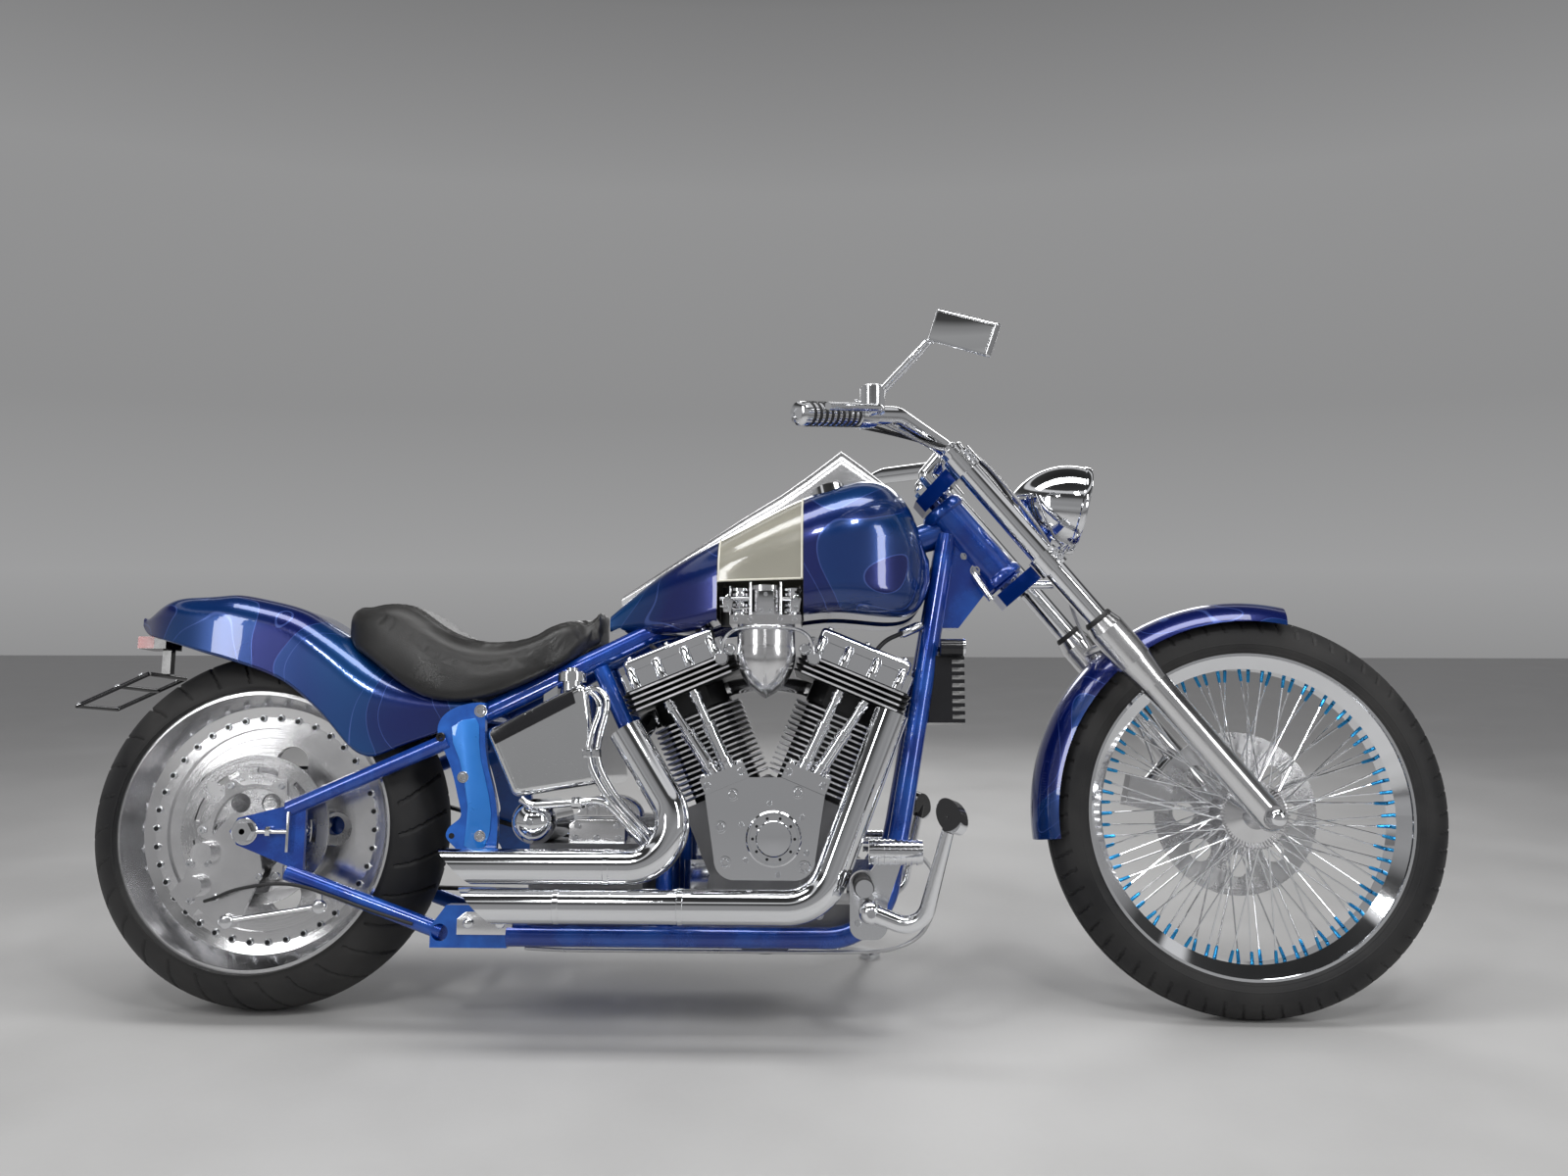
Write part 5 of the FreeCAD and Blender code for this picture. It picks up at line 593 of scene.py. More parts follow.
def spun_mesh(outline, around=16, start=(0, 0, 0), axis=UP):
    """An outline of radius and height spun round an axis from a point, and closed at its base."""
    if outline[0][0] and outline[-1][0]:
        outline = [*outline, outline[0]]
    elif outline[0][0]:
        outline = [(0, outline[0][1]), *outline]
    up = Vector(axis).normalized()
    across = up.orthogonal().normalized()
    beside = up.cross(across)
    shape = bmesh.new()
    loops = []
    for radius, height in outline:
        centre = Vector(start) + up * height
        if radius == 0:
            loops.append([shape.verts.new(centre)])
        else:
            loops.append(round_loop(shape, centre, across, beside, radius, around))
    for low, high in zip(loops, loops[1:]):
        for step in range(around):
            after = (step + 1) % around
            if len(low) == 1:
                shape.faces.new((low[0], high[step], high[after]))
            elif len(high) == 1:
                shape.faces.new((low[step], high[0], low[after]))
            else:
                shape.faces.new((low[step], high[step], high[after], low[after]))
    bmesh.ops.remove_doubles(shape, verts=shape.verts, dist=1e-4)
    bmesh.ops.recalc_face_normals(shape, faces=shape.faces)
    return mesh_of(shape, "spun")


def cap_screw(radius, tall, start=(0, 0, 0), axis=UP):
    """A round-edged screw head with a socket in it."""
    socket = radius * 0.52
    head = [(0, -1), (radius, -1), (radius, tall * 0.8), (radius * 0.88, tall), (socket, tall)]
    return spun_mesh(head + [(socket, tall * 0.3), (0, tall * 0.3)], 12, start, axis)


rim_y = touch(["rear_rim"], (196, -400, REAR_AXLE_Z), LEFT).y
rim_screw = cap_screw(6.2, 4.0, (196, rim_y, 0), RIGHT)
ring_of("rear_rim_screws", rim_screw, 38, SCREW_STEEL, "rear_wheel", REAR_WHEEL)
rim_socket = spun_mesh([(0, 0), (4.4, 0), (4.4, 0.6), (0, 0.6)], 12, (196, rim_y - 3.6, 0), RIGHT)
ring_of("rear_rim_sockets", rim_socket, 38, BLACK, "rear_wheel", REAR_WHEEL)


def lobed_ring(inner, outer, lobe, lobes, near, far, around=120):
    """A flat ring whose rim swells into lobes."""
    shape = bmesh.new()
    loops = []
    for angle in circle(around):
        rim = outer + lobe * max(0.0, math.cos(lobes * angle)) ** 2
        corners = ((inner, near), (rim, near), (rim, far), (inner, far))
        spots = [(radius * math.cos(angle), side, radius * math.sin(angle)) for radius, side in corners]
        loops.append([shape.verts.new(spot) for spot in spots])
    join_loops(shape, loops, 4)
    return mesh_of(shape, "lobed ring")


POLISHED = plain(
    "polished aluminium", "polished", (0.76, 0.76, 0.77), (10, 0.1, 0.26), "fork_sliders",
    "front_hub", "intake", "front_caliper", "rear_caliper", "fender_bridge", Metallic=1.0,
)
piece("rear_disc_ring", lobed_ring(72, 80, 20, 6, -85.5, -90), POLISHED, "rear_wheel", REAR_WHEEL)
disc_bolt = cap_screw(6.5, 5, (89, -90, 0), RIGHT)
ring_of("rear_disc_bolts", disc_bolt, 6, SCREW_STEEL, "rear_wheel", REAR_WHEEL)
pulley_bolt = cap_screw(6.5, 5, (46, 133.3, 0), LEFT)
ring_of("rear_pulley_bolts", pulley_bolt, 5, SCREW_STEEL, "rear_wheel", REAR_WHEEL)

# Frame and rear fork: steel tubes and cast ends in glossy royal blue over a fine flake, with the
# same paint on both yokes' plates.

FRAME_PAINT = Finish(
    "royal blue frame paint", "blue_frame", (0.003, 0.05, 0.36), Metallic=0.4, Coat_Weight=1.0,
    Coat_Roughness=0.03,
)
frame_clouds = FRAME_PAINT.clouds(14, 0.2, 0.34, 900.0, 0.02)
FRAME_PAINT.mottle(frame_clouds, (0.002, 0.035, 0.28), (0.005, 0.09, 0.46))
FRAME_PAINT.on("frame", "rear_fork")


def at_the_marks(tree, start, copies):
    read = {}
    for name, kind in (("axis", "FLOAT_VECTOR"), ("size", "FLOAT")):
        read[name] = tree.nodes.new("GeometryNodeInputNamedAttribute")
        read[name].data_type = kind
        read[name].inputs["Name"].default_value = name
    turn = tree.nodes.new("FunctionNodeAlignRotationToVector")
    turn.axis = "Z"
    tree.links.new(start.outputs["Geometry"], copies.inputs["Points"])
    tree.links.new(read["axis"].outputs["Attribute"], turn.inputs["Vector"])
    tree.links.new(turn.outputs[0], copies.inputs["Rotation"])
    tree.links.new(read["size"].outputs["Attribute"], copies.inputs["Scale"])


MARKS = copies_tree("At the marks", [], at_the_marks)


def fixed_at(name, one, marks, finish=SCREW_STEEL, body="chassis", turn=BIKE):
    """Copies of one mesh, drawn along Z, at marks of a point, an axis and a size."""
    holder = bpy.data.meshes.new(name)
    holder.from_pydata([tuple(at) for at, axis, size in marks], [], [])
    axes = holder.attributes.new("axis", "FLOAT_VECTOR", "POINT")
    axes.data.foreach_set("vector", [part for at, axis, size in marks for part in axis])
    sizes = holder.attributes.new("size", "FLOAT", "POINT")
    sizes.data.foreach_set("value", [size for at, axis, size in marks])
    return copied(name, one, holder, MARKS, {}, finish, body, turn)


def joined_mesh(parts):
    """Several small meshes as one."""
    shape = bmesh.new()
    for part in parts:
        shape.from_mesh(part)
    return mesh_of(shape, "joined")


def washer_screw():
    """A socket screw of 10 mm radius on its washer."""
    washer = spun_mesh([(0, -1), (14, -1), (14, 1), (13.4, 1.6), (0, 1.6)], 20)
    return joined_mesh([washer, cap_screw(10, 7)])


def marks_on(names, rows, side=-1):
    """Marks on the outermost of some nodes, seen square from a side, from rows of x, z and size."""
    marks = []
    for x, z, size in rows:
        spot = touch(names, (x, side * 600, z), (0, -side, 0))
        if spot:
            marks.append((spot, (0, side, 0), size))
    return marks


frame_marks = marks_on(["frame", "fuel_tank"], [(1012, 190, 1.0), (1267, 785, 0.8), (1246, 812, 0.5)])
frame_marks += marks_on(["frame"], [(1012, 190, 1.0), (1246, 812, 0.5)], 1)
fixed_at("frame_bolts", washer_screw(), frame_marks)


def bar_mesh(points, radii, around=12):
    """A round bar through points, with one radius or one at each."""
    shape = bmesh.new()
    spots = [Vector(at) for at in points]
    loops = []
    across = None
    for number, spot in enumerate(spots):
        before = spots[max(0, number - 1)]
        after = spots[min(len(spots) - 1, number + 1)]
        along = (after - before).normalized()
        if across is None:
            across = along.orthogonal().normalized()
        across = (across - along * across.dot(along)).normalized()
        radius = radii[number] if isinstance(radii, (list, tuple)) else radii
        loops.append(round_loop(shape, spot, across, along.cross(across), radius, around))
    join_loops(shape, loops, around, closed=False)
    shape.faces.new(list(reversed(loops[0])))
    shape.faces.new(loops[-1])
    bmesh.ops.recalc_face_normals(shape, faces=shape.faces)
    return mesh_of(shape, "bar")


stop = bar_mesh([(1262, -33, 776), (1268, -38, 766), (1292, -46, 728)], [7, 7, 6])
piece("steering_stop", stop, SCREW_STEEL)
neck_cups = []
for low in (745, 583):
    cup = [(36, low), (43, low + 5), (43, low + 15), (38, low + 22), (30, low + 22)]
    neck_cups.append(spun_mesh(cup, 32, (-55, 0, 0)))
piece("neck_cups", joined_mesh(neck_cups), FRAME_PAINT, "chassis", FORK)

# Rear axle and its adjusters: a chromed hexagon nut on a washer at each side, and a draw bolt that
# runs through a strap at the end of the fork's slot.


def slab_mesh(outline, near, far, round_off=0.8):
    """A flat outline in the side view with soft edges, from one distance across to another."""
    shape = bmesh.new()
    face = shape.faces.new([shape.verts.new((x, near, z)) for x, z in outline])
    grown = bmesh.ops.extrude_face_region(shape, geom=[face])
    moved_verts = [item for item in grown["geom"] if isinstance(item, bmesh.types.BMVert)]
    bmesh.ops.translate(shape, verts=moved_verts, vec=(0, far - near, 0))
    bmesh.ops.recalc_face_normals(shape, faces=shape.faces)
    bmesh.ops.bevel(
        shape, geom=list(shape.edges), offset=round_off, segments=2, profile=0.6, affect="EDGES"
    )
    return mesh_of(shape, "slab")


CHROME = plain("chrome", "chrome", (0.84, 0.85, 0.87), (8, 0.02, 0.09), "rear_axle", Metallic=1.0)
FORE = (1, 0, 0)
SIDES = (("right", -1), ("left", 1))
for (name, side), out in zip(SIDES, (124.8, 154.8)):
    face = side * out
    ring = [(10.5, 0), (23, 0), (23, 1.6), (22, 2.4), (10.5, 2.4)]
    washer = spun_mesh(ring, 32, (0, face, 0), (0, side, 0))
    draw = bar_mesh([(24, face + side * 5, 0), (79, face + side * 5, 0)], 4.2)
    head = spun_mesh([(0, 0), (9, 0), (9, 8), (0, 8)], 6, (40, face + side * 5, 0), FORE)
    adjuster = joined_mesh([washer, draw, head])
    piece(f"axle_adjuster_{name}", adjuster, SCREW_STEEL, "chassis", REAR_WHEEL)
    strap = slab_mesh([(76, -34), (81, -34), (81, 34), (76, 34)], face - side * 6, face + side * 11)
    piece(f"axle_strap_{name}", strap, SCREW_STEEL, "chassis", REAR_WHEEL)

# Rear castings: two curved arms and two feet in a brighter blue, each arm with a raised panel, two
# socket screws and a lug hole. The right foot carries a polished plate with two domed bolts.

CASTING_PAINT = Finish(
    "bright blue casting paint", "blue_frame", (0.01, 0.1, 0.6), Metallic=0.3, Coat_Weight=1.0,
    Coat_Roughness=0.05,
)
casting_clouds = CASTING_PAINT.clouds(30, 0.25, 0.4, 500.0, 0.05)
CASTING_PAINT.mottle(casting_clouds, (0.004, 0.09, 0.45), (0.008, 0.14, 0.6))
CASTING_PAINT.on("rear_castings")
PANEL_BLUE = plain(
    "pale blue panel", "blue_frame", (0.015, 0.2, 0.66), (40, 0.25, 0.42, 700.0, 0.08),
    Metallic=0.25, Coat_Weight=1.0,
)
PANEL = [
    (351, 496), (368, 508), (392, 512), (399, 500), (400, 470), (404, 440), (412, 412), (420, 380),
    (425, 350), (424, 318), (416, 294), (396, 286), (380, 296), (383, 330), (384, 362), (377, 400),
    (367, 440), (354, 470),
]
CASTING_SCREWS = ((374, 411, 0.7, 2), (407, 312, 0.7, 2), (400, 524, 0.8, 0))
for (name, side), face in zip(SIDES, (127, 157)):
    panel = slab_mesh(PANEL, side * (face - 0.5), side * (face + 2), 1.0)
    piece(f"casting_panel_{name}", panel, PANEL_BLUE)
    marks = [((x, side * (face + up), z), (0, side, 0), size) for x, z, size, up in CASTING_SCREWS]
    fixed_at(f"casting_screws_{name}", washer_screw(), marks)
    lug = spun_mesh([(0, 0), (5, 0), (5, 0.4), (0, 0.4)], 16, (358, side * face, 312), (0, side, 0))
    piece(f"casting_lug_hole_{name}", lug, BLACK)
FOOT_PLATE = [(376, 150), (470, 150), (470, 184), (452, 188), (392, 188), (376, 176)]
piece("foot_plate", slab_mesh(FOOT_PLATE, -133.8, -139, 1.2), POLISHED)
dome_bolt = spun_mesh([(0, -1), (9, -1), (9, 2), (8, 4.6), (5, 6.4), (0, 7)], 20)
fixed_at("foot_plate_bolts", dome_bolt, [((x, -139, 169), RIGHT, 1.0) for x in (396, 450)], CHROME)
by_the_fender = ["rear_castings", "rear_fork", "rear_fender"]
fender_marks = [mark for side in (-1, 1) for mark in marks_on(by_the_fender, [(334, 479, 1.0)], side)]
fixed_at("fender_screws", cap_screw(8, 5), fender_marks, BLACK)

# Rear caliper: an angular machined plate carries a two-piston caliper on its screws, with a dark
# link to the fork and a rubber hose clipped along the lower tube.

RUBBER = plain(
    "black rubber", "rubber", (0.02, 0.02, 0.021), (30, 0.4, 0.65, 500.0, 0.08),
    Specular_IOR_Level=0.4,
)
CALIPER_PLATE_SCREWS = [
    (-96, 262, 1.0), (-66, 262, 0.8), (-118, 232, 1.0), (-92, 200, 0.9), (-58, 318, 0.9),
    (-50, 205, 0.9), (-28, 162, 1.2), (24, 240, 0.9),
]
plate_marks = marks_on(["rear_caliper"], CALIPER_PLATE_SCREWS)
fixed_at("rear_caliper_screws", cap_screw(7, 5), plate_marks)
link_end = spun_mesh([(0, -1), (11, -1), (12, 3), (12, 8), (10, 10), (6, 11), (0, 11)], 16)
link_marks = [((-26, -112, 166), RIGHT, 1.0), ((133, -112, 192), RIGHT, 1.0)]
fixed_at("caliper_link_ends", link_end, link_marks)


def hose_mesh(points, radius, fineness=6):
    """A round hose along one smooth curve that its points draw."""
    curve = bpy.data.curves.new("hose", "CURVE")
    curve.dimensions = "3D"
    curve.bevel_depth = radius
    curve.bevel_resolution = 3
    curve.resolution_u = fineness
    curve.use_fill_caps = True
    line = curve.splines.new("NURBS")
    line.points.add(len(points) - 1)
    for spot, at in zip(line.points, points):
        spot.co = (*at, 1)
    line.order_u = 3
    line.use_endpoint_u = True
    thing = bpy.data.objects.new("hose", curve)
    scene.collection.objects.link(thing)
    mesh = baked(thing)
    bpy.data.objects.remove(thing)
    return mesh


REAR_HOSE = [
    (-62, -124, 200), (-40, -134, 206), (-10, -138, 220), (30, -138, 228), (70, -137, 232),
    (110, -136, 228), (160, -136, 212), (240, -136, 184), (300, -134, 166),
]
piece("rear_brake_hose", hose_mesh(REAR_HOSE, 3.0), RUBBER)

# Front wheel: a narrow block-tread tyre on a chromed rim, laced with eighty butted steel spokes that
# end in blue anodised nipples, round a small polished hub with a knurled cap.


def front_grooves(angle, side):
    """Blocks cut apart by slanting grooves, with a plain strip down the middle."""
    pitch = 2 * math.pi / 64
    reach = abs(side) / 48
    if abs(reach - 0.3) < 0.035:
        return 1.0
    if reach < 0.3 or reach > 0.93:
        return 0.0
    offset = 0.0 if side > 0 else pitch / 2
    return groove(angle + offset + 0.05 * reach, pitch, 340, 2.4)


front_outline = tyre_outline(282.8, 41, 303, 47.8, 9, 303, 44)
front_tread = tyre_mesh("front tyre", front_outline, 840, front_grooves, 4)
front_tyre = piece("front_tyre_road", front_tread, TYRE_RUBBER, "front_wheel", FRONT_WHEEL)
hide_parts("front_tyre")
CHROME.on("front_rim", "front_axle")
SPOKE_STEEL = plain("spoke steel", "steel", (0.82, 0.83, 0.85), (40, 0.1, 0.22), Metallic=1.0)
NIPPLE_BLUE = plain("anodised blue", "steel", (0.03, 0.3, 0.62), (60, 0.2, 0.35), Metallic=0.85)
SPOKES = 80
SPOKE_SWEEP = math.radians(18)
HUB_RADIUS, RIM_RADIUS = 50.9, 255.7


def on_front_wheel(name, one, count, finish=SCREW_STEEL):
    """Copies spread evenly round the front wheel's axle."""
    return ring_of(name, one, count, finish, "front_wheel", FRONT_WHEEL)


for lace in range(4):
    side = 1 if lace % 2 else -1
    fan = 1 if lace > 1 else -1
    lay = 2.8 * fan
    near_turn = 2 * math.pi * lace / SPOKES
    far_turn = near_turn + SPOKE_SWEEP * fan
    start, end = (
        Vector((radius * math.cos(turn), side * (out + lay), -radius * math.sin(turn)))
        for radius, out, turn in ((HUB_RADIUS, 45.5, near_turn), (RIM_RADIUS, 8.3, far_turn))
    )
    name = ("right", "left")[side > 0] + ("_back", "_fore")[fan > 0]
    steps = [start.lerp(end, share) for share in (0.0, 0.06, 0.09, 0.9, 1.0)]
    spoke = bar_mesh(steps, [2.1, 2.1, 1.6, 1.6, 1.8], 8)
    spokes = on_front_wheel(f"spokes_{name}", spoke, SPOKES // 4, SPOKE_STEEL)
    steps = [end.lerp(start, share) for share in (0.1, 0.085, 0.02, 0.0)]
    nipple = bar_mesh(steps, [2.2, 2.9, 3.2, 3.4], 8)
    on_front_wheel(f"nipples_{name}", nipple, SPOKES // 4, NIPPLE_BLUE)
    if lace == 0:
        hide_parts("front_spokes")
on_front_wheel("front_hub_knurl", bar_mesh([(57, -52, 0), (57, -62, 0)], 1.5, 6), 60, POLISHED)
on_front_wheel("front_disc_bolts", cap_screw(6, 4.5, (66, 55, 0), LEFT), 6)
FRONT_DISC = plain(
    "front disc steel", "steel", (0.55, 0.55, 0.56), (12, 0.18, 0.34), "front_disc", Metallic=1.0
)
FRONT_DISC.rings(FRONT_WHEEL, 2200.0, 0.25)

# Fork: chromed tubes in polished sliders, held by two yokes whose plates are painted blue and whose
# clamp rings are chromed. Rubber seals close the sliders and capped screws pinch the clamps.

CHROME.on("fork_tubes")
YOKE = plain(
    "yoke paint and chrome", "blue_frame", (0.006, 0.03, 0.4), (14, 0.06, 0.16), "lower_yoke",
    "upper_yoke", Coat_Weight=1.0, Coat_Roughness=0.03,
)
yoke_x, yoke_y = YOKE.split(FORK)[:2]
beside = YOKE.math("SUBTRACT", YOKE.math("ABSOLUTE", yoke_y), 0.135)
squares = [YOKE.math("MULTIPLY", part, part) for part in (yoke_x, beside)]
clamped = YOKE.math("LESS_THAN", YOKE.math("SQRT", YOKE.math("ADD", *squares)), 0.0285)
YOKE.colour(YOKE.mix(clamped, (0.003, 0.045, 0.32), (0.84, 0.85, 0.87)))
YOKE.feed(YOKE.spread(clamped, 0.0, 1.0, 0.4, 1.0), YOKE.shader.inputs["Metallic"])
SEAL = [(20.7, 0), (25.5, 0), (25.5, 5), (23, 9), (20.7, 9)]
FORK_CAP = [(0, 0), (22, 0), (22, 3), (20, 5), (14, 6), (14, 11), (12, 12), (0, 12)]
for name, side in SIDES:
    seal = spun_mesh(SEAL, 32, (0, side * 135, 428))
    piece(f"slider_seal_{name}", seal, RUBBER, "steering", FORK)
    cap = spun_mesh(FORK_CAP, 32, (0, side * 135, 815.5))
    piece(f"fork_cap_{name}", cap, CHROME, "steering", FORK)
marks = [
    ((14, side * 160, height), (0.45, side * 0.9, 0), 1.0)
    for side in (-1, 1) for height in (555, 568, 781, 794)
]
fixed_at("yoke_screws", cap_screw(6, 6), marks, SCREW_STEEL, "steering", FORK)
stem_nut = joined_mesh([
    spun_mesh([(0, 0), (24, 0), (24, 3), (0, 3)], 32, (-55, 0, 801)),
    spun_mesh([(0, 0), (19, 0), (19, 9), (17, 11), (0, 11)], 6, (-55, 0, 804)),
    spun_mesh([(12, 0), (11, 4), (7, 7), (0, 8)], 20, (-55, 0, 815)),
])
piece("stem_nut", stem_nut, CHROME, "steering", FORK)
axle_cap = spun_mesh([(0, -1), (13.5, -1), (13.5, 3), (11, 6), (6, 8), (0, 8.5)], 24)
marks = [((0, side * 172, 0), (0, side, 0), 1.0) for side in (-1, 1)]
fixed_at("front_axle_caps", axle_cap, marks, CHROME, "steering", FORK)
CALIPER_SCREWS = [(1572, 376, 1.0), (1600, 408, 1.0), (1634, 424, 1.0), (1560, 396, 0.8)]
marks = marks_on(["front_caliper"], CALIPER_SCREWS, 1)
fixed_at("front_caliper_bolts", cap_screw(7, 6), marks, SCREW_STEEL, "steering")

# Painted sheet metal: tank and both fenders in deep candy blue over fine flake, with cyan pearl and
# thin pale scroll lines under the lacquer. Inside the tank's cut-out the metal is left black.

CANDY = Finish(
    "candy blue", "blue_paint", (0.001, 0.01, 0.12), Metallic=0.6, IOR=1.5, Roughness=0.24,
    Coat_Weight=1.0, Coat_Roughness=0.015,
)
swirl = CANDY.node(
    "ShaderNodeTexNoise", Vector=CANDY.place, Scale=3.6, Detail=0.0, Distortion=1.3
).outputs["Fac"]
scrolls = None
for level in (0.4, 0.5, 0.6):
    gap = CANDY.math("ABSOLUTE", CANDY.math("SUBTRACT", swirl, level))
    line = CANDY.spread(gap, 0.0012, 0.0034, 1.0, 0.0)
    scrolls = line if scrolls is None else CANDY.math("MAXIMUM", scrolls, line)
pearl = CANDY.node("ShaderNodeTexNoise", Vector=CANDY.place, Scale=2.3).outputs["Fac"]
flake = CANDY.node("ShaderNodeTexVoronoi", Vector=CANDY.place, Scale=900).outputs["Distance"]
tint = (0.001, 0.009, 0.12)
for share, other in (
    (CANDY.spread(pearl, 0.5, 0.7, 0.0, 0.7), (0.001, 0.1, 0.27)),
    (CANDY.spread(swirl, 0.497, 0.503, 0.0, 0.2), (0.003, 0.12, 0.36)),
    (CANDY.spread(flake, 0.0, 0.25, 0.25, 0.0), (0.03, 0.14, 0.6)),
    (CANDY.math("MULTIPLY", scrolls, 0.4), (0.12, 0.2, 0.6)),
):
    tint = CANDY.mix(share, tint, other)
tank_x, tank_y = CANDY.split(BIKE)[:2]
bay = CANDY.both(
    CANDY.math("GREATER_THAN", tank_x, 0.8054),
    CANDY.math("LESS_THAN", tank_x, 0.9566),
    CANDY.math("LESS_THAN", tank_y, -0.0395),
)
CANDY.colour(CANDY.mix(bay, tint, (0.01, 0.01, 0.011)))
CANDY.feed(CANDY.spread(bay, 0.0, 1.0, 0.5, 0.0), CANDY.shader.inputs["Metallic"])
CANDY.on("rear_fender", "fuel_tank", "front_fender")

# Tank dress: a brushed spine up the middle, a turned filler cap with a dark ring, and a clear
# moulded cover over the cut-out whose pale beige is painted reflection of the room, with a lip along
# its edges painted pale as a highlight.

plain(
    "brushed spine", "steel", (0.66, 0.66, 0.67), (5, 0.2, 0.36, 700.0, 0.04), "tank_ridge",
    Metallic=1.0,
)
CHROME.on("fuel_cap")
CAP_UP = Vector((-0.2, 0.4, 1)).normalized()
marks = [(Vector((1004, -84, 905)) + CAP_UP * 12, CAP_UP, 1.0)]
boss = spun_mesh([(0, 0), (15, 0), (15, 2.4), (12, 3.6), (0, 3.6)], 32)
fixed_at("fuel_cap_boss", boss, marks, CHROME)
cap_ring = spun_mesh([(26, -0.4), (29, -0.4), (29, 1.0), (26, 1.0), (26, -0.4)], 40)
fixed_at("fuel_cap_ring", cap_ring, marks, BLACK)
# The cover's pale beige base colour is painted reflection: the pale room's colour put into the cover's own
# colour.
plain(
    "clear cover in painted reflection", "clear", (0.66, 0.64, 0.54), (9, 0.08, 0.26, 60.0, 0.03), "tank_window",
    Transmission_Weight=0.6, IOR=1.5, Coat_Weight=1.0,
)
# The lip's shape is a real rolled edge, but its pale colour is a painted highlight: the bright line of
# reflected light along the cover's edges.
LIP_GLINT_PAINT = plain("lip in painted highlight", "clear", (0.72, 0.7, 0.6), (20, 0.2, 0.4), Specular_IOR_Level=0.5)
edges = [[(x, 749.8) for x in range(808, 955, 6)]]
edges += [[(x, z) for z in range(750, 930, 6)] for x in (808.4, 953.6)]
lip_bars = []
for edge in edges:
    spots = [touch(["tank_window"], (x, -400, z), LEFT) for x, z in edge]
    spots = [spot for spot in spots if spot]
    if len(spots) > 2:
        lip_bars.append(bar_mesh(spots, 1.8, 8))
piece("window_lip", joined_mesh(lip_bars), LIP_GLINT_PAINT)

# Throttle under the cover: a turned body with a stack of slides at each side, rods, a cross shaft and
# rubber boots, all standing on the manifold's plate, which small screws hold.

slide = [(0, 0)]
for low in range(0, 54, 9):
    slide += [(9, low), (15, low), (15, low + 4.5), (9, low + 5)]
marks = [((x, -132, 686), UP, 1.0) for x in (846, 938)]
fixed_at("throttle_slides", spun_mesh(slide + [(0, 52)], 20), marks, CHROME)
collar = spun_mesh([(24.3, 0), (30, 0), (30, 7), (27, 9), (24.3, 9), (24.3, 0)], 32)
marks = [((892, -125, height), UP, 1.0) for height in (687, 733)]
fixed_at("throttle_collars", collar, marks, POLISHED)
throttle_rods = [
    bar_mesh([(x, y, 686), (x, y, 744)], 2.6, 10)
    for x, y in ((866, -160), (918, -160), (828, -110), (950, -112))
]
throttle_rods += [
    bar_mesh([(813, -150, 716), (868, -152, 716)], 3.2, 10),
    bar_mesh([(916, -152, 716), (952, -150, 716)], 3.2, 10),
    bar_mesh([(814, -152, 704), (842, -158, 698), (866, -160, 700)], 2.4, 8),
]
throttle_plates = [
    slab_mesh([(x, 692), (x + 13, 692), (x + 16, 712), (x + 8, 724), (x - 2, 712)], -158, -162)
    for x in (820, 936)
]
throttle_plates.append(slab_mesh([(876, 688), (908, 688), (904, 731), (880, 731)], -151, -155))
piece("throttle_rods", joined_mesh(throttle_rods + throttle_plates), CHROME)
marks = [((x, -162, z), RIGHT, 1.0) for x, z in ((825, 699), (944, 699), (826, 714), (942, 714))]
marks += [((x, -155, z), RIGHT, 0.8) for x, z in ((884, 696), (900, 696), (892, 724))]
marks += [((x, -175, 678), RIGHT, 1.0) for x in (842, 867, 917, 942)]
marks += [((x, y, 686), UP, 1.3) for x in (842, 942) for y in (-165, -85)]
fixed_at("throttle_screws", cap_screw(4, 3), marks)
boots = [bar_mesh([(x, -84, 676), (x, -84, 744)], [14, 12], 20) for x in (824, 940)]
piece("throttle_boots", joined_mesh(boots), RUBBER)

# Seat: foam on a pressed base under black leather drawn tight. It swells between its edges, a sewn
# seam runs along each shoulder, and the part between the seams is gathered in fine pleats.

LEATHER = Finish("black leather", "leather", (0.017, 0.0165, 0.016), Specular_IOR_Level=0.5)
leather_clouds = LEATHER.clouds(9, 0.26, 0.44, 420.0)
LEATHER.mottle(leather_clouds, (0.012, 0.0118, 0.0115), (0.026, 0.025, 0.024))
creases = LEATHER.node("ShaderNodeTexVoronoi", Vector=LEATHER.place, Scale=330)
creases.feature = "DISTANCE_TO_EDGE"
LEATHER.bump(LEATHER.spread(creases.outputs["Distance"], 0.0, 0.12, 0.0, 1.0), 0.22, 0.0006)
SEAT_HALF = [
    (140, 59), (176, 95), (221, 108), (258, 116), (312, 127), (357, 132), (402, 132), (484, 121),
    (547, 87), (592, 50),
]
SEAM_SHARE = 0.66
PLEAT_PITCH = 13.0
PLEAT_RISE, SEAM_DEPTH, WELT_RISE = 1.5, 2.4, 1.5
COVER_STEPS = 20
MOST_SWELL = 0.006


def seam_y(x):
    """How far the seam is from the middle, at a place along the seat."""
    for (x0, half0), (x1, half1) in zip(SEAT_HALF, SEAT_HALF[1:]):
        if x <= x1:
            share = max(0.0, (x - x0) / (x1 - x0))
            return SEAM_SHARE * (half0 + (half1 - half0) * share)
    return SEAM_SHARE * SEAT_HALF[-1][1]


def apply(thing, modifier):
    """Keeps what a modifier gives as the thing's own mesh."""
    thing.data = baked(thing)
    thing.modifiers.remove(modifier)


def held(value):
    """A value held between none and all."""
    return min(1.0, max(0.0, value))


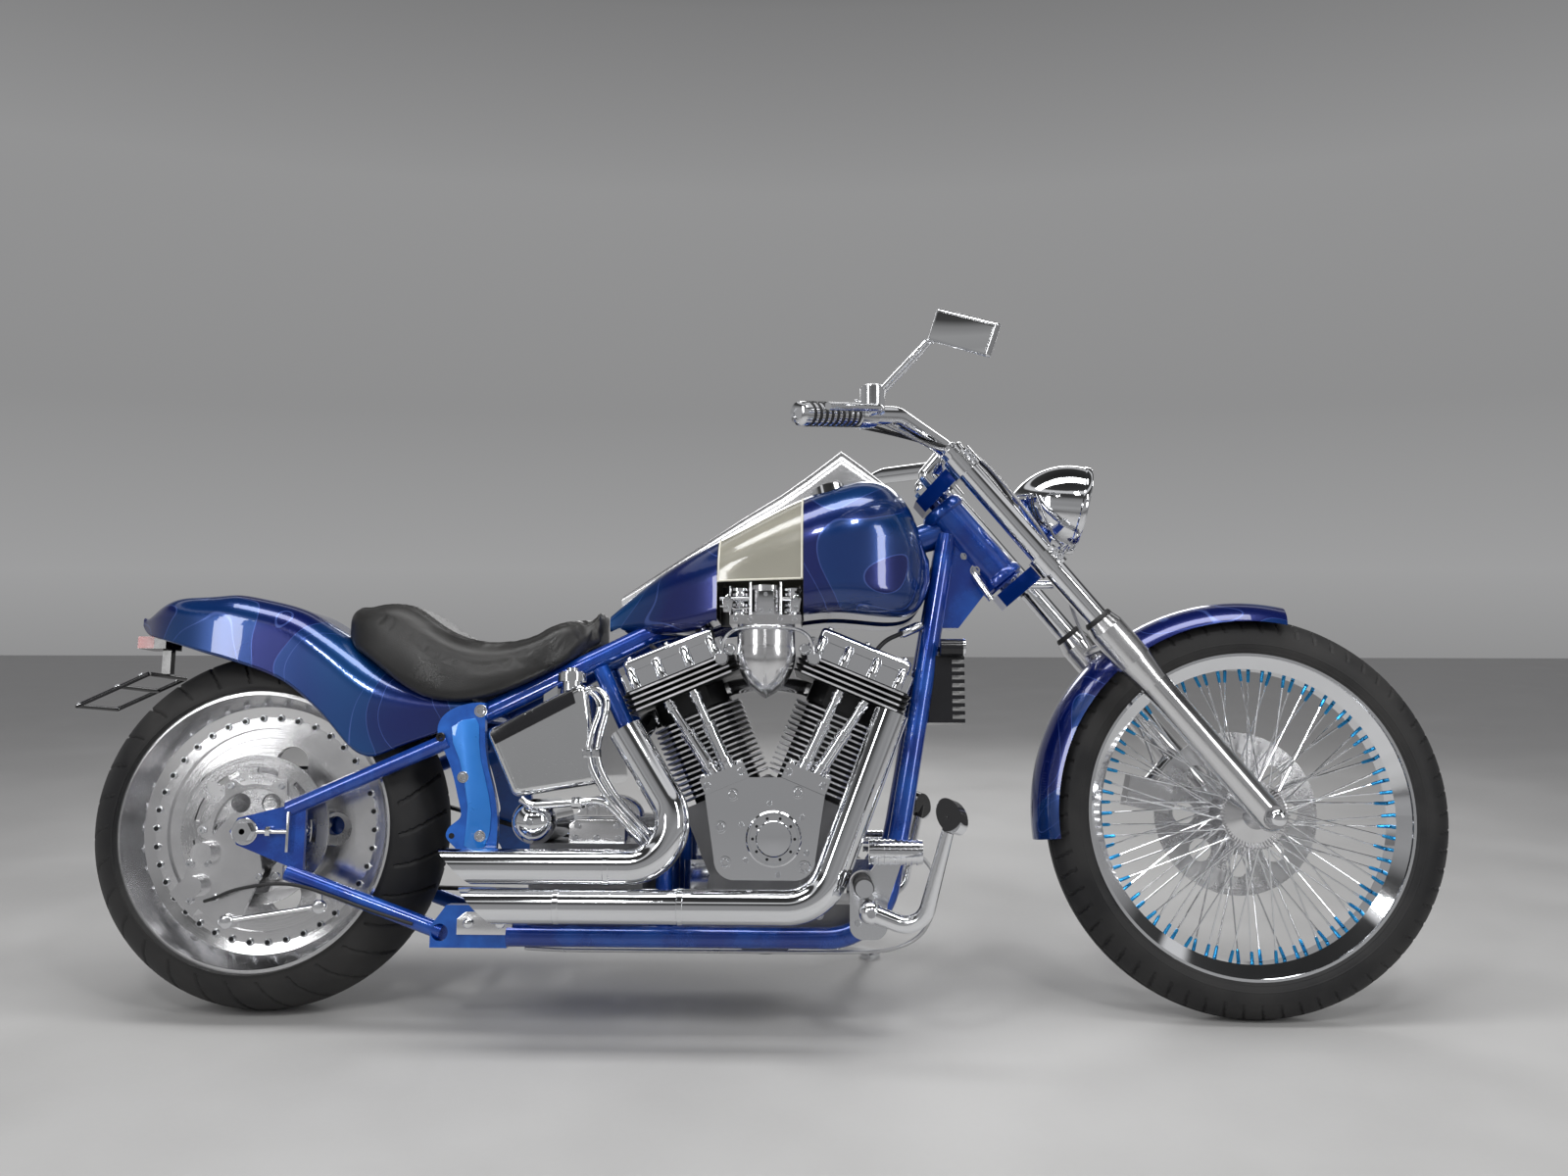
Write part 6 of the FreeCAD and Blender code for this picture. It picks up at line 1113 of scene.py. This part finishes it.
pad_mesh = nodes["seat"].data.copy()
merge(pad_mesh, 1e-5)
seat_pad = bpy.data.objects.new("seat_pad", pad_mesh)
scene.collection.objects.link(seat_pad)
net = seat_pad.modifiers.new("Net", "REMESH")
net.mode = "VOXEL"
net.voxel_size = 0.005
apply(seat_pad, net)
shape = bmesh.new()
shape.from_mesh(seat_pad.data)
for turn in range(4):
    bmesh.ops.smooth_vert(
        shape, verts=shape.verts, factor=0.5, use_axis_x=True, use_axis_y=True, use_axis_z=True
    )
shape.normal_update()
up = BIKE.to_3x3() @ Vector(UP)
base_points = [corner.index for corner in shape.verts if corner.normal.dot(up) < -0.1]
shape.to_mesh(seat_pad.data)
shape.free()
resting = seat_pad.vertex_groups.new(name="base")
resting.add(base_points, 1.0, "REPLACE")
rest = [corner.co.copy() for corner in seat_pad.data.vertices]
cloth = seat_pad.modifiers.new("Cover", "CLOTH")
cloth.settings.quality = 5
cloth.settings.tension_stiffness = 20
cloth.settings.compression_stiffness = 20
cloth.settings.bending_stiffness = 0.8
cloth.settings.use_pressure = True
cloth.settings.uniform_pressure_force = 4
cloth.settings.vertex_group_mass = "base"
cloth.settings.effector_weights.gravity = 0
for step in range(1, COVER_STEPS + 1):
    scene.frame_set(step)
swollen = baked(seat_pad)
seat_pad.modifiers.remove(cloth)
scene.frame_set(1)
for corner, grown, was in zip(seat_pad.data.vertices, swollen.vertices, rest):
    push = grown.co - was
    corner.co = was + push * min(1.0, MOST_SWELL / max(push.length, 1e-9))
seat_pad.vertex_groups.clear()
finer = seat_pad.modifiers.new("Finer", "SUBSURF")
finer.levels = finer.render_levels = 1
apply(seat_pad, finer)
to_bike = BIKE.inverted()
shape = bmesh.new()
shape.from_mesh(seat_pad.data)
shape.normal_update()
for corner in shape.verts:
    x, y, z = to_bike @ corner.co * 1000
    facing = corner.normal.dot(up)
    if facing < 0.15:
        continue
    off_seam = abs(y) - seam_y(x)
    gathered = held(-off_seam / 14) * (held((x - 150) / 40) * held((575 - x) / 60))
    along = x + 0.9 * max(0.0, 716 - z) * (1 if x < 400 else -1)
    pleat = PLEAT_RISE * (abs(math.sin(math.pi * along / PLEAT_PITCH)) ** 0.6 - 0.6) * gathered
    seam = -SEAM_DEPTH * math.exp(-((off_seam / 2.2) ** 2))
    welt = WELT_RISE * math.exp(-(((off_seam - 5) / 2.6) ** 2))
    corner.co += corner.normal * (pleat + seam + welt) * min(1.0, facing * 2) / 1000
shape.to_mesh(seat_pad.data)
shape.free()
seat_pad.data.materials.clear()
seat_pad.data.materials.append(LEATHER.material)
seat_pad.data.shade_smooth()
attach(seat_pad, "chassis")
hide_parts("seat")
pad_skin = skin_of(seat_pad.data)
stitches = []
for side in (-1, 1):
    for x in range(150, 584, 7):
        spots = []
        for place in (x, x + 2):
            start = BIKE @ (Vector((place, side * (seam_y(place) - 3.4), 900)) / 1000)
            spots.append(pad_skin.ray_cast(start, -up)[0])
        if spots[0] and spots[1]:
            one, two = (to_bike @ spot * 1000 for spot in spots)
            stitches.append((one, (two - one).normalized(), 1.0))
THREAD = plain("seat thread", "leather", (0.05, 0.05, 0.05), (80, 0.5, 0.8), Roughness=0.7)
thread = spun_mesh([(0, -2), (0.7, -1.4), (0.7, 1.4), (0, 2)], 6)
fixed_at("seat_stitches", thread, stitches, THREAD)

# Tail: a small red lamp with a dark housing on the fender's end, over an open wire frame for the
# number plate.


def hex_bolt():
    """A hexagon head of 10 mm across its corners' radius on its washer."""
    washer = spun_mesh([(0, -1), (12.5, -1), (12.5, 1), (12, 1.5), (0, 1.5)], 20)
    head = spun_mesh([(0, 0), (10, 0), (10, 7), (8.6, 8), (0, 8)], 6)
    return joined_mesh([washer, head])


LENS_RED = (0.3, 0.004, 0.004)
TAIL = plain(
    "red lens in dark housing", "red_lens", LENS_RED, (30, 0.08, 0.2), "tail_light",
    Specular_IOR_Level=0.6,
)
tail_x, _, tail_z = TAIL.split(BIKE)
lit = TAIL.both(
    TAIL.math("LESS_THAN", tail_x, -0.232),
    TAIL.math("GREATER_THAN", tail_z, 0.6405),
    TAIL.math("LESS_THAN", tail_z, 0.6625),
)
TAIL.colour(TAIL.mix(lit, (0.01, 0.01, 0.01), LENS_RED))
BLACK.on("plate_frame")
marks = [
    ((-226 - 118 * share, side * 66, 591 - 58 * share), (-0.44, 0, 0.9), 0.5)
    for share in (0.05, 0.4, 0.97) for side in (-1, 1)
]
fixed_at("plate_frame_bolts", hex_bolt(), marks)

# Handlebar: a thick chromed bar on two risers. Its chromed grips have rubber bands let into them,
# and its mirror's glass is set in the back of a slim chromed case.

CHROME.on("handlebar", "grips", "hand_controls", "mirror", "headlight_post")
BAR_OUT, BAR_END = Vector((1114, 222, 1018)), Vector((958, 402, 972))
IN_ALONG = (BAR_OUT - BAR_END).normalized()
GRIP_BAND = [(18.6, 0), (19.9, 0.8), (19.9, 6.2), (18.6, 7), (18.6, 0)]
GRIP_END = [(18.5, 0), (18.5, 2), (14, 5), (9, 6), (9, 4), (0, 4)]
POT_LID = [(0, 0), (18, 0), (18, 3), (16, 4), (0, 4)]
for name, side in SIDES:
    end = Vector((BAR_END.x, side * BAR_END.y, BAR_END.z))
    along = Vector((IN_ALONG.x, side * IN_ALONG.y, IN_ALONG.z))
    marks = [(end + along * far, along, 1.0) for far in range(6, 120, 14)]
    fixed_at(f"grip_bands_{name}", spun_mesh(GRIP_BAND, 28), marks, RUBBER, "steering")
    marks = [(end - along * 6, -along, 1.0)]
    fixed_at(f"grip_end_{name}", spun_mesh(GRIP_END, 28), marks, CHROME, "steering")
    pot = end + along * 148 + along.cross(Vector(UP)).normalized() * -side * 22
    marks = [(pot + Vector((0, 0, 40)), UP, 1.0)]
    fixed_at(f"pot_lid_{name}", spun_mesh(POT_LID, 28), marks, POLISHED, "steering")
    marks = [(pot + Vector((x, 0, 44)), UP, 0.8) for x in (-10, 10)]
    marks += [(end + along * far + Vector((0, 0, 22)), UP, 1.0) for far in (134, 160)]
    fixed_at(f"control_screws_{name}", cap_screw(4, 3), marks, body="steering")
BRAID = plain(
    "braided hose", "steel", (0.5, 0.5, 0.51), (30, 0.25, 0.45, 1400.0, 0.3), Metallic=0.9
)
FRONT_HOSE = [
    (1062, -268, 1008), (1120, -230, 990), (1190, -150, 975), (1259, -86, 994), (1324, -84, 919),
    (1388, -60, 842), (1432, 20, 787), (1464, 92, 710), (1521, 96, 601), (1594, 94, 492),
    (1604, 90, 438),
]
piece("front_brake_hose", hose_mesh(FRONT_HOSE, 3.2), BRAID, "steering")
cables = []
for gap in (0, 7):
    route = [
        (1048, -282 + gap, 992 - gap), (1112, -222 + gap, 988), (1186, -136 + gap, 990),
        (1258, -70 + gap, 996), (1324, -66 + gap, 919), (1363, -46 + gap, 847),
    ]
    cables.append(hose_mesh(route, 2.4))
piece("throttle_cables", joined_mesh(cables), RUBBER, "steering")
MIRROR_HEAD = (
    moved(BIKE, 1160, 1112)
    @ Matrix.Translation((0, -0.330, 0))
    @ Matrix.Rotation(math.radians(-45), 4, "Z")
    @ Matrix.Rotation(math.radians(25), 4, "Y")
)
GLASS = plain("mirror glass", "chrome", (0.9, 0.91, 0.92), (6, 0.0, 0.02), Metallic=1.0)
pane = [(8, 5), (124, 5), (127, 8), (127, 46), (124, 49), (8, 49), (5, 46), (5, 8)]
piece("mirror_glass", slab_mesh(pane, -5.6, -6.6, 0.3), GLASS, "steering", MIRROR_HEAD)

# Headlight: a chromed bullet with a stepped rim that three screws hold, and a fluted lens.

HEADLIGHT = moved(BIKE, 1464, 898) @ Matrix.Rotation(math.radians(103), 4, "Y")
LAMP = plain(
    "turned chrome bullet", "chrome", (0.84, 0.85, 0.87), (8, 0.02, 0.08), "headlight", Metallic=1.0
)
LENS = plain(
    "fluted lens", "clear", (0.93, 0.95, 0.96), (20, 0.01, 0.06), "headlight_lens",
    Transmission_Weight=1.0, IOR=1.45,
)
flutes = LENS.node("ShaderNodeTexWave", Vector=LENS.local(HEADLIGHT), Scale=40, Distortion=0.0)
flutes.bands_direction = "Y"
LENS.bump(flutes.outputs["Fac"], 0.5, 0.002)
rim = [(75.6, 0.4), (79.5, 0.2), (82, -3), (82, -11), (80.2, -13)]
piece("headlight_rim", spun_mesh(rim, 64), LAMP, "steering", HEADLIGHT)
marks = []
for turn in (0.5, 0.5 + 2 * math.pi / 3, 0.5 + 4 * math.pi / 3):
    out = (math.cos(turn), math.sin(turn), 0)
    marks.append(((81.6 * out[0], 81.6 * out[1], -7), out, 1.0))
fixed_at("headlight_screws", cap_screw(3.4, 2.5), marks, SCREW_STEEL, "steering", HEADLIGHT)

# Engine cases: grey sand-cast aluminium with a row of bolts. The cylinders are satin black, with the
# edges of their fins machined bright.

plain(
    "grey cast cases", "cast", (0.2, 0.2, 0.205), (16, 0.35, 0.55, 260.0, 0.2), "crankcase",
    "gearbox", Metallic=0.8,
)
marks = marks_on(["crankcase"], [(x, z, 0.6) for x, z in ((804, 180), (826, 146), (960, 146), (984, 182))])
marks += marks_on(["crankcase"], [(x, z, 0.6) for x, z in ((800, 300), (985, 300), (990, 150))], 1)
fixed_at("case_bolts", hex_bolt(), marks)
HEAD_SEAM = 0.3695
FIN_BLACK = (0.012, 0.012, 0.013)
for name, turn in (("cylinder_rear", REAR_CYLINDER), ("cylinder_front", FRONT_CYLINDER)):
    fins = plain(f"black fins {name}", "black_fins", FIN_BLACK, (20, 0.32, 0.5, 400.0, 0.1), name)
    fin_x, fin_y, fin_z = fins.split(turn)
    far_x, far_y = fins.math("ABSOLUTE", fin_x), fins.math("ABSOLUTE", fin_y)
    corner = fins.math("SUBTRACT", fins.math("ADD", far_x, far_y), 0.0502)
    barrel = fins.math("GREATER_THAN", fins.most(far_x, far_y, corner), 0.0788)
    side_edge = fins.most(
        fins.math("GREATER_THAN", far_x, 0.1018),
        fins.math("LESS_THAN", fin_y, -0.1168),
        fins.math("GREATER_THAN", fin_y, 0.0828),
    )
    bright = fins.most(
        fins.both(barrel, fins.math("LESS_THAN", fin_z, HEAD_SEAM)),
        fins.both(side_edge, fins.math("GREATER_THAN", fin_z, HEAD_SEAM)),
    )
    fins.colour(fins.mix(bright, FIN_BLACK, (0.8, 0.8, 0.82)))
    fins.feed(bright, fins.shader.inputs["Metallic"])

# Rocker boxes and pushrods: chromed castings in two steps on black gaskets, held by screws on arched
# bosses. Below them the telescoping pushrod covers stand on bolted tappet blocks.

CHROME.on("rocker_boxes", "pushrods")
BOSSES = (-74, -26, 26, 74)
GASKET = [(-94.6, 404.4), (94.6, 404.4), (94.6, 406.2), (-94.6, 406.2)]
STEP_SEAM = [(-84.8, 436.1), (84.8, 436.1), (84.8, 437.8), (-84.8, 437.8)]
COLLAR = [(8, -9), (12.5, -8), (12.5, -3), (11.4, -2), (11.4, 2), (13.4, 3), (13.4, 8), (8, 9)]
for name, turn, sign in (("rear", REAR_CYLINDER, 1), ("front", FRONT_CYLINDER, -1)):
    seams = [slab_mesh(GASKET, -116.6, 82.6, 0.2), slab_mesh(STEP_SEAM, -107, 73, 0.2)]
    piece(f"rocker_gaskets_{name}", joined_mesh(seams), BLACK, "chassis", turn)
    bosses = [
        bar_mesh([(x, y, 407), (x, y, 437.5), (x, inner, 439)], [9, 9, 7.5], 20)
        for x in BOSSES for y, inner in ((-116.5, -115.5), (82.5, 81.5))
    ]
    piece(f"rocker_bosses_{name}", joined_mesh(bosses), CHROME, "chassis", turn)
    marks = [((x, y, 438.5), UP, 1.0) for x in BOSSES for y in (-117, 83)]
    marks += [((x, y, 460.2), UP, 0.8) for x in (-70, 0, 70) for y in (-96, 62)]
    fixed_at(f"rocker_screws_{name}", cap_screw(6, 5), marks, turn=turn)
    marks = []
    for spread in (-1, 1):
        foot = Vector((sign * 10 + spread * 12, -112, 206))
        head = Vector((-sign * 10 + spread * 24, -112, 370.3))
        for share, size in ((0.55, 1.0), (0.14, 1.15), (0.9, 0.85)):
            marks.append((foot.lerp(head, share), (head - foot).normalized(), size))
    fixed_at(f"pushrod_collars_{name}", spun_mesh(COLLAR, 20), marks, CHROME, turn=turn)
    marks = [((sign * 10 + x, -132.6, 206), RIGHT, 1.0) for x in (-31, 31)]
    marks += [((sign * 10 + x, -122, 220), UP, 1.0) for x in (-33, 33)]
    fixed_at(f"tappet_bolts_{name}", cap_screw(6, 6), marks, turn=turn)

# Cam cover: a chromed case lid with a raised ring, its screws in small bosses, and a bright round cap
# with a ring of blind holes.

CHROME.on("cam_cover")
CAM = moved(BIKE, 908, 312)
CAM_CORNERS = [(826, 272), (958, 266), (818, 330), (838, 384), (948, 388)]
marks = marks_on(["cam_cover"], [(x, z, 1.0) for x, z in CAM_CORNERS])
fixed_at("cam_cover_bosses", spun_mesh([(0, -2), (11, -2), (10, 3), (0, 3)], 20), marks, CHROME)
fixed_at("cam_cover_screws", cap_screw(7, 8), marks)
CAP_FACE = 164.4
cap_steps = [(47, -0.5), (44, 2), (41, 2), (40, 1), (30, 1), (28, 3.5), (10, 4.5), (0, 4.6)]
piece("cam_cap", spun_mesh(cap_steps, 64, (0, -CAP_FACE, 0), RIGHT), CHROME, "chassis", CAM)
hole = spun_mesh([(0, 0), (2.6, 0), (2.6, 0.5), (0, 0.5)], 10, (35, -CAP_FACE - 0.9, 0), RIGHT)
ring_of("cam_cap_holes", hole, 10, BLACK, "chassis", CAM)
ring_screw = cap_screw(4.5, 3.5, (59, -152.4, 0), RIGHT)
ring_of("cam_ring_screws", ring_screw, 6, SCREW_STEEL, "chassis", CAM, 0.4)

# Intake: a round-bottomed polished manifold with a cast rib down its front, and a thin breather pipe
# that arches over it between two banjo bolts on the heads.

RIB = [(6, 549), (22, 560), (36, 576.5), (44.5, 597), (49, 617), (50.4, 636), (50.4, 668)]
piece("intake_rib", bar_mesh([(892, -125 - out, z) for out, z in RIB], 2.4, 10), POLISHED)
BREATHER = [
    (815, -131, 622), (817, -132, 648), (836, -150, 664), (866, -180, 665), (892, -184, 665),
    (918, -180, 665), (950, -150, 664), (972, -132, 648), (974, -131, 622),
]
piece("breather_pipe", hose_mesh(BREATHER, 3.2, 8), CHROME)
banjo = joined_mesh([
    spun_mesh([(0, -13), (10.5, -13), (12, -10), (12, 0), (10.5, 2), (0, 2)], 24),
    spun_mesh([(0, 2), (8, 2), (8, 7), (0, 7)], 6),
])
fixed_at("breather_banjos", banjo, [((x, -131, 616), RIGHT, 1.0) for x in (815, 974)], CHROME)
fixed_at("head_nuts", hex_bolt(), [((x, -124, 632), RIGHT, 0.8) for x in (830, 958)])

# Exhaust: two chromed pipes with cut ends and dark soot inside, and a clamp band where each header
# meets its pipe.

PIPE_CHROME = plain(
    "chromed pipe", "chrome", (0.82, 0.83, 0.85), (5, 0.02, 0.1), "exhaust_upper", "exhaust_lower",
    Metallic=1.0,
)
for x, z in ((436, 268), (472, 206)):
    soot = spun_mesh([(0, 0), (25.6, 0), (25.6, 2), (0, 2)], 32, (x, -212, z), (-1, 0, 0))
    piece(f"soot_{x}", soot, BLACK)
band = spun_mesh([(28.6, -5), (29.6, -4), (29.6, 4), (28.6, 5), (28.6, -5)], 48)
marks = [((x, -212, z), FORE, 1.0) for x, z in ((640, 268), (760, 206), (560, 206))]
fixed_at("pipe_bands", band, marks, PIPE_CHROME)

# Drive: a long chromed primary case on the left, with its screws round the edge and a domed lid over
# the clutch, the toothed belt behind it, and on the right the gearbox's two polished lids.

CHROME.on("primary_cover", "starter")
plain("belt rubber", "rubber", (0.02, 0.02, 0.021), (30, 0.5, 0.8, 500.0, 0.1), "drive_belt")
marks = []
for x, z, radius, low, high in ((560, 236, 104, 95, 265), (892, 217, 88, -88, 88)):
    for share in range(6):
        turn = math.radians(low + (high - low) * share / 5)
        at = (x + radius * math.cos(turn), 216, z + radius * math.sin(turn))
        marks.append((at, LEFT, 1.0))
for share in (0.25, 0.5, 0.75):
    for one, other in (((560, 340), (892, 305)), ((560, 132), (892, 129))):
        x, z = (a + (b - a) * share for a, b in zip(one, other))
        marks.append(((x, 215.5, z), LEFT, 1.0))
fixed_at("primary_screws", cap_screw(6, 5), marks)
LID = [(56, 221.5), (54, 225), (50, 226), (44, 226), (42, 225), (0, 228)]
for x, z in ((560, 236), (892, 217)):
    lid_at = moved(BIKE, x, z)
    piece(f"primary_lid_{x}", spun_mesh(LID, 64, axis=LEFT), CHROME, "chassis", lid_at)
    lid_screw = cap_screw(5, 4, (49, 225.5, 0), LEFT)
    ring_of(f"primary_lid_screws_{x}", lid_screw, 6, SCREW_STEEL, "chassis", lid_at)
GEAR_LID = [(566, 302), (660, 302), (660, 334), (648, 342), (578, 342), (566, 334)]
dome = [(630 + 54 * math.cos(turn), 346 + 38 * math.sin(turn))
        for turn in [math.pi * share / 12 for share in range(13)]]
lids = [slab_mesh(GEAR_LID, -96, -164, 2), slab_mesh(dome, -96, -152, 3)]
for x in range(592, 669, 19):
    tall = 346 + 38 * math.sin(math.acos((x - 630) / 54)) - 4
    lids.append(slab_mesh([(x - 2, 348), (x + 2, 348), (x + 2, tall), (x - 2, tall)], -150, -156, 0.6))
piece("gearbox_lids", joined_mesh(lids), POLISHED)
LID_SCREWS = ((576, 312), (613, 312), (650, 312), (580, 332), (646, 332))
fixed_at("gearbox_lid_screws", cap_screw(5, 4), [((x, -164, z), RIGHT, 1.0) for x, z in LID_SCREWS])
fixed_at("starter_screw", cap_screw(6, 4), marks_on(["starter"], [(503, 338, 1.0)]))

# Oil tank: a polished steel tank with a black strip along its top edge, a turned cap, and chromed
# pipes that run down its front to the cases.

OIL_TANK = plain(
    "polished tank steel", "chrome", (0.8, 0.81, 0.82), (7, 0.04, 0.16), "oil_tank", Metallic=1.0
)
turned_spots = OIL_TANK.node("ShaderNodeTexVoronoi", Vector=OIL_TANK.place, Scale=160)
spot_height = OIL_TANK.spread(turned_spots.outputs["Distance"], 0.0, 0.22, 1.0, 0.0)
OIL_TANK.bump(spot_height, 0.25, 0.0008)
STRIP = [(428, 486), (566, 557), (572, 536), (438, 466)]
for name, side in SIDES:
    piece(f"oil_tank_strip_{name}", slab_mesh(STRIP, side * 167, side * 170.4), BLACK)
knob = spun_mesh([(0, 0), (20, 0), (20, 3), (10, 5), (10, 9), (8, 10), (0, 10)], 32)
fixed_at("oil_cap_knob", knob, [((560, -140, 588), UP, 1.0)], CHROME)
oil_pipes = []
for gap in (0, 15):
    route = [
        (586, -150, 560), (606, -166 + gap / 3, 566 - gap), (632 - gap, -176, 540 - gap),
        (618 - gap, -178, 490), (610 - gap, -178, 440), (640 - gap, -176, 386),
        (672 - gap, -172, 350), (712 - gap, -160, 306),
    ]
    oil_pipes.append(hose_mesh(route, 5.2))
LOWER_PIPE = [
    (486, -174, 376), (500, -176, 364), (530, -176, 366), (580, -176, 370), (618, -174, 376),
    (644, -172, 358), (676, -166, 318), (690, -156, 300),
]
oil_pipes.append(hose_mesh(LOWER_PIPE, 6.0))
piece("oil_pipes", joined_mesh(oil_pipes), CHROME)
pipe_nut = spun_mesh([(0, -8), (8.6, -8), (9.4, -6), (9.4, 6), (8.6, 8), (0, 8)], 8)
marks = [((580, -176, 370), FORE, 1.0)]
marks += [((x, -178, 452), (-0.1, 0, 1), 0.9) for x in (611, 596)]
fixed_at("oil_pipe_nuts", pipe_nut, marks)

# Foot controls: chromed arms on polished brackets with oval rubber pads, banded pegs, and on the
# right a ribbed brake cylinder with its braided hose along the lower rail.

ARM_CHROME, PAD_BLACK = (0.84, 0.85, 0.87), (0.02, 0.02, 0.021)
FOOT = plain(
    "chrome and pad rubber", "chrome", ARM_CHROME, (8, 0.05, 0.2), "left_controls", "right_controls"
)
pads = FOOT.most(*(FOOT.near(BIKE, (1.192, y, 0.362), 0.033) for y in (-0.318, 0.318)))
FOOT.colour(FOOT.mix(pads, ARM_CHROME, PAD_BLACK))
FOOT.feed(FOOT.math("SUBTRACT", 1.0, pads), FOOT.shader.inputs["Metallic"])
peg_band = spun_mesh([(13.6, -5), (16, -4), (16, 4), (13.6, 5), (13.6, -5)], 24)
cylinder_rib = spun_mesh([(19.5, -2), (21.6, -1.4), (21.6, 1.4), (19.5, 2), (19.5, -2)], 28)
for name, side in SIDES:
    out = (0, side, 0)
    marks = [((1054.7, side * y, 241.7), out, 1.0) for y in range(176, 266, 15)]
    fixed_at(f"peg_bands_{name}", peg_band, marks, RUBBER)
    marks = [((x, side * 162.3, 292), FORE, 1.0) for x in range(1074, 1150, 9)]
    fixed_at(f"cylinder_ribs_{name}", cylinder_rib, marks, CHROME)
    marks = [((1065, side * 281, 205), out, 0.9), ((1047, side * 163, 176), out, 0.7)]
    fixed_at(f"control_bolts_{name}", cap_screw(8, 6), marks)
FOOT_HOSE = [
    (1150, -162, 286), (1168, -162, 272), (1178, -158, 236), (1172, -150, 190), (1150, -140, 150),
    (1100, -132, 128), (1020, -128, 125), (900, -128, 125), (760, -128, 125), (620, -128, 125),
    (540, -128, 125), (490, -128, 128),
]
piece("foot_brake_hose", hose_mesh(FOOT_HOSE, 3.2), BRAID)

# Horn, signals and leads: a finned black horn block and two black bullet signals in front of the down
# tubes, and each head's spark lead with its bright cap.

BLACK.on("horn", "turn_signals")
for name, side in SIDES:
    ring = spun_mesh([(13, 0), (15.8, 1), (15.8, 5), (13, 6), (13, 0)], 28)
    fixed_at(f"signal_ring_{name}", ring, [((1234, side * 78, 640), FORE, 1.0)], CHROME)
LEADS = (
    [(1062, -92, 600), (1080, -96, 630), (1100, -84, 652), (1124, -66, 664), (1150, -48, 676)],
    [(722, -92, 600), (704, -96, 626), (690, -84, 640), (682, -60, 644), (690, -36, 640)],
)
piece("spark_leads", joined_mesh([hose_mesh(lead, 4.0) for lead in LEADS]), RUBBER)
spark_cap = spun_mesh([(0, -22), (7, -22), (9, -18), (9, 14), (7, 22), (0, 22)], 16)
fixed_at("spark_caps", spark_cap, [((1146, -52, 674), (0.9, 0.3, 0.4), 1.0)])

# Side stand: a chromed forged leg with a round foot, which swings on a pin under the left rail.

CHROME.on("side_stand")
